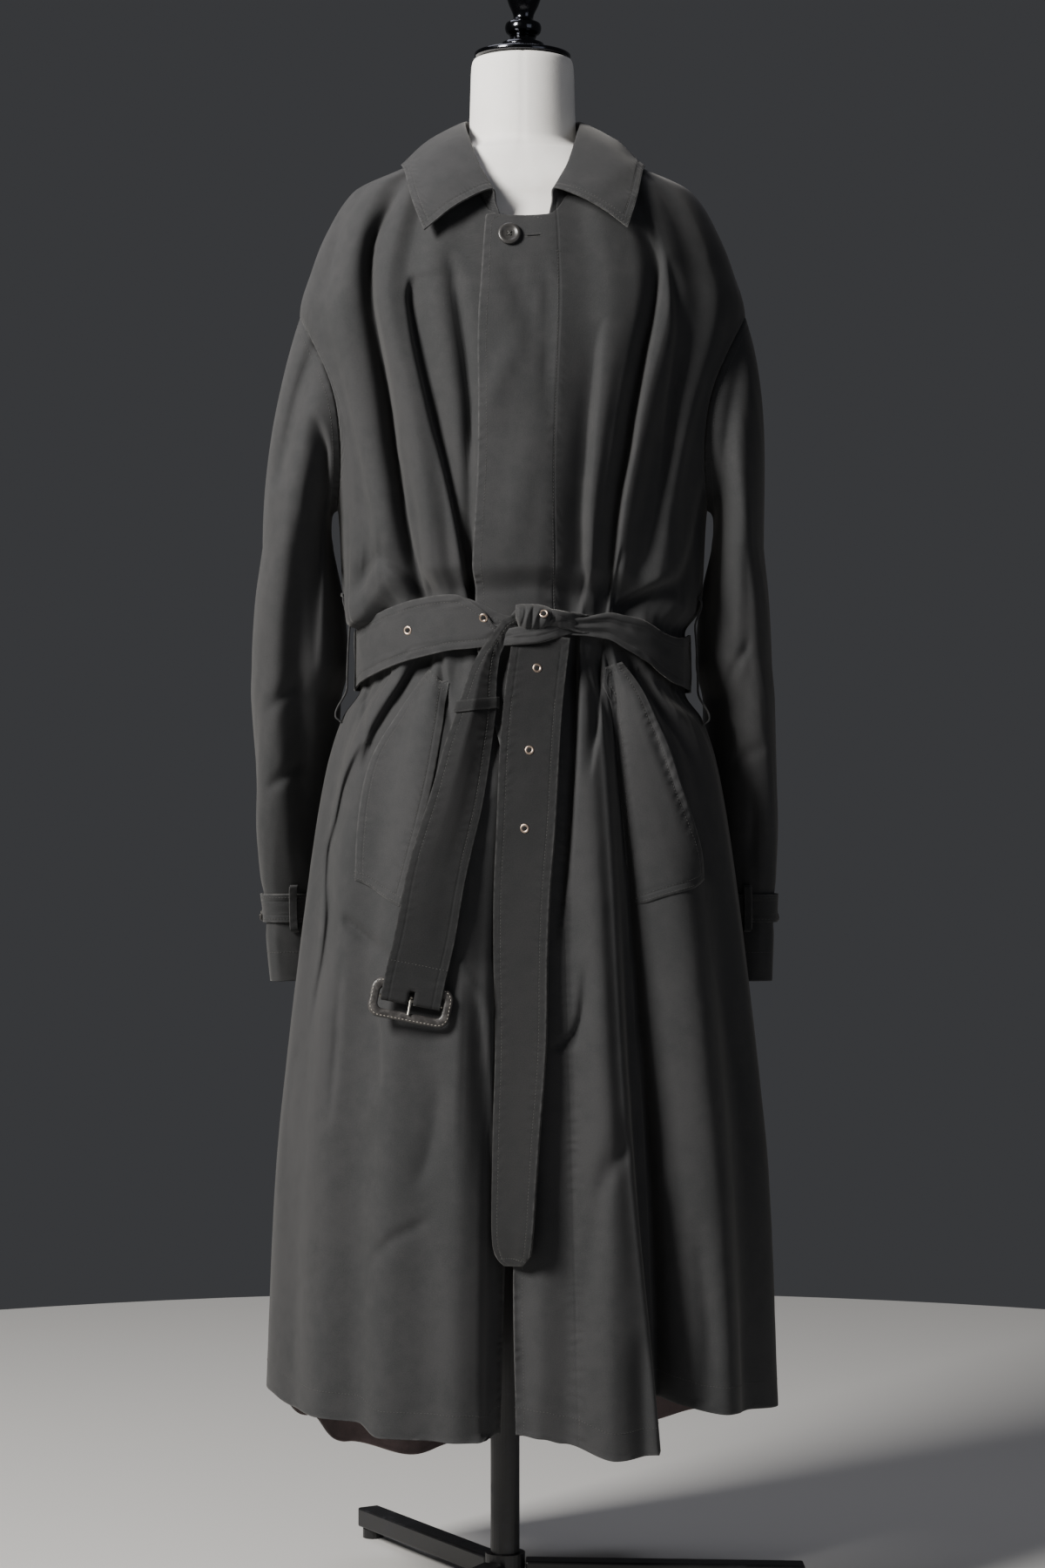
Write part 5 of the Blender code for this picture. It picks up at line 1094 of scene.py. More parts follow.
def collarRows():
    angles = [row[0] for row in collar["stations"]]
    folds = np.array([row[1] for row in collar["stations"]]) * mm
    edges = np.array([row[2] for row in collar["stations"]]) * mm
    span = len(angles) - 1
    steps = np.linspace(0, span, collar["columns"])
    steps = np.concatenate(([0, 0.01], steps[1:-1], [span - 0.01, span]))
    rows = []
    for s in steps:
        angle = float(smoothTable(np.arange(span + 1), angles, s))
        fold, edge = splineThrough(folds, s), splineThrough(edges, s)
        near = wrapped(angle)
        lift = 0.0
        if abs(near) < 90:
            found, lifts = foldLines(leftFolds if near >= 0 else rightFolds, False, np.array([coat["neckTop"]]))
            lift = float(np.interp(abs(near), found[0], lifts[0]))
        base = bodyPoint(angle, coat["neckTop"], lift)
        inward = unit(np.array((-base[0], -base[1], 0)))
        base = base + inward * collar["inward"] + np.array((0, 0, collar["rise"]))
        bulge = unit(np.array((-inward[0], -inward[1], 1.2)))
        middle = fold + (edge - fold) * 0.5 + bulge * collar["roll"]
        guide = [base, (base + fold) / 2 + inward * collar["inward"], fold, middle, edge]
        rows.append(splineThrough(guide, np.array(collar["across"])))
    return np.array(rows)


def addCollar():
    rows = collarRows()
    # soft waves along the fall
    across = np.array(collar["across"])
    fall = np.clip((across - 2) / 2, 0, 1)
    run = lengthsAlong(rows, 0)
    wave = softNoise(run / 0.035, across[None, :] * 0.9 + 3, 71)
    wave = wave + softNoise(run / 0.012, across[None, :] * 2.3, 72) * 0.3
    normal = gridNormals(rows[::-1], False)[::-1]
    rows = rows + normal * (wave * fall)[..., None] * mm
    tree = searchTree("front_left", "front_right", "back")
    part = rows[:, across > 2.3]
    for _ in range(2):
        part = pushedClear(tree, part, collar["wall"] + collar["clearance"])
    rows[:, across > 2.3] = part
    clothPiece("collar", rows[::-1], collar["wall"], (beltTwill,), edges=(1, 1, 0, 1))


pocket = {
    "wall": 1.8 * mm, "rows": 84, "columns": 30, "laid": 0.9 * mm, "clear": 0.5 * mm,
    "rounds": 10, "edgeRounds": 60, "flatWide": 0.65, "flatNarrow": 0.25,
    # panel, then angle and height of the corners: inner top, outer top, outer bottom, inner bottom,
    # how many degrees the opening bows out at shares of its length, how far (mm) it stands open,
    # and how many degrees the inner edge bows
    "welts": (
        ("pocket_welt_left", "front_left", (25.5, 0.896), (35, 0.908), (54, 0.699), (31, 0.674),
         ((0, 0), (0.5, 0.6), (1, 0)), 8.0, 0.0),
        ("pocket_welt_right", "front_right", (22, 0.880), (33, 0.896), (48, 0.699), (30, 0.676),
         ((0, 0), (0.18, 3.2), (0.38, 9.5), (0.55, 8.0), (0.74, 5.0), (1, 0)), 3.0, 2.2),
    ),
}


def clothAt(panelName, angle, nominal):
    # a point of a panel's main form, which what lies on it starts from
    piece = panelPieces[panelName]
    shape = angle.shape
    found = np.empty(shape + (3,))
    for index in np.ndindex(shape):
        angles, lifts = foldLines(piece["folds"], piece["isBack"], np.array([nominal[index]]))
        place = np.interp(angle[index], angles[0], np.arange(angles.shape[1]))
        i = min(int(place), angles.shape[1] - 2)
        share = (1 - math.cos(math.pi * (place - i))) / 2
        lift = mix(lifts[0, i], lifts[0, i + 1], share)
        found[index] = bodyPoint(angle[index] * piece["side"], nominal[index], lift)
    return found


def evened(points, rounds):
    # smooths a grid from row to row; its first and last rows stay
    points = points.copy()
    for _ in range(rounds):
        points[1:-1] = (points[:-2] + 2 * points[1:-1] + points[2:]) / 4
    return points


def addPockets():
    for name, panelName, *corners, bow, stands, innerBow in pocket["welts"]:
        side = panelPieces[panelName]["side"]
        tree = searchTree(panelName)
        down = np.linspace(1, 0, pocket["rows"])[:, None, None]
        over = np.concatenate(([0, 0.02], np.linspace(0, 1, pocket["columns"])[1:-1], [0.98, 1]))[None, :, None]
        innerTop, outerTop, outerBottom, innerBottom = (np.array(corner) for corner in corners)
        place = mix(mix(innerTop, innerBottom, down), mix(outerTop, outerBottom, down), over)
        place[..., 0] += columnsOf(bow, down[:, :, 0])[0] * over[..., 0]
        place[..., 0] -= innerBow * 4 * (down * (1 - down) * (1 - over))[..., 0]
        points = clothAt(panelName, place[..., 0], place[..., 1])
        points = evened(laidOn(tree, points, pocket["laid"]), pocket["rounds"])
        # the stiff opening edge holds the welt flatter than the cloth beneath
        flatness = pocket["flatWide"] if stands > 5 else pocket["flatNarrow"]
        points = mix(points, mix(points[:, :1], points[:, -1:], over), flatness)
        for clearance in (0.9, 0.9, 0.6):
            points = pushedClear(tree, points, clearance * mm)
            for _ in range(3):
                around = points[:-2, 1:-1] + points[2:, 1:-1] + points[1:-1, :-2] + points[1:-1, 2:]
                points[1:-1, 1:-1] = around / 4
        points = pushedClear(tree, points, pocket["clear"])
        # only the opening edge stands off the coat
        normal = gridNormals(points, False) * side
        opened = easeInOut((over[..., 0] - 0.55) / 0.45) * easeInOut(np.minimum(down, 1 - down)[..., 0] / 0.12)
        points = points + normal * (opened * stands * mm)[..., None]
        # its turned edge is stiff, so it runs straighter there
        points = mix(points, evened(points, pocket["edgeRounds"]), easeInOut((over - 0.35) / 0.4))
        clothPiece(name, facedOut(points, side), pocket["wall"], (beltTwill,))


tails = {
    "wall": 2.2 * mm, "columns": 24, "steps": 22,
    # the solid's fold softens below a height, over a length, in so many rounds
    "loose": 0.84, "looseOver": 0.12, "soften": 5,
    # puckers at the edge's sewing: depth in mm, pitch, and where they are deepest and how far they reach
    "pucker": 0.28, "puckerPitch": 0.0095, "puckerAt": 5.5 * mm, "puckerReach": 4.5 * mm,
    # x, z and width of the middle of the strip from the knot down
    "buckle": (
        (-0.0030, 0.9440, 0.012), (-0.0140, 0.9380, 0.014), (-0.0250, 0.9210, 0.016), (-0.0310, 0.9100, 0.020),
        (-0.0370, 0.8900, 0.027), (-0.0410, 0.8680, 0.034), (-0.0430, 0.8560, 0.036), (-0.0510, 0.8220, 0.044),
        (-0.0616, 0.7740, 0.050), (-0.0790, 0.7090, 0.055), (-0.0895, 0.6520, 0.056), (-0.0990, 0.6110, 0.056),
    ),
    "tip": (
        (0.0180, 0.9300, 0.054), (0.0105, 0.8700, 0.055), (0.0065, 0.8210, 0.056), (0.0028, 0.7490, 0.056),
        (-0.0010, 0.6900, 0.056), (-0.0024, 0.6280, 0.056), (-0.0024, 0.5470, 0.056), (-0.0065, 0.4660, 0.056),
        (-0.0100, 0.3790, 0.056), (-0.0095, 0.3560, 0.048), (-0.0085, 0.3460, 0.026),
    ),
    "tipTurn": (0, 0, 5, 14, 22, 28, 34, 41, 48, 48, 48),
}


def addBeltBand():
    first, last = 1.5, 358.5
    angle = np.linspace(first, last, 420)
    angle = np.concatenate(([first, first + 0.2], angle[1:-1], [last - 0.2, last]))[None, :]
    half = (0.2, 0.4, 0.6, 0.78, 0.9, 0.97, 1)
    share = np.array([-s for s in half[::-1]] + [0, *half])[:, None]
    height, width = beltAt(angle)
    crumple = np.clip((belt["width"] - width) / belt["squeeze"], 0, 1)
    lift = belt["lift"] + belt["wall"] + 0 * share * angle
    lift += crumple * belt["creaseDepth"] * np.cos(share * belt["creaseTurn"] + 0.6)
    run = wrapped(angle) * 0.0026
    bumps = 0.9 * mm * softNoise(run / 0.03 + 40, share * 1.5 + 7, 81)
    lift += bumps + 0.5 * mm * softNoise(run / 0.011 + 40, share * 2.5 + 9, 82)
    lift += 0.45 * mm * (1 - share**6)
    points = bodyPoint(angle + 0 * share, coat["waist"], lift)
    cut = columnsOf(belt["frontEnd"], wrapped(angle))[0] * mm
    points[..., 2] = height + share * width / 2 + cut * np.clip((share + 1) / 2, 0, 1) ** 2
    clothPiece("belt_band", points, belt["wall"], (beltTwill,))
    # the layer beneath shows its upper edge on its way into the knot
    angle = np.linspace(-20, 1, 60)[None, :]
    upper = columnsOf(belt["under"], angle)[0] * mm
    points = bodyPoint(angle + 0 * share, coat["waist"], belt["underLift"] + 0 * share * angle)
    points[..., 2] = mix(belt["underFoot"], upper, (share + 1) / 2)
    attach(clothShell("belt_layer_cloth", points, belt["underWall"], (beltTwill,), edges=(0, 1, 0, 0)))


def stripRows(table, steps, share, node, turns=None):
    # a hanging strip whose depth is read from its solid, with small creases added on top
    spans = len(table) - 1
    tree = nodeTree(node)
    line = [(x, 0, z) for x, z, width in table]
    s = np.linspace(0, spans, spans * steps + 1)
    middle = splineThrough(line, s)
    down = unit(splineThrough(line, np.minimum(s + 0.05, spans)) - splineThrough(line, np.maximum(s - 0.05, 0)))
    width = np.interp(s, np.arange(spans + 1), [row[2] for row in table])
    turn = np.radians(np.interp(s, np.arange(spans + 1), turns)) if turns else 0 * s
    across = np.stack((-down[:, 2], 0 * s, down[:, 0]), -1) * np.cos(turn)[:, None]
    points = middle[:, None] + across[:, None] * (share[None, :] * width[:, None])[..., None]
    depth = np.full(points.shape[:2], np.nan)
    for index in np.ndindex(depth.shape):
        x, _, z = mix(points[index], middle[index[0]], 0.06)
        hit = frontHit(tree, x, z)[0]
        if hit is not None:
            depth[index] = hit.y
    for j in range(depth.shape[1]):
        good = ~np.isnan(depth[:, j])
        depth[:, j] = np.interp(s, s[good], depth[good, j])
    loose = easeInOut((tails["loose"] - middle[:, 2]) / tails["looseOver"])[:, None]
    for _ in range(tails["soften"]):
        blurred = (depth[:, :-2] + 2 * depth[:, 1:-1] + depth[:, 2:]) / 4
        depth[:, 1:-1] = mix(depth[:, 1:-1], blurred, loose)
    run = lengthsAlong(points, 0)
    bumps = 0.55 * softNoise(run / 0.05 + 20, share[None, :] * 3 + 9, 91)
    bumps += 0.35 * softNoise(run / 0.014 + 31, share[None, :] * 4 + 9, 92)
    fromEdge = (0.5 - np.abs(share))[None, :] * width[:, None]
    edgeWeight = np.exp(-(((fromEdge - tails["puckerAt"]) / tails["puckerReach"]) ** 2))
    phase = run / tails["puckerPitch"] * 2 * np.pi + 4 * softNoise(run / 0.03 + 50, share[None, :] * 4 + 20, 93)
    bumps += tails["pucker"] * edgeWeight * np.sin(phase)
    points[..., 1] = depth + bumps * mm
    return points


def addTipTail():
    share = np.linspace(-0.5, 0.5, tails["columns"])[1:-1]
    share = np.concatenate(([-0.5, -0.485], share, [0.485, 0.5]))
    points = stripRows(tails["tip"], tails["steps"], share, "belt_tail_tip", tails["tipTurn"])
    clothPiece("belt_tail_tip", points[::-1], tails["wall"], (tailTwillPaintedShade,))


def addBuckleTail():
    half, slotHalf = belt["width"] / 2, buckle["slot"] / 2
    sides = np.array((1, 0.97, 0.85, 0.7, 0.55, 0.42, 0.3, 0.22)) * half
    places = np.concatenate((-sides, [-slotHalf, slotHalf], sides[::-1]))
    points = stripRows(tails["buckle"], tails["steps"], places / (2 * half), "belt_tail_buckle")
    # the end goes down in front of the bar, round it and a short way up behind
    radius, front = buckle["turnRadius"] + tails["wall"], buckle["overFrame"] + tails["wall"]
    path = [(up, front) for up in (0.0190, 0.0160, 0.0125, 0.0090)]
    path += [(0.0070, (front + radius) / 2), (0.0045, radius)]
    path += [(-radius * math.sin(t), radius * math.cos(t)) for t in np.radians(np.arange(0, 181, 12))]
    path += [(up, -radius) for up in (0.0028, 0.0052, 0.0076)]
    turned = np.array([[buckleFrame @ Vector((u, up, out)) for u in places] for up, out in path])
    rows = np.concatenate((points, turned))[::-1]
    slotColumn, slotRows = len(sides), (1, len(path) - 4)

    def inSlot(faces):
        row, column = faces[:, 0] // len(places), faces[:, 0] % len(places)
        return (column == slotColumn) & (row >= slotRows[0]) & (row < slotRows[1])

    clothPiece("belt_tail_buckle", rows, tails["wall"], (tailTwillPaintedShade,), missing=inSlot)
    tails["buckleRows"] = points  # without the part round the bar


knot = {
    "left": -0.0066, "right": 0.0345, "back": -0.1276, "wall": 2.0 * mm, "lobeWall": 1.6 * mm,
    "reach": 17.0 * mm, "power": 2.4, "bulge": 0.62,
    # x, then top and bottom height and share of the forward reach
    "outline": (
        (-0.0066, 0.9578, 0.9440, 0.62), (-0.0030, 0.9586, 0.9362, 0.90), (0.0040, 0.9590, 0.9322, 1.00),
        (0.0120, 0.9588, 0.9316, 0.98), (0.0200, 0.9573, 0.9330, 0.90), (0.0265, 0.9548, 0.9358, 0.74),
        (0.0310, 0.9515, 0.9392, 0.52), (0.0345, 0.9472, 0.9430, 0.26),
    ),
    # wrinkles of the wrap: x at mid height, lean, depth and softness, all in mm
    "wrinkles": (
        (-2.5, 2.0, 0.7, 1.6), (1.2, 4.5, -1.5, 1.2), (5.0, 5.5, 1.3, 1.9), (9.0, 6.0, -1.7, 1.4),
        (12.5, 6.5, 0.8, 1.7), (17.0, 8.0, -1.0, 1.5), (21.5, 9.0, 0.9, 2.2), (26.0, 10.0, -1.3, 1.5),
        (30.0, 8.0, 0.5, 1.6),
    ),
    # x, z, width and how far forward: the belt's lower edge, drawn tight beneath the wrap
    "strand": (
        (-0.0270, 0.9262, 0.0150, -0.0010), (-0.0180, 0.9270, 0.0155, 0.0022),
        (-0.0080, 0.9281, 0.0168, 0.0062), (0.0060, 0.9296, 0.0180, 0.0082), (0.0180, 0.9312, 0.0180, 0.0080),
        (0.0300, 0.9340, 0.0165, 0.0052), (0.0400, 0.9366, 0.0150, 0.0004), (0.0480, 0.9385, 0.0130, -0.0050),
        (0.0560, 0.9400, 0.0110, -0.0140),
    ),
    # the smooth end that runs from behind the wrap into the belt on its right
    "lobe": (
        (0.0230, 0.9460, 0.0170, 0.0080), (0.0310, 0.9448, 0.0172, 0.0074), (0.0390, 0.9436, 0.0168, 0.0038),
        (0.0480, 0.9420, 0.0160, -0.0026), (0.0560, 0.9405, 0.0155, -0.0105), (0.0620, 0.9400, 0.0150, -0.0185),
    ),
}


def roundedStrip(name, node, table, wall, seed, fullness):
    # a strand given by the middle, width and forward reach at its stations, with a fuller or flatter front
    s = np.linspace(0, len(table) - 1, 54)
    x, z, width, forward = np.moveaxis(splineThrough(table, s), -1, 0)
    turn = np.linspace(-1, 1, 19)[:, None]
    swell = np.sqrt(np.clip(1 - turn**4, 0, None))
    y = knot["back"] - forward * (1 - fullness + fullness * swell)
    y = y + 0.35 * mm * softNoise(s[None, :] * 2.5 + 11, turn * 2 + 7, seed)
    points = np.stack((x + 0 * turn, y, z + width / 2 * turn), -1)
    attach(clothShell(name, points, wall, (beltTwill,)), node)


def addKnot():
    across = np.linspace(0, 1, 84)[None, :]
    x = mix(knot["left"], knot["right"], across)
    top, bottom, reach = columnsOf(knot["outline"], x[0])
    s = np.sin(np.linspace(-1, 1, 44) * math.pi / 2)[:, None]
    z = (top + bottom) / 2 + s * (top - bottom) / 2
    bulge = np.clip(1 - np.abs(s) ** knot["power"], 0, None) ** knot["bulge"]
    y = knot["back"] + knot["wall"] - knot["reach"] * reach * bulge
    for at, lean, depth, softness in knot["wrinkles"]:
        away = x * 1000 - (at + lean * s * 0.5 + 0.8 * np.sin(s * 3 + at))
        y = y - depth * mm * np.exp(-((away / softness) ** 2)) * bulge**0.5
    y = y + 0.4 * mm * softNoise(s * 2.2 + 5, across * 11 + 2, 95)
    points = np.stack(np.broadcast_arrays(x, y, z), -1)
    clothPiece("belt_knot", points, knot["wall"], (twill,))
    roundedStrip("belt_knot_strand_cloth", ("belt_knot_strand",), knot["strand"], belt["wall"], 96, 0.25)
    roundedStrip("belt_knot_lobe_cloth", (), knot["lobe"], knot["lobeWall"], 97, 0.6)


keeper = {
    "height": 0.8640, "slope": 0.10, "width": 0.0105, "wall": 1.4 * mm, "gap": 0.8 * mm, "proud": 1.9 * mm,
}


def addKeeper():
    # a narrow band that goes level round the creased strap, its upper edge standing proud
    points, rows = tails["buckleRows"], []
    for share in (-0.5, -0.44, -0.2, 0.2, 0.44, 0.5):
        front = []
        for column in points.swapaxes(0, 1):
            at = keeper["height"] + share * keeper["width"] + keeper["slope"] * (column[:, 0] + 0.043)
            k = max(1, int(np.argmax(column[:, 2] < at)))
            part = (column[k - 1, 2] - at[k]) / (column[k - 1, 2] - column[k, 2])
            front.append(mix(column[k - 1], column[k], part))
        front = np.array(front)
        stand = keeper["gap"] + keeper["wall"] + keeper["proud"] * (share + 0.5)
        side = keeper["gap"] + 0.6 * mm + keeper["wall"]
        behind = max(front[0, 1], front[-1, 1]) + tails["wall"] + keeper["gap"] + keeper["wall"]
        left = np.array((front[0, 0] - side, front[0, 1] + 1.2 * mm - stand / 2, front[0, 2]))
        right = np.array((front[-1, 0] + side, front[-1, 1] + 1.2 * mm - stand / 2, front[-1, 2]))
        back = [np.array((end[0], behind, end[2])) for end in (right, left)]
        rows.append(list(front + np.array((0, -stand, 0))) + [right, *back, left])
    clothPiece("belt_keeper", np.array(rows), keeper["wall"], (tailTwillPaintedShade,), wrap=True)


loops = {
    "beltPath": ((1.1, 0.862), (8.0, 0.870), (13.0, 0.895), (12.5, 0.940), (9.0, 0.975), (1.4, 0.990)),
    "beltAngle": 79.0, "width": 0.012, "wall": 1.4 * mm,
    "strapPath": ((-0.0235, 0.9), (-0.0190, 4.2), (0, 4.4), (0.0190, 4.2), (0.0235, 0.9)),
    "strapTurn": -130.0, "strapLoopWidth": 0.010, "strapLoopWall": 1.2 * mm,
}


def strapPoint(side, height, turn, out):
    # the cuff strap goes round the sleeve and stands off it on the outer side
    point = sleeveRing(side, height, turn)
    centre = (sleeveRing(side, height, 0 * turn) + sleeveRing(side, height, 0 * turn + math.pi)) / 2
    away = point - centre
    away[..., 2] = 0
    away = unit(away)
    stand = out + sleeve["strapStand"] * np.clip(np.cos(turn), 0, None) ** 2
    return point + away * stand[..., None] if np.ndim(stand) else point + away * stand


def addCuffStraps():
    turn = turnsOf(120)
    share = np.array((-1, -0.94, -0.8, -0.5, 0, 0.5, 0.8, 0.94, 1))[:, None]
    for name, side in sides:
        height = sleeve["strapHeight"] + share * sleeve["strapWidth"] / 2
        bumps = softNoise(np.cos(turn) * 4 + 8, share * 2 + 3 * np.sin(turn) + 9, 41 + side)
        out = sleeve["strapGap"] + sleeve["strapWall"] + 0.3 * mm * bumps
        points = facedOut(strapPoint(side, height + 0 * turn, turn + 0 * share, out), side)
        clothPiece("cuff_strap_" + name, points, sleeve["strapWall"], (beltTwill,), wrap=True)


def addLoops():
    share = np.array((-1, -0.9, -0.5, 0, 0.5, 0.9, 1))
    tree = searchTree("front_left", "front_right", "back")
    for name, side in sides:
        lift, nominal = np.moveaxis(splineThrough(loops["beltPath"], np.linspace(0, 5, 41)), -1, 0)
        middle = bodyPoint(side * loops["beltAngle"] + 0 * nominal, nominal, (lift + 1.4) * mm)
        points = middle[:, None] + share[None, :, None] * np.array((0, side * loops["width"] / 2, 0))
        points[:2], points[-2:] = (laidOn(tree, part, 2.3 * mm) for part in (points[:2], points[-2:]))
        clothPiece("belt_loop_" + name, points, loops["wall"], (beltTwill,))
    for name, side in sides:
        rise, out = np.moveaxis(splineThrough(loops["strapPath"], np.linspace(0, 4, 33)), -1, 0)
        turn = math.radians(loops["strapTurn"]) + share * loops["strapLoopWidth"] / 2 / 0.06
        height = sleeve["strapHeight"] + rise[:, None] + 0 * turn[None, :]
        points = strapPoint(side, height, turn[None, :] + 0 * height, (out[:, None] + 1.2) * mm + 0 * height)
        clothPiece("strap_loop_" + name, facedOut(points, side), loops["strapLoopWall"], (beltTwill,))


buckle = {
    "place": (-0.103141, -0.171978, 0.589696), "across": (0.9816, 0, -0.1908), "outward": (0, -0.9954, 0.0958),
    "halfWidth": 0.0385, "top": 0.017, "bottom": 0.020, "bar": 0.0085, "corner": 0.011, "thick": 4.5 * mm,
    "turnRadius": 1.85 * mm, "overFrame": 2.65 * mm, "slot": 5.0 * mm,
}
cuffBuckle = {
    "halfWidth": 0.015, "halfLong": 0.021, "bar": 0.0065, "corner": 0.007, "thick": 3.6 * mm,
    "lean": (0.35, 0.45), "stand": {"left": 7.8 * mm, "right": 8.5 * mm},
}


def facing(place, across, outward):
    # matrix with X across, Z outward and Y up the piece
    z = Vector(outward).normalized()
    x = (Vector(across) - z * Vector(across).dot(z)).normalized()
    return Matrix.Translation(place) @ Matrix((x, z.cross(x), z)).transposed().to_4x4()


buckleFrame = facing(buckle["place"], buckle["across"], buckle["outward"])


def roundedOutline(halfX, top, bottom, corner, perCorner, perSide):
    # anticlockwise points of a rounded rectangle with as many points on every one
    centres = ((halfX - corner, -bottom + corner, -90), (halfX - corner, top - corner, 0),
               (-halfX + corner, top - corner, 90), (-halfX + corner, -bottom + corner, 180))
    found = []
    for k, (x, y, start) in enumerate(centres):
        for step in range(perCorner + 1):
            turn = math.radians(start + 90 * step / perCorner)
            found.append((x + corner * math.cos(turn), y + corner * math.sin(turn)))
        nextX, nextY, nextStart = centres[(k + 1) % 4]
        turn = math.radians(nextStart)
        following = (nextX + corner * math.cos(turn), nextY + corner * math.sin(turn))
        last = found[-1]
        found += [tuple(mix(a, b, s / perSide) for a, b in zip(last, following)) for s in range(1, perSide)]
    return np.array(found)


def ringMesh(name, rings, finish, matrix):
    # a closed loop of closed cross-sections
    count, around = rings.shape[:2]
    flat = placed(rings.reshape(-1, 3), matrix)
    i, j = np.meshgrid(np.arange(count), np.arange(around), indexing="ij")
    k, l = (i + 1) % count, (j + 1) % around
    faces = np.stack((i * around + j, i * around + l, k * around + l, k * around + j), -1).reshape(-1, 4)
    return solidMesh(name, (flat + shift).tolist(), faces.tolist(), finish)


def solidMesh(name, points, faces, finish):
    # a closed mesh with its faces turned outwards
    mesh = bpy.data.meshes.new(name)
    mesh.from_pydata(points, [], faces)
    built = bmesh.new()
    built.from_mesh(mesh)
    bmesh.ops.recalc_face_normals(built, faces=built.faces)
    built.to_mesh(mesh)
    built.free()
    return finishMesh(name, mesh, (finish,))


def coveredFrame(name, node, halfX, top, bottom, bar, corner, thick, matrix):
    # a bent core covered in leather: softly rounded bars, a little fuller at the outer edge
    outer = roundedOutline(halfX, top, bottom, corner, 9, 8)
    inner = roundedOutline(halfX - bar, top - bar, bottom - bar, corner * 0.45, 9, 8)
    turn = turnsOf(18)
    reach, rise = signedPower(np.cos(turn), 0.75), signedPower(np.sin(turn), 0.85)
    middle, half = (outer + inner) / 2, (outer - inner) / 2
    flat = middle[:, None] + half[:, None] * reach[None, :, None]
    height = np.broadcast_to(thick / 2 * rise, flat.shape[:2])
    made = ringMesh(name, np.concatenate((flat, height[..., None]), -1), leather, matrix)
    attach(made, (node,))
    stitched = middle + half * 0.52  # nearer the outer edge
    stitched = np.concatenate((stitched, stitched[:1]))
    path = placed(np.concatenate((stitched, np.full((len(stitched), 1), thick / 2 * 0.93)), 1), matrix)
    stitchLines.append(("saddle", path, np.tile(np.array(matrix.to_3x3())[:, 2], (len(path), 1))))


def addBuckles():
    sizes = [buckle[key] for key in ("halfWidth", "top", "bottom", "bar", "corner", "thick")]
    coveredFrame("buckle_leather_frame", "buckle_frame", *sizes, buckleFrame)
    sizes = [cuffBuckle[key] for key in ("halfWidth", "halfLong", "halfLong", "bar", "corner", "thick")]
    for name, side in sides:
        turn = np.zeros(1)
        clear = sleeve["strapGap"] + sleeve["strapWall"] + 1.0 * mm
        end = strapPoint(side, sleeve["strapHeight"] + turn, turn, clear + turn)[0]
        outward = Vector((side, *cuffBuckle["lean"])).normalized()
        place = Vector(end) + outward * cuffBuckle["stand"][name]
        node = "cuff_buckle_" + name
        coveredFrame(node + "_leather", node, *sizes, facing(place, (0, side, 0), outward))


def latheMesh(name, profile, steps, finish, matrix):
    # a turned piece from its profile of radius and height, from the axis back to the axis
    turn = turnsOf(steps)
    radius, height = np.array(profile, float).T
    around, up = radius[1:-1, None], height[1:-1, None]
    rings = np.stack((around * np.cos(turn), around * np.sin(turn), up + 0 * turn), -1)
    points = [tuple(p) for p in rings.reshape(-1, 3)] + [(0, 0, height[0]), (0, 0, height[-1])]
    top, low, rows = len(points) - 2, len(points) - 1, len(rings)
    faces = [tuple(int(k) for k in face) for face in gridFaces(rows, steps, True)]
    faces += [(top, j, (j + 1) % steps) for j in range(steps)]
    faces += [(low, (rows - 1) * steps + (j + 1) % steps, (rows - 1) * steps + j) for j in range(steps)]
    return solidMesh(name, [tuple(matrix @ Vector(p) + Vector(shift)) for p in points], faces, finish)


def crisp(profile, cut):
    # keeps a turned profile's corners crisp: each becomes a small chamfer
    points = np.array(profile, float)
    found = [points[0]]
    for before, corner, after in zip(points, points[1:], points[2:]):
        for other in (before, after):
            step = other - corner
            size = max(np.linalg.norm(step), 1e-9)
            found.append(corner + step / size * min(cut, size * 0.4))
    return found + [points[-1]]


def clothFrame(tree, x, z, clearance):
    # a place on the foremost cloth at a point in front view, facing out from it
    hit, out = frontHit(tree, x, z)
    return facing(hit + out * clearance, Vector((1, 0, 0)), out)


eyelet = {
    "radius": 4.4 * mm, "hole": 1.75 * mm, "rim": 0.75 * mm,
    # the dark disc of painted shade that closes the hole: radius and height in mm
    "disc": ((0, 0.45), (1.0, 0.45), (2.2, 0.4), (2.4, -0.3), (0, -0.3)),
    "places": (
        ("eyelet_band_outer", -0.1085, 0.935), ("eyelet_band_inner", -0.0366, 0.9457),
        ("eyelet_knot", 0.0200, 0.9490), ("eyelet_tail_upper", 0.0138, 0.8985),
        ("eyelet_tail_middle", 0.0065, 0.8216), ("eyelet_tail_lower", 0.0020, 0.7487),
    ),
}
button = {
    "radius": 10.8 * mm, "thick": 3.2 * mm, "x": -0.0123, "z": 1.306, "stand": 0.8 * mm,
    "holeSpread": 2.3 * mm, "holeRadius": 0.95 * mm, "threadRadius": 0.42 * mm,
    # radius and height of the turned shape as shares of the two sizes
    "profile": (
        (0, 0.60), (0.30, 0.60), (0.50, 0.63), (0.60, 0.78), (0.68, 0.96), (0.76, 1.03), (0.86, 1.0),
        (0.95, 0.86), (1, 0.62), (0.985, 0.38), (0.93, 0.16), (0.75, 0), (0, 0),
    ),
}


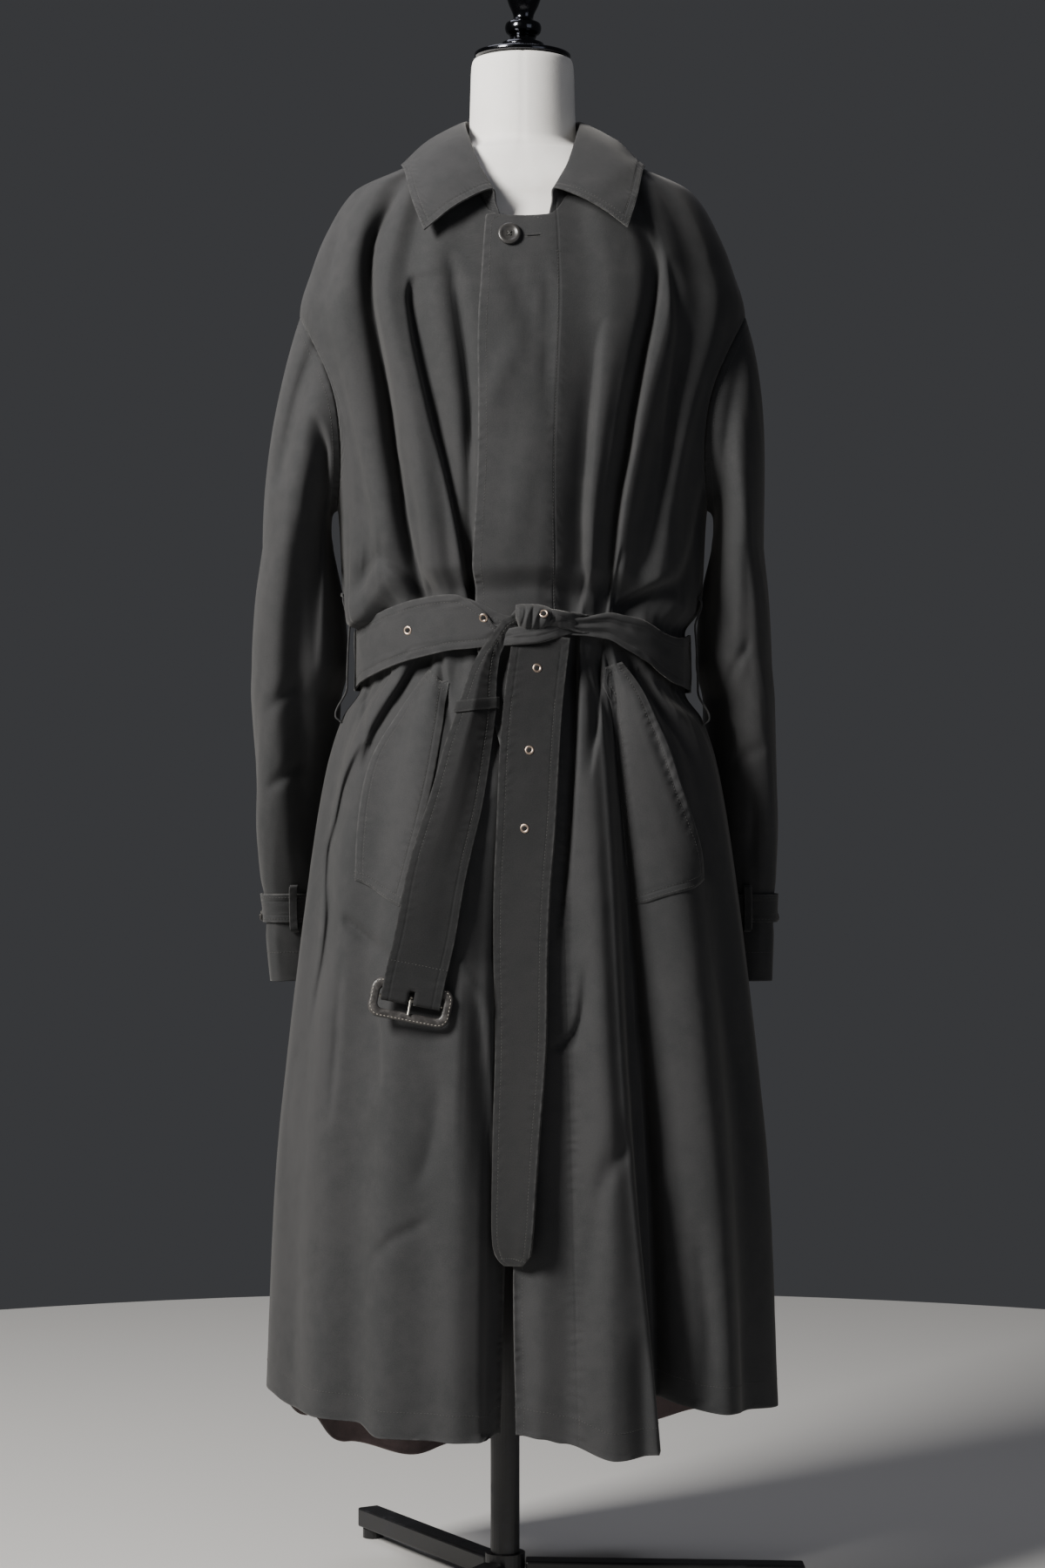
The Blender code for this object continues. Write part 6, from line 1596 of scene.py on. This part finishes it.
def addEyelets():
    tree = searchTree("belt_band", "belt_tail_tip", "belt_knot")
    middle, reach = (eyelet["radius"] + eyelet["hole"]) / 2, (eyelet["radius"] - eyelet["hole"]) / 2
    for name, x, z in eyelet["places"]:
        matrix = clothFrame(tree, x, z, 0.15 * mm)
        section, turn = turnsOf(16), turnsOf(44)[:, None]
        radius = middle + reach * np.cos(section)
        sunk = 0.35 * mm * (radius < middle) * (middle - radius) / reach  # towards the hole
        height = eyelet["rim"] * np.sin(section) - sunk
        rings = np.stack((radius * np.cos(turn), radius * np.sin(turn), height + 0 * turn), -1)
        attach(ringMesh(name + "_ring", rings, eyeletMetal, matrix), (name,))
        disc = [(across * mm, up * mm) for across, up in eyelet["disc"]]
        attach(latheMesh(name + "_hole", disc, 24, holeShade, matrix))


def addButton():
    tree = searchTree("front_left")
    thick, spread, drillRadius = button["thick"], button["holeSpread"], button["holeRadius"]
    profile = [(r * button["radius"], h * thick) for r, h in button["profile"]]
    matrix = clothFrame(tree, button["x"], button["z"], button["stand"])
    made = latheMesh("button_turned", profile, 64, horn, matrix)
    drillProfile = [(0, 4 * thick), (drillRadius, 4 * thick), (drillRadius, -4 * thick), (0, -4 * thick)]
    for k in range(4):
        turn = math.radians(45 + 90 * k)
        place = matrix @ Vector((spread * math.cos(turn), spread * math.sin(turn), 0))
        drill = latheMesh("drill", drillProfile, 20, horn, Matrix.Translation(place) @ matrix.to_3x3().to_4x4())
        cut = made.modifiers.new("hole", "BOOLEAN")
        cut.operation, cut.solver, cut.object = "DIFFERENCE", "EXACT", drill
    bakeModifiers(made)
    for drill in [found for found in bpy.data.objects if found.name.startswith("drill")]:
        bpy.data.objects.remove(drill)
    attach(made, ("button",))
    up = Vector((0, 0, 0.9 * mm))
    for start in (45, 135):
        turns = [math.radians(k) for k in (start, start + 180)]
        a, b = (Vector((spread * math.cos(t), spread * math.sin(t), thick * 0.5)) for t in turns)
        line = [a, a + up, (a + b) / 2 + Vector((0, 0, 1.25 * mm)), b + up, b]
        wire("button_thread_%d" % start, [matrix @ p for p in line], button["threadRadius"], thread, 24)


def wire(name, path, radius, finish, steps):
    # a thread along a smooth path, closed at both ends
    s = np.linspace(0, len(path) - 1, steps)
    centre = splineThrough([tuple(p) for p in path], s)
    along = unit(np.gradient(centre, axis=0))
    side = unit(np.cross(along, np.array((0.3, 0.2, 1.0))))
    other = np.cross(along, side)
    turn = turnsOf(8)
    size = radius * np.clip(np.sin(np.linspace(0.02, math.pi - 0.02, steps)) * 6, 0.05, 1)[:, None, None]
    cosine, sine = np.cos(turn)[None, :, None], np.sin(turn)[None, :, None]
    rings = centre[:, None] + size * (side[:, None] * cosine + other[:, None] * sine)
    faces = [tuple(int(k) for k in face) for face in gridFaces(steps, 8, True)]
    faces += [tuple(range(8)), tuple(reversed(range((steps - 1) * 8, steps * 8)))]
    attach(solidMesh(name, (rings.reshape(-1, 3) + shift).tolist(), faces, finish))


def bakeModifiers(made):
    # turns an object's modifiers into its plain mesh
    graph = bpy.context.evaluated_depsgraph_get()
    evaluated = made.evaluated_get(graph)
    mesh = bpy.data.meshes.new_from_object(evaluated, preserve_all_data_layers=True, depsgraph=graph)
    made.modifiers.clear()
    made.data = mesh


form = {
    "columns": 112, "rows": 150, "shoulderLine": 1.39, "leanX": -0.017, "leanTop": 1.30, "leanBottom": 0.74,
    # height, half width, front depth, back depth
    "sections": (
        (0.722, 0.140, 0.098, 0.104), (0.740, 0.147, 0.103, 0.110), (0.800, 0.149, 0.104, 0.112),
        (0.900, 0.138, 0.098, 0.102), (0.960, 0.116, 0.088, 0.090), (1.060, 0.128, 0.098, 0.100),
        (1.150, 0.145, 0.108, 0.108), (1.245, 0.158, 0.106, 0.110), (1.300, 0.166, 0.098, 0.106),
        (1.330, 0.168, 0.092, 0.099), (1.350, 0.167, 0.086, 0.092),
    ),
    # heights where it follows the coat, and how far inside it stays there: side, front and back
    "shoulders": (1.3620, 1.3830, 1.3960, 1.4010), "inset": (1.6 * mm, 0.0085, 0.0075),
    # below a height it stays further in
    "under": 2.2 * mm, "underTop": 1.398, "underFade": 0.02,
    # seams: depth and half width in degrees at the front's centre; depth, half width and height at the neck
    "centreSeam": (0.5 * mm, 1.6), "neckSeam": (0.6 * mm, 0.0012, 1.4035),
    "neck": (
        (1.4040, 0.0700, 0.063, 0.063), (1.4085, 0.0580, 0.056, 0.056), (1.4150, 0.0528, 0.0520, 0.0520),
        (1.4400, 0.0515, 0.0510, 0.0510), (1.4860, 0.0500, 0.0495, 0.0495), (1.4915, 0.0492, 0.0487, 0.0487),
        (1.4950, 0.0478, 0.0473, 0.0473), (1.4965, 0.0440, 0.0435, 0.0435),
    ),
}
cap = {
    "tilt": 1.2, "base": 1.4968,
    "plate": (
        (0, 0.0215), (0.0125, 0.0215), (0.0125, 0.0165), (0.0200, 0.0160), (0.0215, 0.0135), (0.0215, 0.0110),
        (0.0310, 0.0095), (0.0325, 0.0070), (0.0455, 0.0058), (0.0470, 0.0046), (0.0470, 0.0014),
        (0.0460, 0.0010), (0, 0.0010),
    ),
    "finial": (
        (0, 0.1180), (0.0050, 0.1168), (0.0090, 0.1130), (0.0105, 0.1075), (0.0085, 0.1020), (0.0110, 0.0970),
        (0.0165, 0.0880), (0.0190, 0.0760), (0.0178, 0.0640), (0.0145, 0.0530), (0.0108, 0.0450),
        (0.0098, 0.0400), (0.0120, 0.0375), (0.0165, 0.0350), (0.0178, 0.0305), (0.0165, 0.0258),
        (0.0130, 0.0232), (0.0130, 0.0219), (0, 0.0219),
    ),
}


def addForm():
    rows = list(form["sections"])
    side, ahead, behindIt = form["inset"]
    for height in form["shoulders"]:
        halfWidth = float(columnsOf(coat["sections"], height + 2.0 * mm)[0]) - side
        _, front, back = columnsOf(coat["sections"], height)
        rows.append((height, halfWidth, float(front) - ahead, float(back) - behindIt))
    rows += list(form["neck"])
    low, top = rows[0][0], rows[-1][0]
    half, between = form["rows"] // 2, form["shoulderLine"]
    height = np.concatenate((np.linspace(low, between, half), np.linspace(between, top, half)[1:]))
    halfWidth, front, back = columnsOf(rows, height)
    under = form["under"] * easeInOut((form["underTop"] - height) / form["underFade"])
    share = np.clip((form["leanTop"] - height) / (form["leanTop"] - form["leanBottom"]), 0, 1)
    lean = form["leanX"] * easeInOut(share)
    turn = turnsOf(form["columns"])[None, :]
    depth = np.where(np.cos(turn) > 0, (front - under)[:, None], (back - under)[:, None])
    x = lean[:, None] + (halfWidth - under)[:, None] * np.sin(turn)
    points = np.stack((x, -depth * np.cos(turn), height[:, None] + 0 * turn), -1)
    # the cover's centre seam and the seam where the neck begins
    inward = -gridNormals(points, True)
    deep, wide = form["centreSeam"]
    seam = np.exp(-((wrapped(np.degrees(turn)) / wide) ** 2)) * deep * np.ones_like(depth)
    deep, wide, at = form["neckSeam"]
    seam += (np.exp(-(((height - at) / wide) ** 2)) * deep)[:, None]
    points = points + inward * seam[..., None]
    count = form["columns"]
    faces = gridFaces(len(points), count, True)
    mesh = bpy.data.meshes.new("form_torso_cover")
    rings = [tuple(range(count))[::-1], tuple(range((len(points) - 1) * count, len(points) * count))]
    mesh.from_pydata((points.reshape(-1, 3) + shift).tolist(), [], faces.tolist() + rings)
    uvs = np.zeros((len(mesh.loops), 2), np.float32)
    uvs[: faces.size] = cornerUvs(*clothLengths(points, True), faces, True).reshape(-1, 2)
    mesh.uv_layers.new(name="cloth").data.foreach_set("uv", uvs.ravel())
    attach(finishMesh("form_torso_cover", mesh, (jersey,)), ("form_torso",))
    tilt = Matrix.Translation((0, 0, cap["base"])) @ Matrix.Rotation(math.radians(cap["tilt"]), 4, "Y")
    plate = crisp(cap["plate"], 0.35 * mm)
    attach(latheMesh("neck_cap_turned", plate, 96, gunmetal, tilt), ("neck_cap",))
    bulb = np.array(cap["finial"])
    smooth = splineThrough(bulb[:-2], np.linspace(0, len(bulb) - 3, 90))
    smooth[0, 0], smooth[:, 0] = 0, np.clip(smooth[:, 0], 0, None)
    profile = np.concatenate((smooth, bulb[-2:]))
    attach(latheMesh("finial_turned", profile, 72, gunmetal, tilt), ("finial",))


def finishSolids():
    # solids whose shape stays get their material here
    for name in nodes:
        finish, slot = blackPaint, "black_steel"
        if name in ("prong", "buckle_bar"):
            finish, slot = nickel, "nickel"
        elif name not in ("pole", "hub") and not name.startswith(("leg_", "foot_")):
            continue
        for slotHere in nodes[name].material_slots:
            slotHere.material = finish


# sewing: Geometry Nodes lay one short thread after another along each line
stitchLines = []  # kind of sewing, its points and the cloth's normals there
stitchProud = 0.12 * mm
seamThread = {"pitch": 3.1 * mm, "length": 2.2 * mm, "width": 0.55 * mm, "height": 0.34 * mm, "seed": 5}
tackThread = {"pitch": 0.9 * mm, "length": 2.6 * mm, "width": 0.5 * mm, "height": 0.4 * mm, "seed": 8}
saddle = {"pitch": 3.4 * mm, "length": 2.5 * mm, "width": 0.85 * mm, "height": 0.5 * mm, "seed": 6}
insets = {"edge": 8.0, "collar": (2.2, 8.0), "belt": 7.5, "hem": 25.0, "welt": (2.5, 8.5), "weltTack": 5.5,
          "strap": 3.5, "cuff": 30.0, "armhole": 9.0, "tip": 8.0, "barEnd": 54.0}


def gridStitches(points, side, inset, wrap=False, first=0.0, last=1.0, kind="seam"):
    # sews along a grid's lower, upper, first or last side at an inset in mm, between shares of its length
    normals = gridNormals(points, wrap)
    if side in ("lower", "upper"):
        points, normals = points.swapaxes(0, 1), normals.swapaxes(0, 1)
    if side in ("upper", "last"):
        points, normals = points[:, ::-1], normals[:, ::-1]
    start, stop = int(first * (len(points) - 1)), int(last * (len(points) - 1)) + 1
    line, ups = [], []
    for row, normal in zip(points[start:stop], normals[start:stop]):
        distance = lengthsAlong(row, 0)
        at = min(inset * mm, distance[-1] * 0.5)
        place, up = (np.array([np.interp(at, distance, found) for found in part.T]) for part in (row, normal))
        up = unit(up)
        line.append(place + up * stitchProud)
        ups.append(up)
    if wrap and side in ("lower", "upper"):
        line, ups = line + line[:1], ups + ups[:1]
    stitchLines.append((kind, np.array(line), np.array(ups)))


def frontStitches(tree, places, kind="seam"):
    # sews a line given by points across and down the frame on the foremost cloth of a search tree
    corners = np.array([onCloth(x, y) for x, y in places]) * mm
    lengths = lengthsAlong(corners, 0)
    at = np.linspace(0, lengths[-1], max(2, int(lengths[-1] / (2.5 * mm))))
    line, ups = [], []
    for x, z in zip(np.interp(at, lengths, corners[:, 0]), np.interp(at, lengths, corners[:, 1])):
        hit, up = frontHit(tree, x, z)
        if hit is not None:
            line.append(np.array(hit + up * stitchProud))
            ups.append(np.array(up))
    stitchLines.append((kind, np.array(line), np.array(ups)))


sewnLines = (
    # down the front, at the neck and at the hem: points across and down the frame
    ((641, 288), (641, 340), (640, 400), (638, 460), (636, 520), (635, 600), (636, 690), (638, 705)),
    ((557, 246), (575, 243.5), (600, 246.5), (622, 251)),
    ((666, 1626), (665, 1648), (664, 1664)),
)
buttonhole = {
    "endTack": ((639, 288.5), (643, 288.5)),
    "upper": ((604, 269.6), (621, 268.4)), "lower": ((604, 272.8), (621, 271.6)),
    "rise": 1.3 * mm, "in": 0.6 * mm, "radius": 0.42 * mm,
}


def sewSeams():
    grids = {name.removesuffix("_cloth"): shell[0] for name, shell in shells.items()}
    gridStitches(grids["front_left"], "first", insets["edge"])
    for name in panelPieces:
        gridStitches(grids[name], "lower", insets["hem"])
    top = searchTree("front_left")
    frontStitches(top, sewnLines[0])
    for name in ("endTack", "upper", "lower"):
        frontStitches(top, buttonhole[name], "tack")
    # a dark thread of painted shade lies in the buttonhole's slit
    line, up, inward = stitchLines[-1][1], (0, 0, buttonhole["rise"]), (buttonhole["in"], 0, 0)
    slit = [line[0] + inward + up, line[len(line) // 2] + up, line[-1] - inward + up]
    wire("buttonhole_slit", slit, buttonhole["radius"], holeShade, 16)
    for places in sewnLines[1:]:
        frontStitches(top, places)
    for inset in insets["collar"]:
        gridStitches(grids["collar"], "last", inset, first=0.02, last=0.98)
        for side in ("lower", "upper"):
            gridStitches(grids["collar"], side, inset, first=0.6, last=0.93)
    for welt in (grids["pocket_welt_left"], grids["pocket_welt_right"]):
        for inset in insets["welt"]:
            for side in ("lower", "upper"):
                gridStitches(welt, side, inset, first=0.02, last=0.98)
        for side in ("first", "last"):
            gridStitches(welt, side, insets["welt"][1], first=0.02, last=0.98)
        for side in ("lower", "upper"):
            gridStitches(welt, side, insets["weltTack"], last=0.06, kind="tack")
    for side in ("lower", "upper"):
        gridStitches(grids["belt_band"], side, insets["belt"], first=0.18)
    gridStitches(grids["belt_layer"], "upper", insets["belt"])
    for side in ("first", "last"):
        gridStitches(grids["belt_tail_tip"], side, insets["belt"], first=0.06, last=0.9)
        gridStitches(grids["belt_tail_buckle"], side, insets["belt"], first=0.27, last=0.98)
    gridStitches(grids["belt_tail_tip"], "lower", insets["tip"], first=0.12, last=0.88)
    gridStitches(grids["belt_tail_buckle"], "lower", insets["barEnd"], first=0.02, last=0.98)
    for name, _ in sides:
        for side in ("lower", "upper"):
            gridStitches(grids["cuff_strap_" + name], side, insets["strap"], wrap=True)
        for side, inset in (("lower", insets["cuff"]), ("upper", insets["armhole"])):
            gridStitches(grids["sleeve_" + name], side, inset, wrap=True)


def stitchTree(finish, facets):
    tree = bpy.data.node_groups.new("sewnLine", "GeometryNodeTree")
    inputs = {}
    tree.interface.new_socket("Line", in_out="INPUT", socket_type="NodeSocketGeometry")
    for name in ("Pitch", "Length", "Width", "Height"):
        inputs[name] = tree.interface.new_socket(name, in_out="INPUT", socket_type="NodeSocketFloat").identifier
    inputs["Seed"] = tree.interface.new_socket("Seed", in_out="INPUT", socket_type="NodeSocketInt").identifier
    tree.interface.new_socket("Threads", in_out="OUTPUT", socket_type="NodeSocketGeometry")
    add = partial(addNode, tree)
    given = add("NodeGroupInput")
    curve = add("GeometryNodeMeshToCurve", {"Mesh": given.outputs["Line"]})
    pitch = {"Curve": curve, "Length": given.outputs["Pitch"]}
    even = add("GeometryNodeResampleCurve", pitch, mode="LENGTH")
    along = add("GeometryNodeInputTangent")
    up = add("GeometryNodeInputNamedAttribute", {"Name": "up"}, data_type="FLOAT_VECTOR")
    first = add("FunctionNodeAlignRotationToVector", {"Vector": along}, axis="X")
    facingUp = {"Rotation": first, "Vector": up}
    second = add("FunctionNodeAlignRotationToVector", facingUp, axis="Z", pivot_axis="X")
    skew = {"Seed": given.outputs["Seed"], 0: (0, 0, -0.09), 1: (0, 0, 0.09)}
    uneven = add("FunctionNodeRandomValue", skew, data_type="FLOAT_VECTOR")
    skewed = {"Rotation": second, "Rotate By": uneven}
    turned = add("FunctionNodeRotateRotation", skewed, rotation_space="LOCAL")
    bead = add("GeometryNodeMeshIcoSphere", {"Radius": 0.5, "Subdivisions": facets})
    lengths = [given.outputs[name] for name in ("Length", "Width", "Height")]
    size = add("ShaderNodeCombineXYZ", dict(zip("XYZ", lengths)))
    placed = {"Points": even, "Instance": bead.outputs["Mesh"], "Rotation": turned, "Scale": size}
    placed = add("GeometryNodeInstanceOnPoints", placed)
    real = add("GeometryNodeRealizeInstances", {"Geometry": placed})
    finished = add("GeometryNodeSetMaterial", {"Geometry": real, "Material": finish})
    add("NodeGroupOutput", {"Threads": finished})
    return tree, inputs


def sew(name, kind, sizes, finish, facets=1):
    # one plain mesh of every short thread of a kind
    points, edges, ups, start = [], [], [], 0
    for line, up in [found[1:] for found in stitchLines if found[0] == kind]:
        points.append(line + shift)
        ups.append(up)
        edges += [(start + k, start + k + 1) for k in range(len(line) - 1)]
        start += len(line)
    mesh = bpy.data.meshes.new(name)
    mesh.from_pydata(np.concatenate(points).tolist(), edges, [])
    ups = np.concatenate(ups).astype(np.float32).ravel()
    mesh.attributes.new("up", "FLOAT_VECTOR", "POINT").data.foreach_set("vector", ups)
    made = bpy.data.objects.new(name, mesh)
    bpy.context.scene.collection.objects.link(made)
    tree, inputs = stitchTree(finish, facets)
    threads = made.modifiers.new("sewing", "NODES")
    threads.node_group = tree
    for key in ("Pitch", "Length", "Width", "Height", "Seed"):
        threads[inputs[key]] = sizes[key.lower()]
    bakeModifiers(made)
    made.data.shade_smooth()
    attach(made, ())
    print(name, len(made.data.polygons), "faces")


addPanels()
addSleeves()
addCollar()
addPockets()
addBeltBand()
addTipTail()
addBuckleTail()
addKnot()
addKeeper()
addCuffStraps()
addLoops()
print("cloth ready")
addBuckles()
addEyelets()
addButton()
addForm()
finishSolids()
print("hardware and form ready")
sewSeams()
sew("seam_stitching", "seam", seamThread, thread)
sew("bar_tacks", "tack", tackThread, thread)
sew("buckle_saddle_stitches", "saddle", saddle, leatherThread)
print("sewing ready")
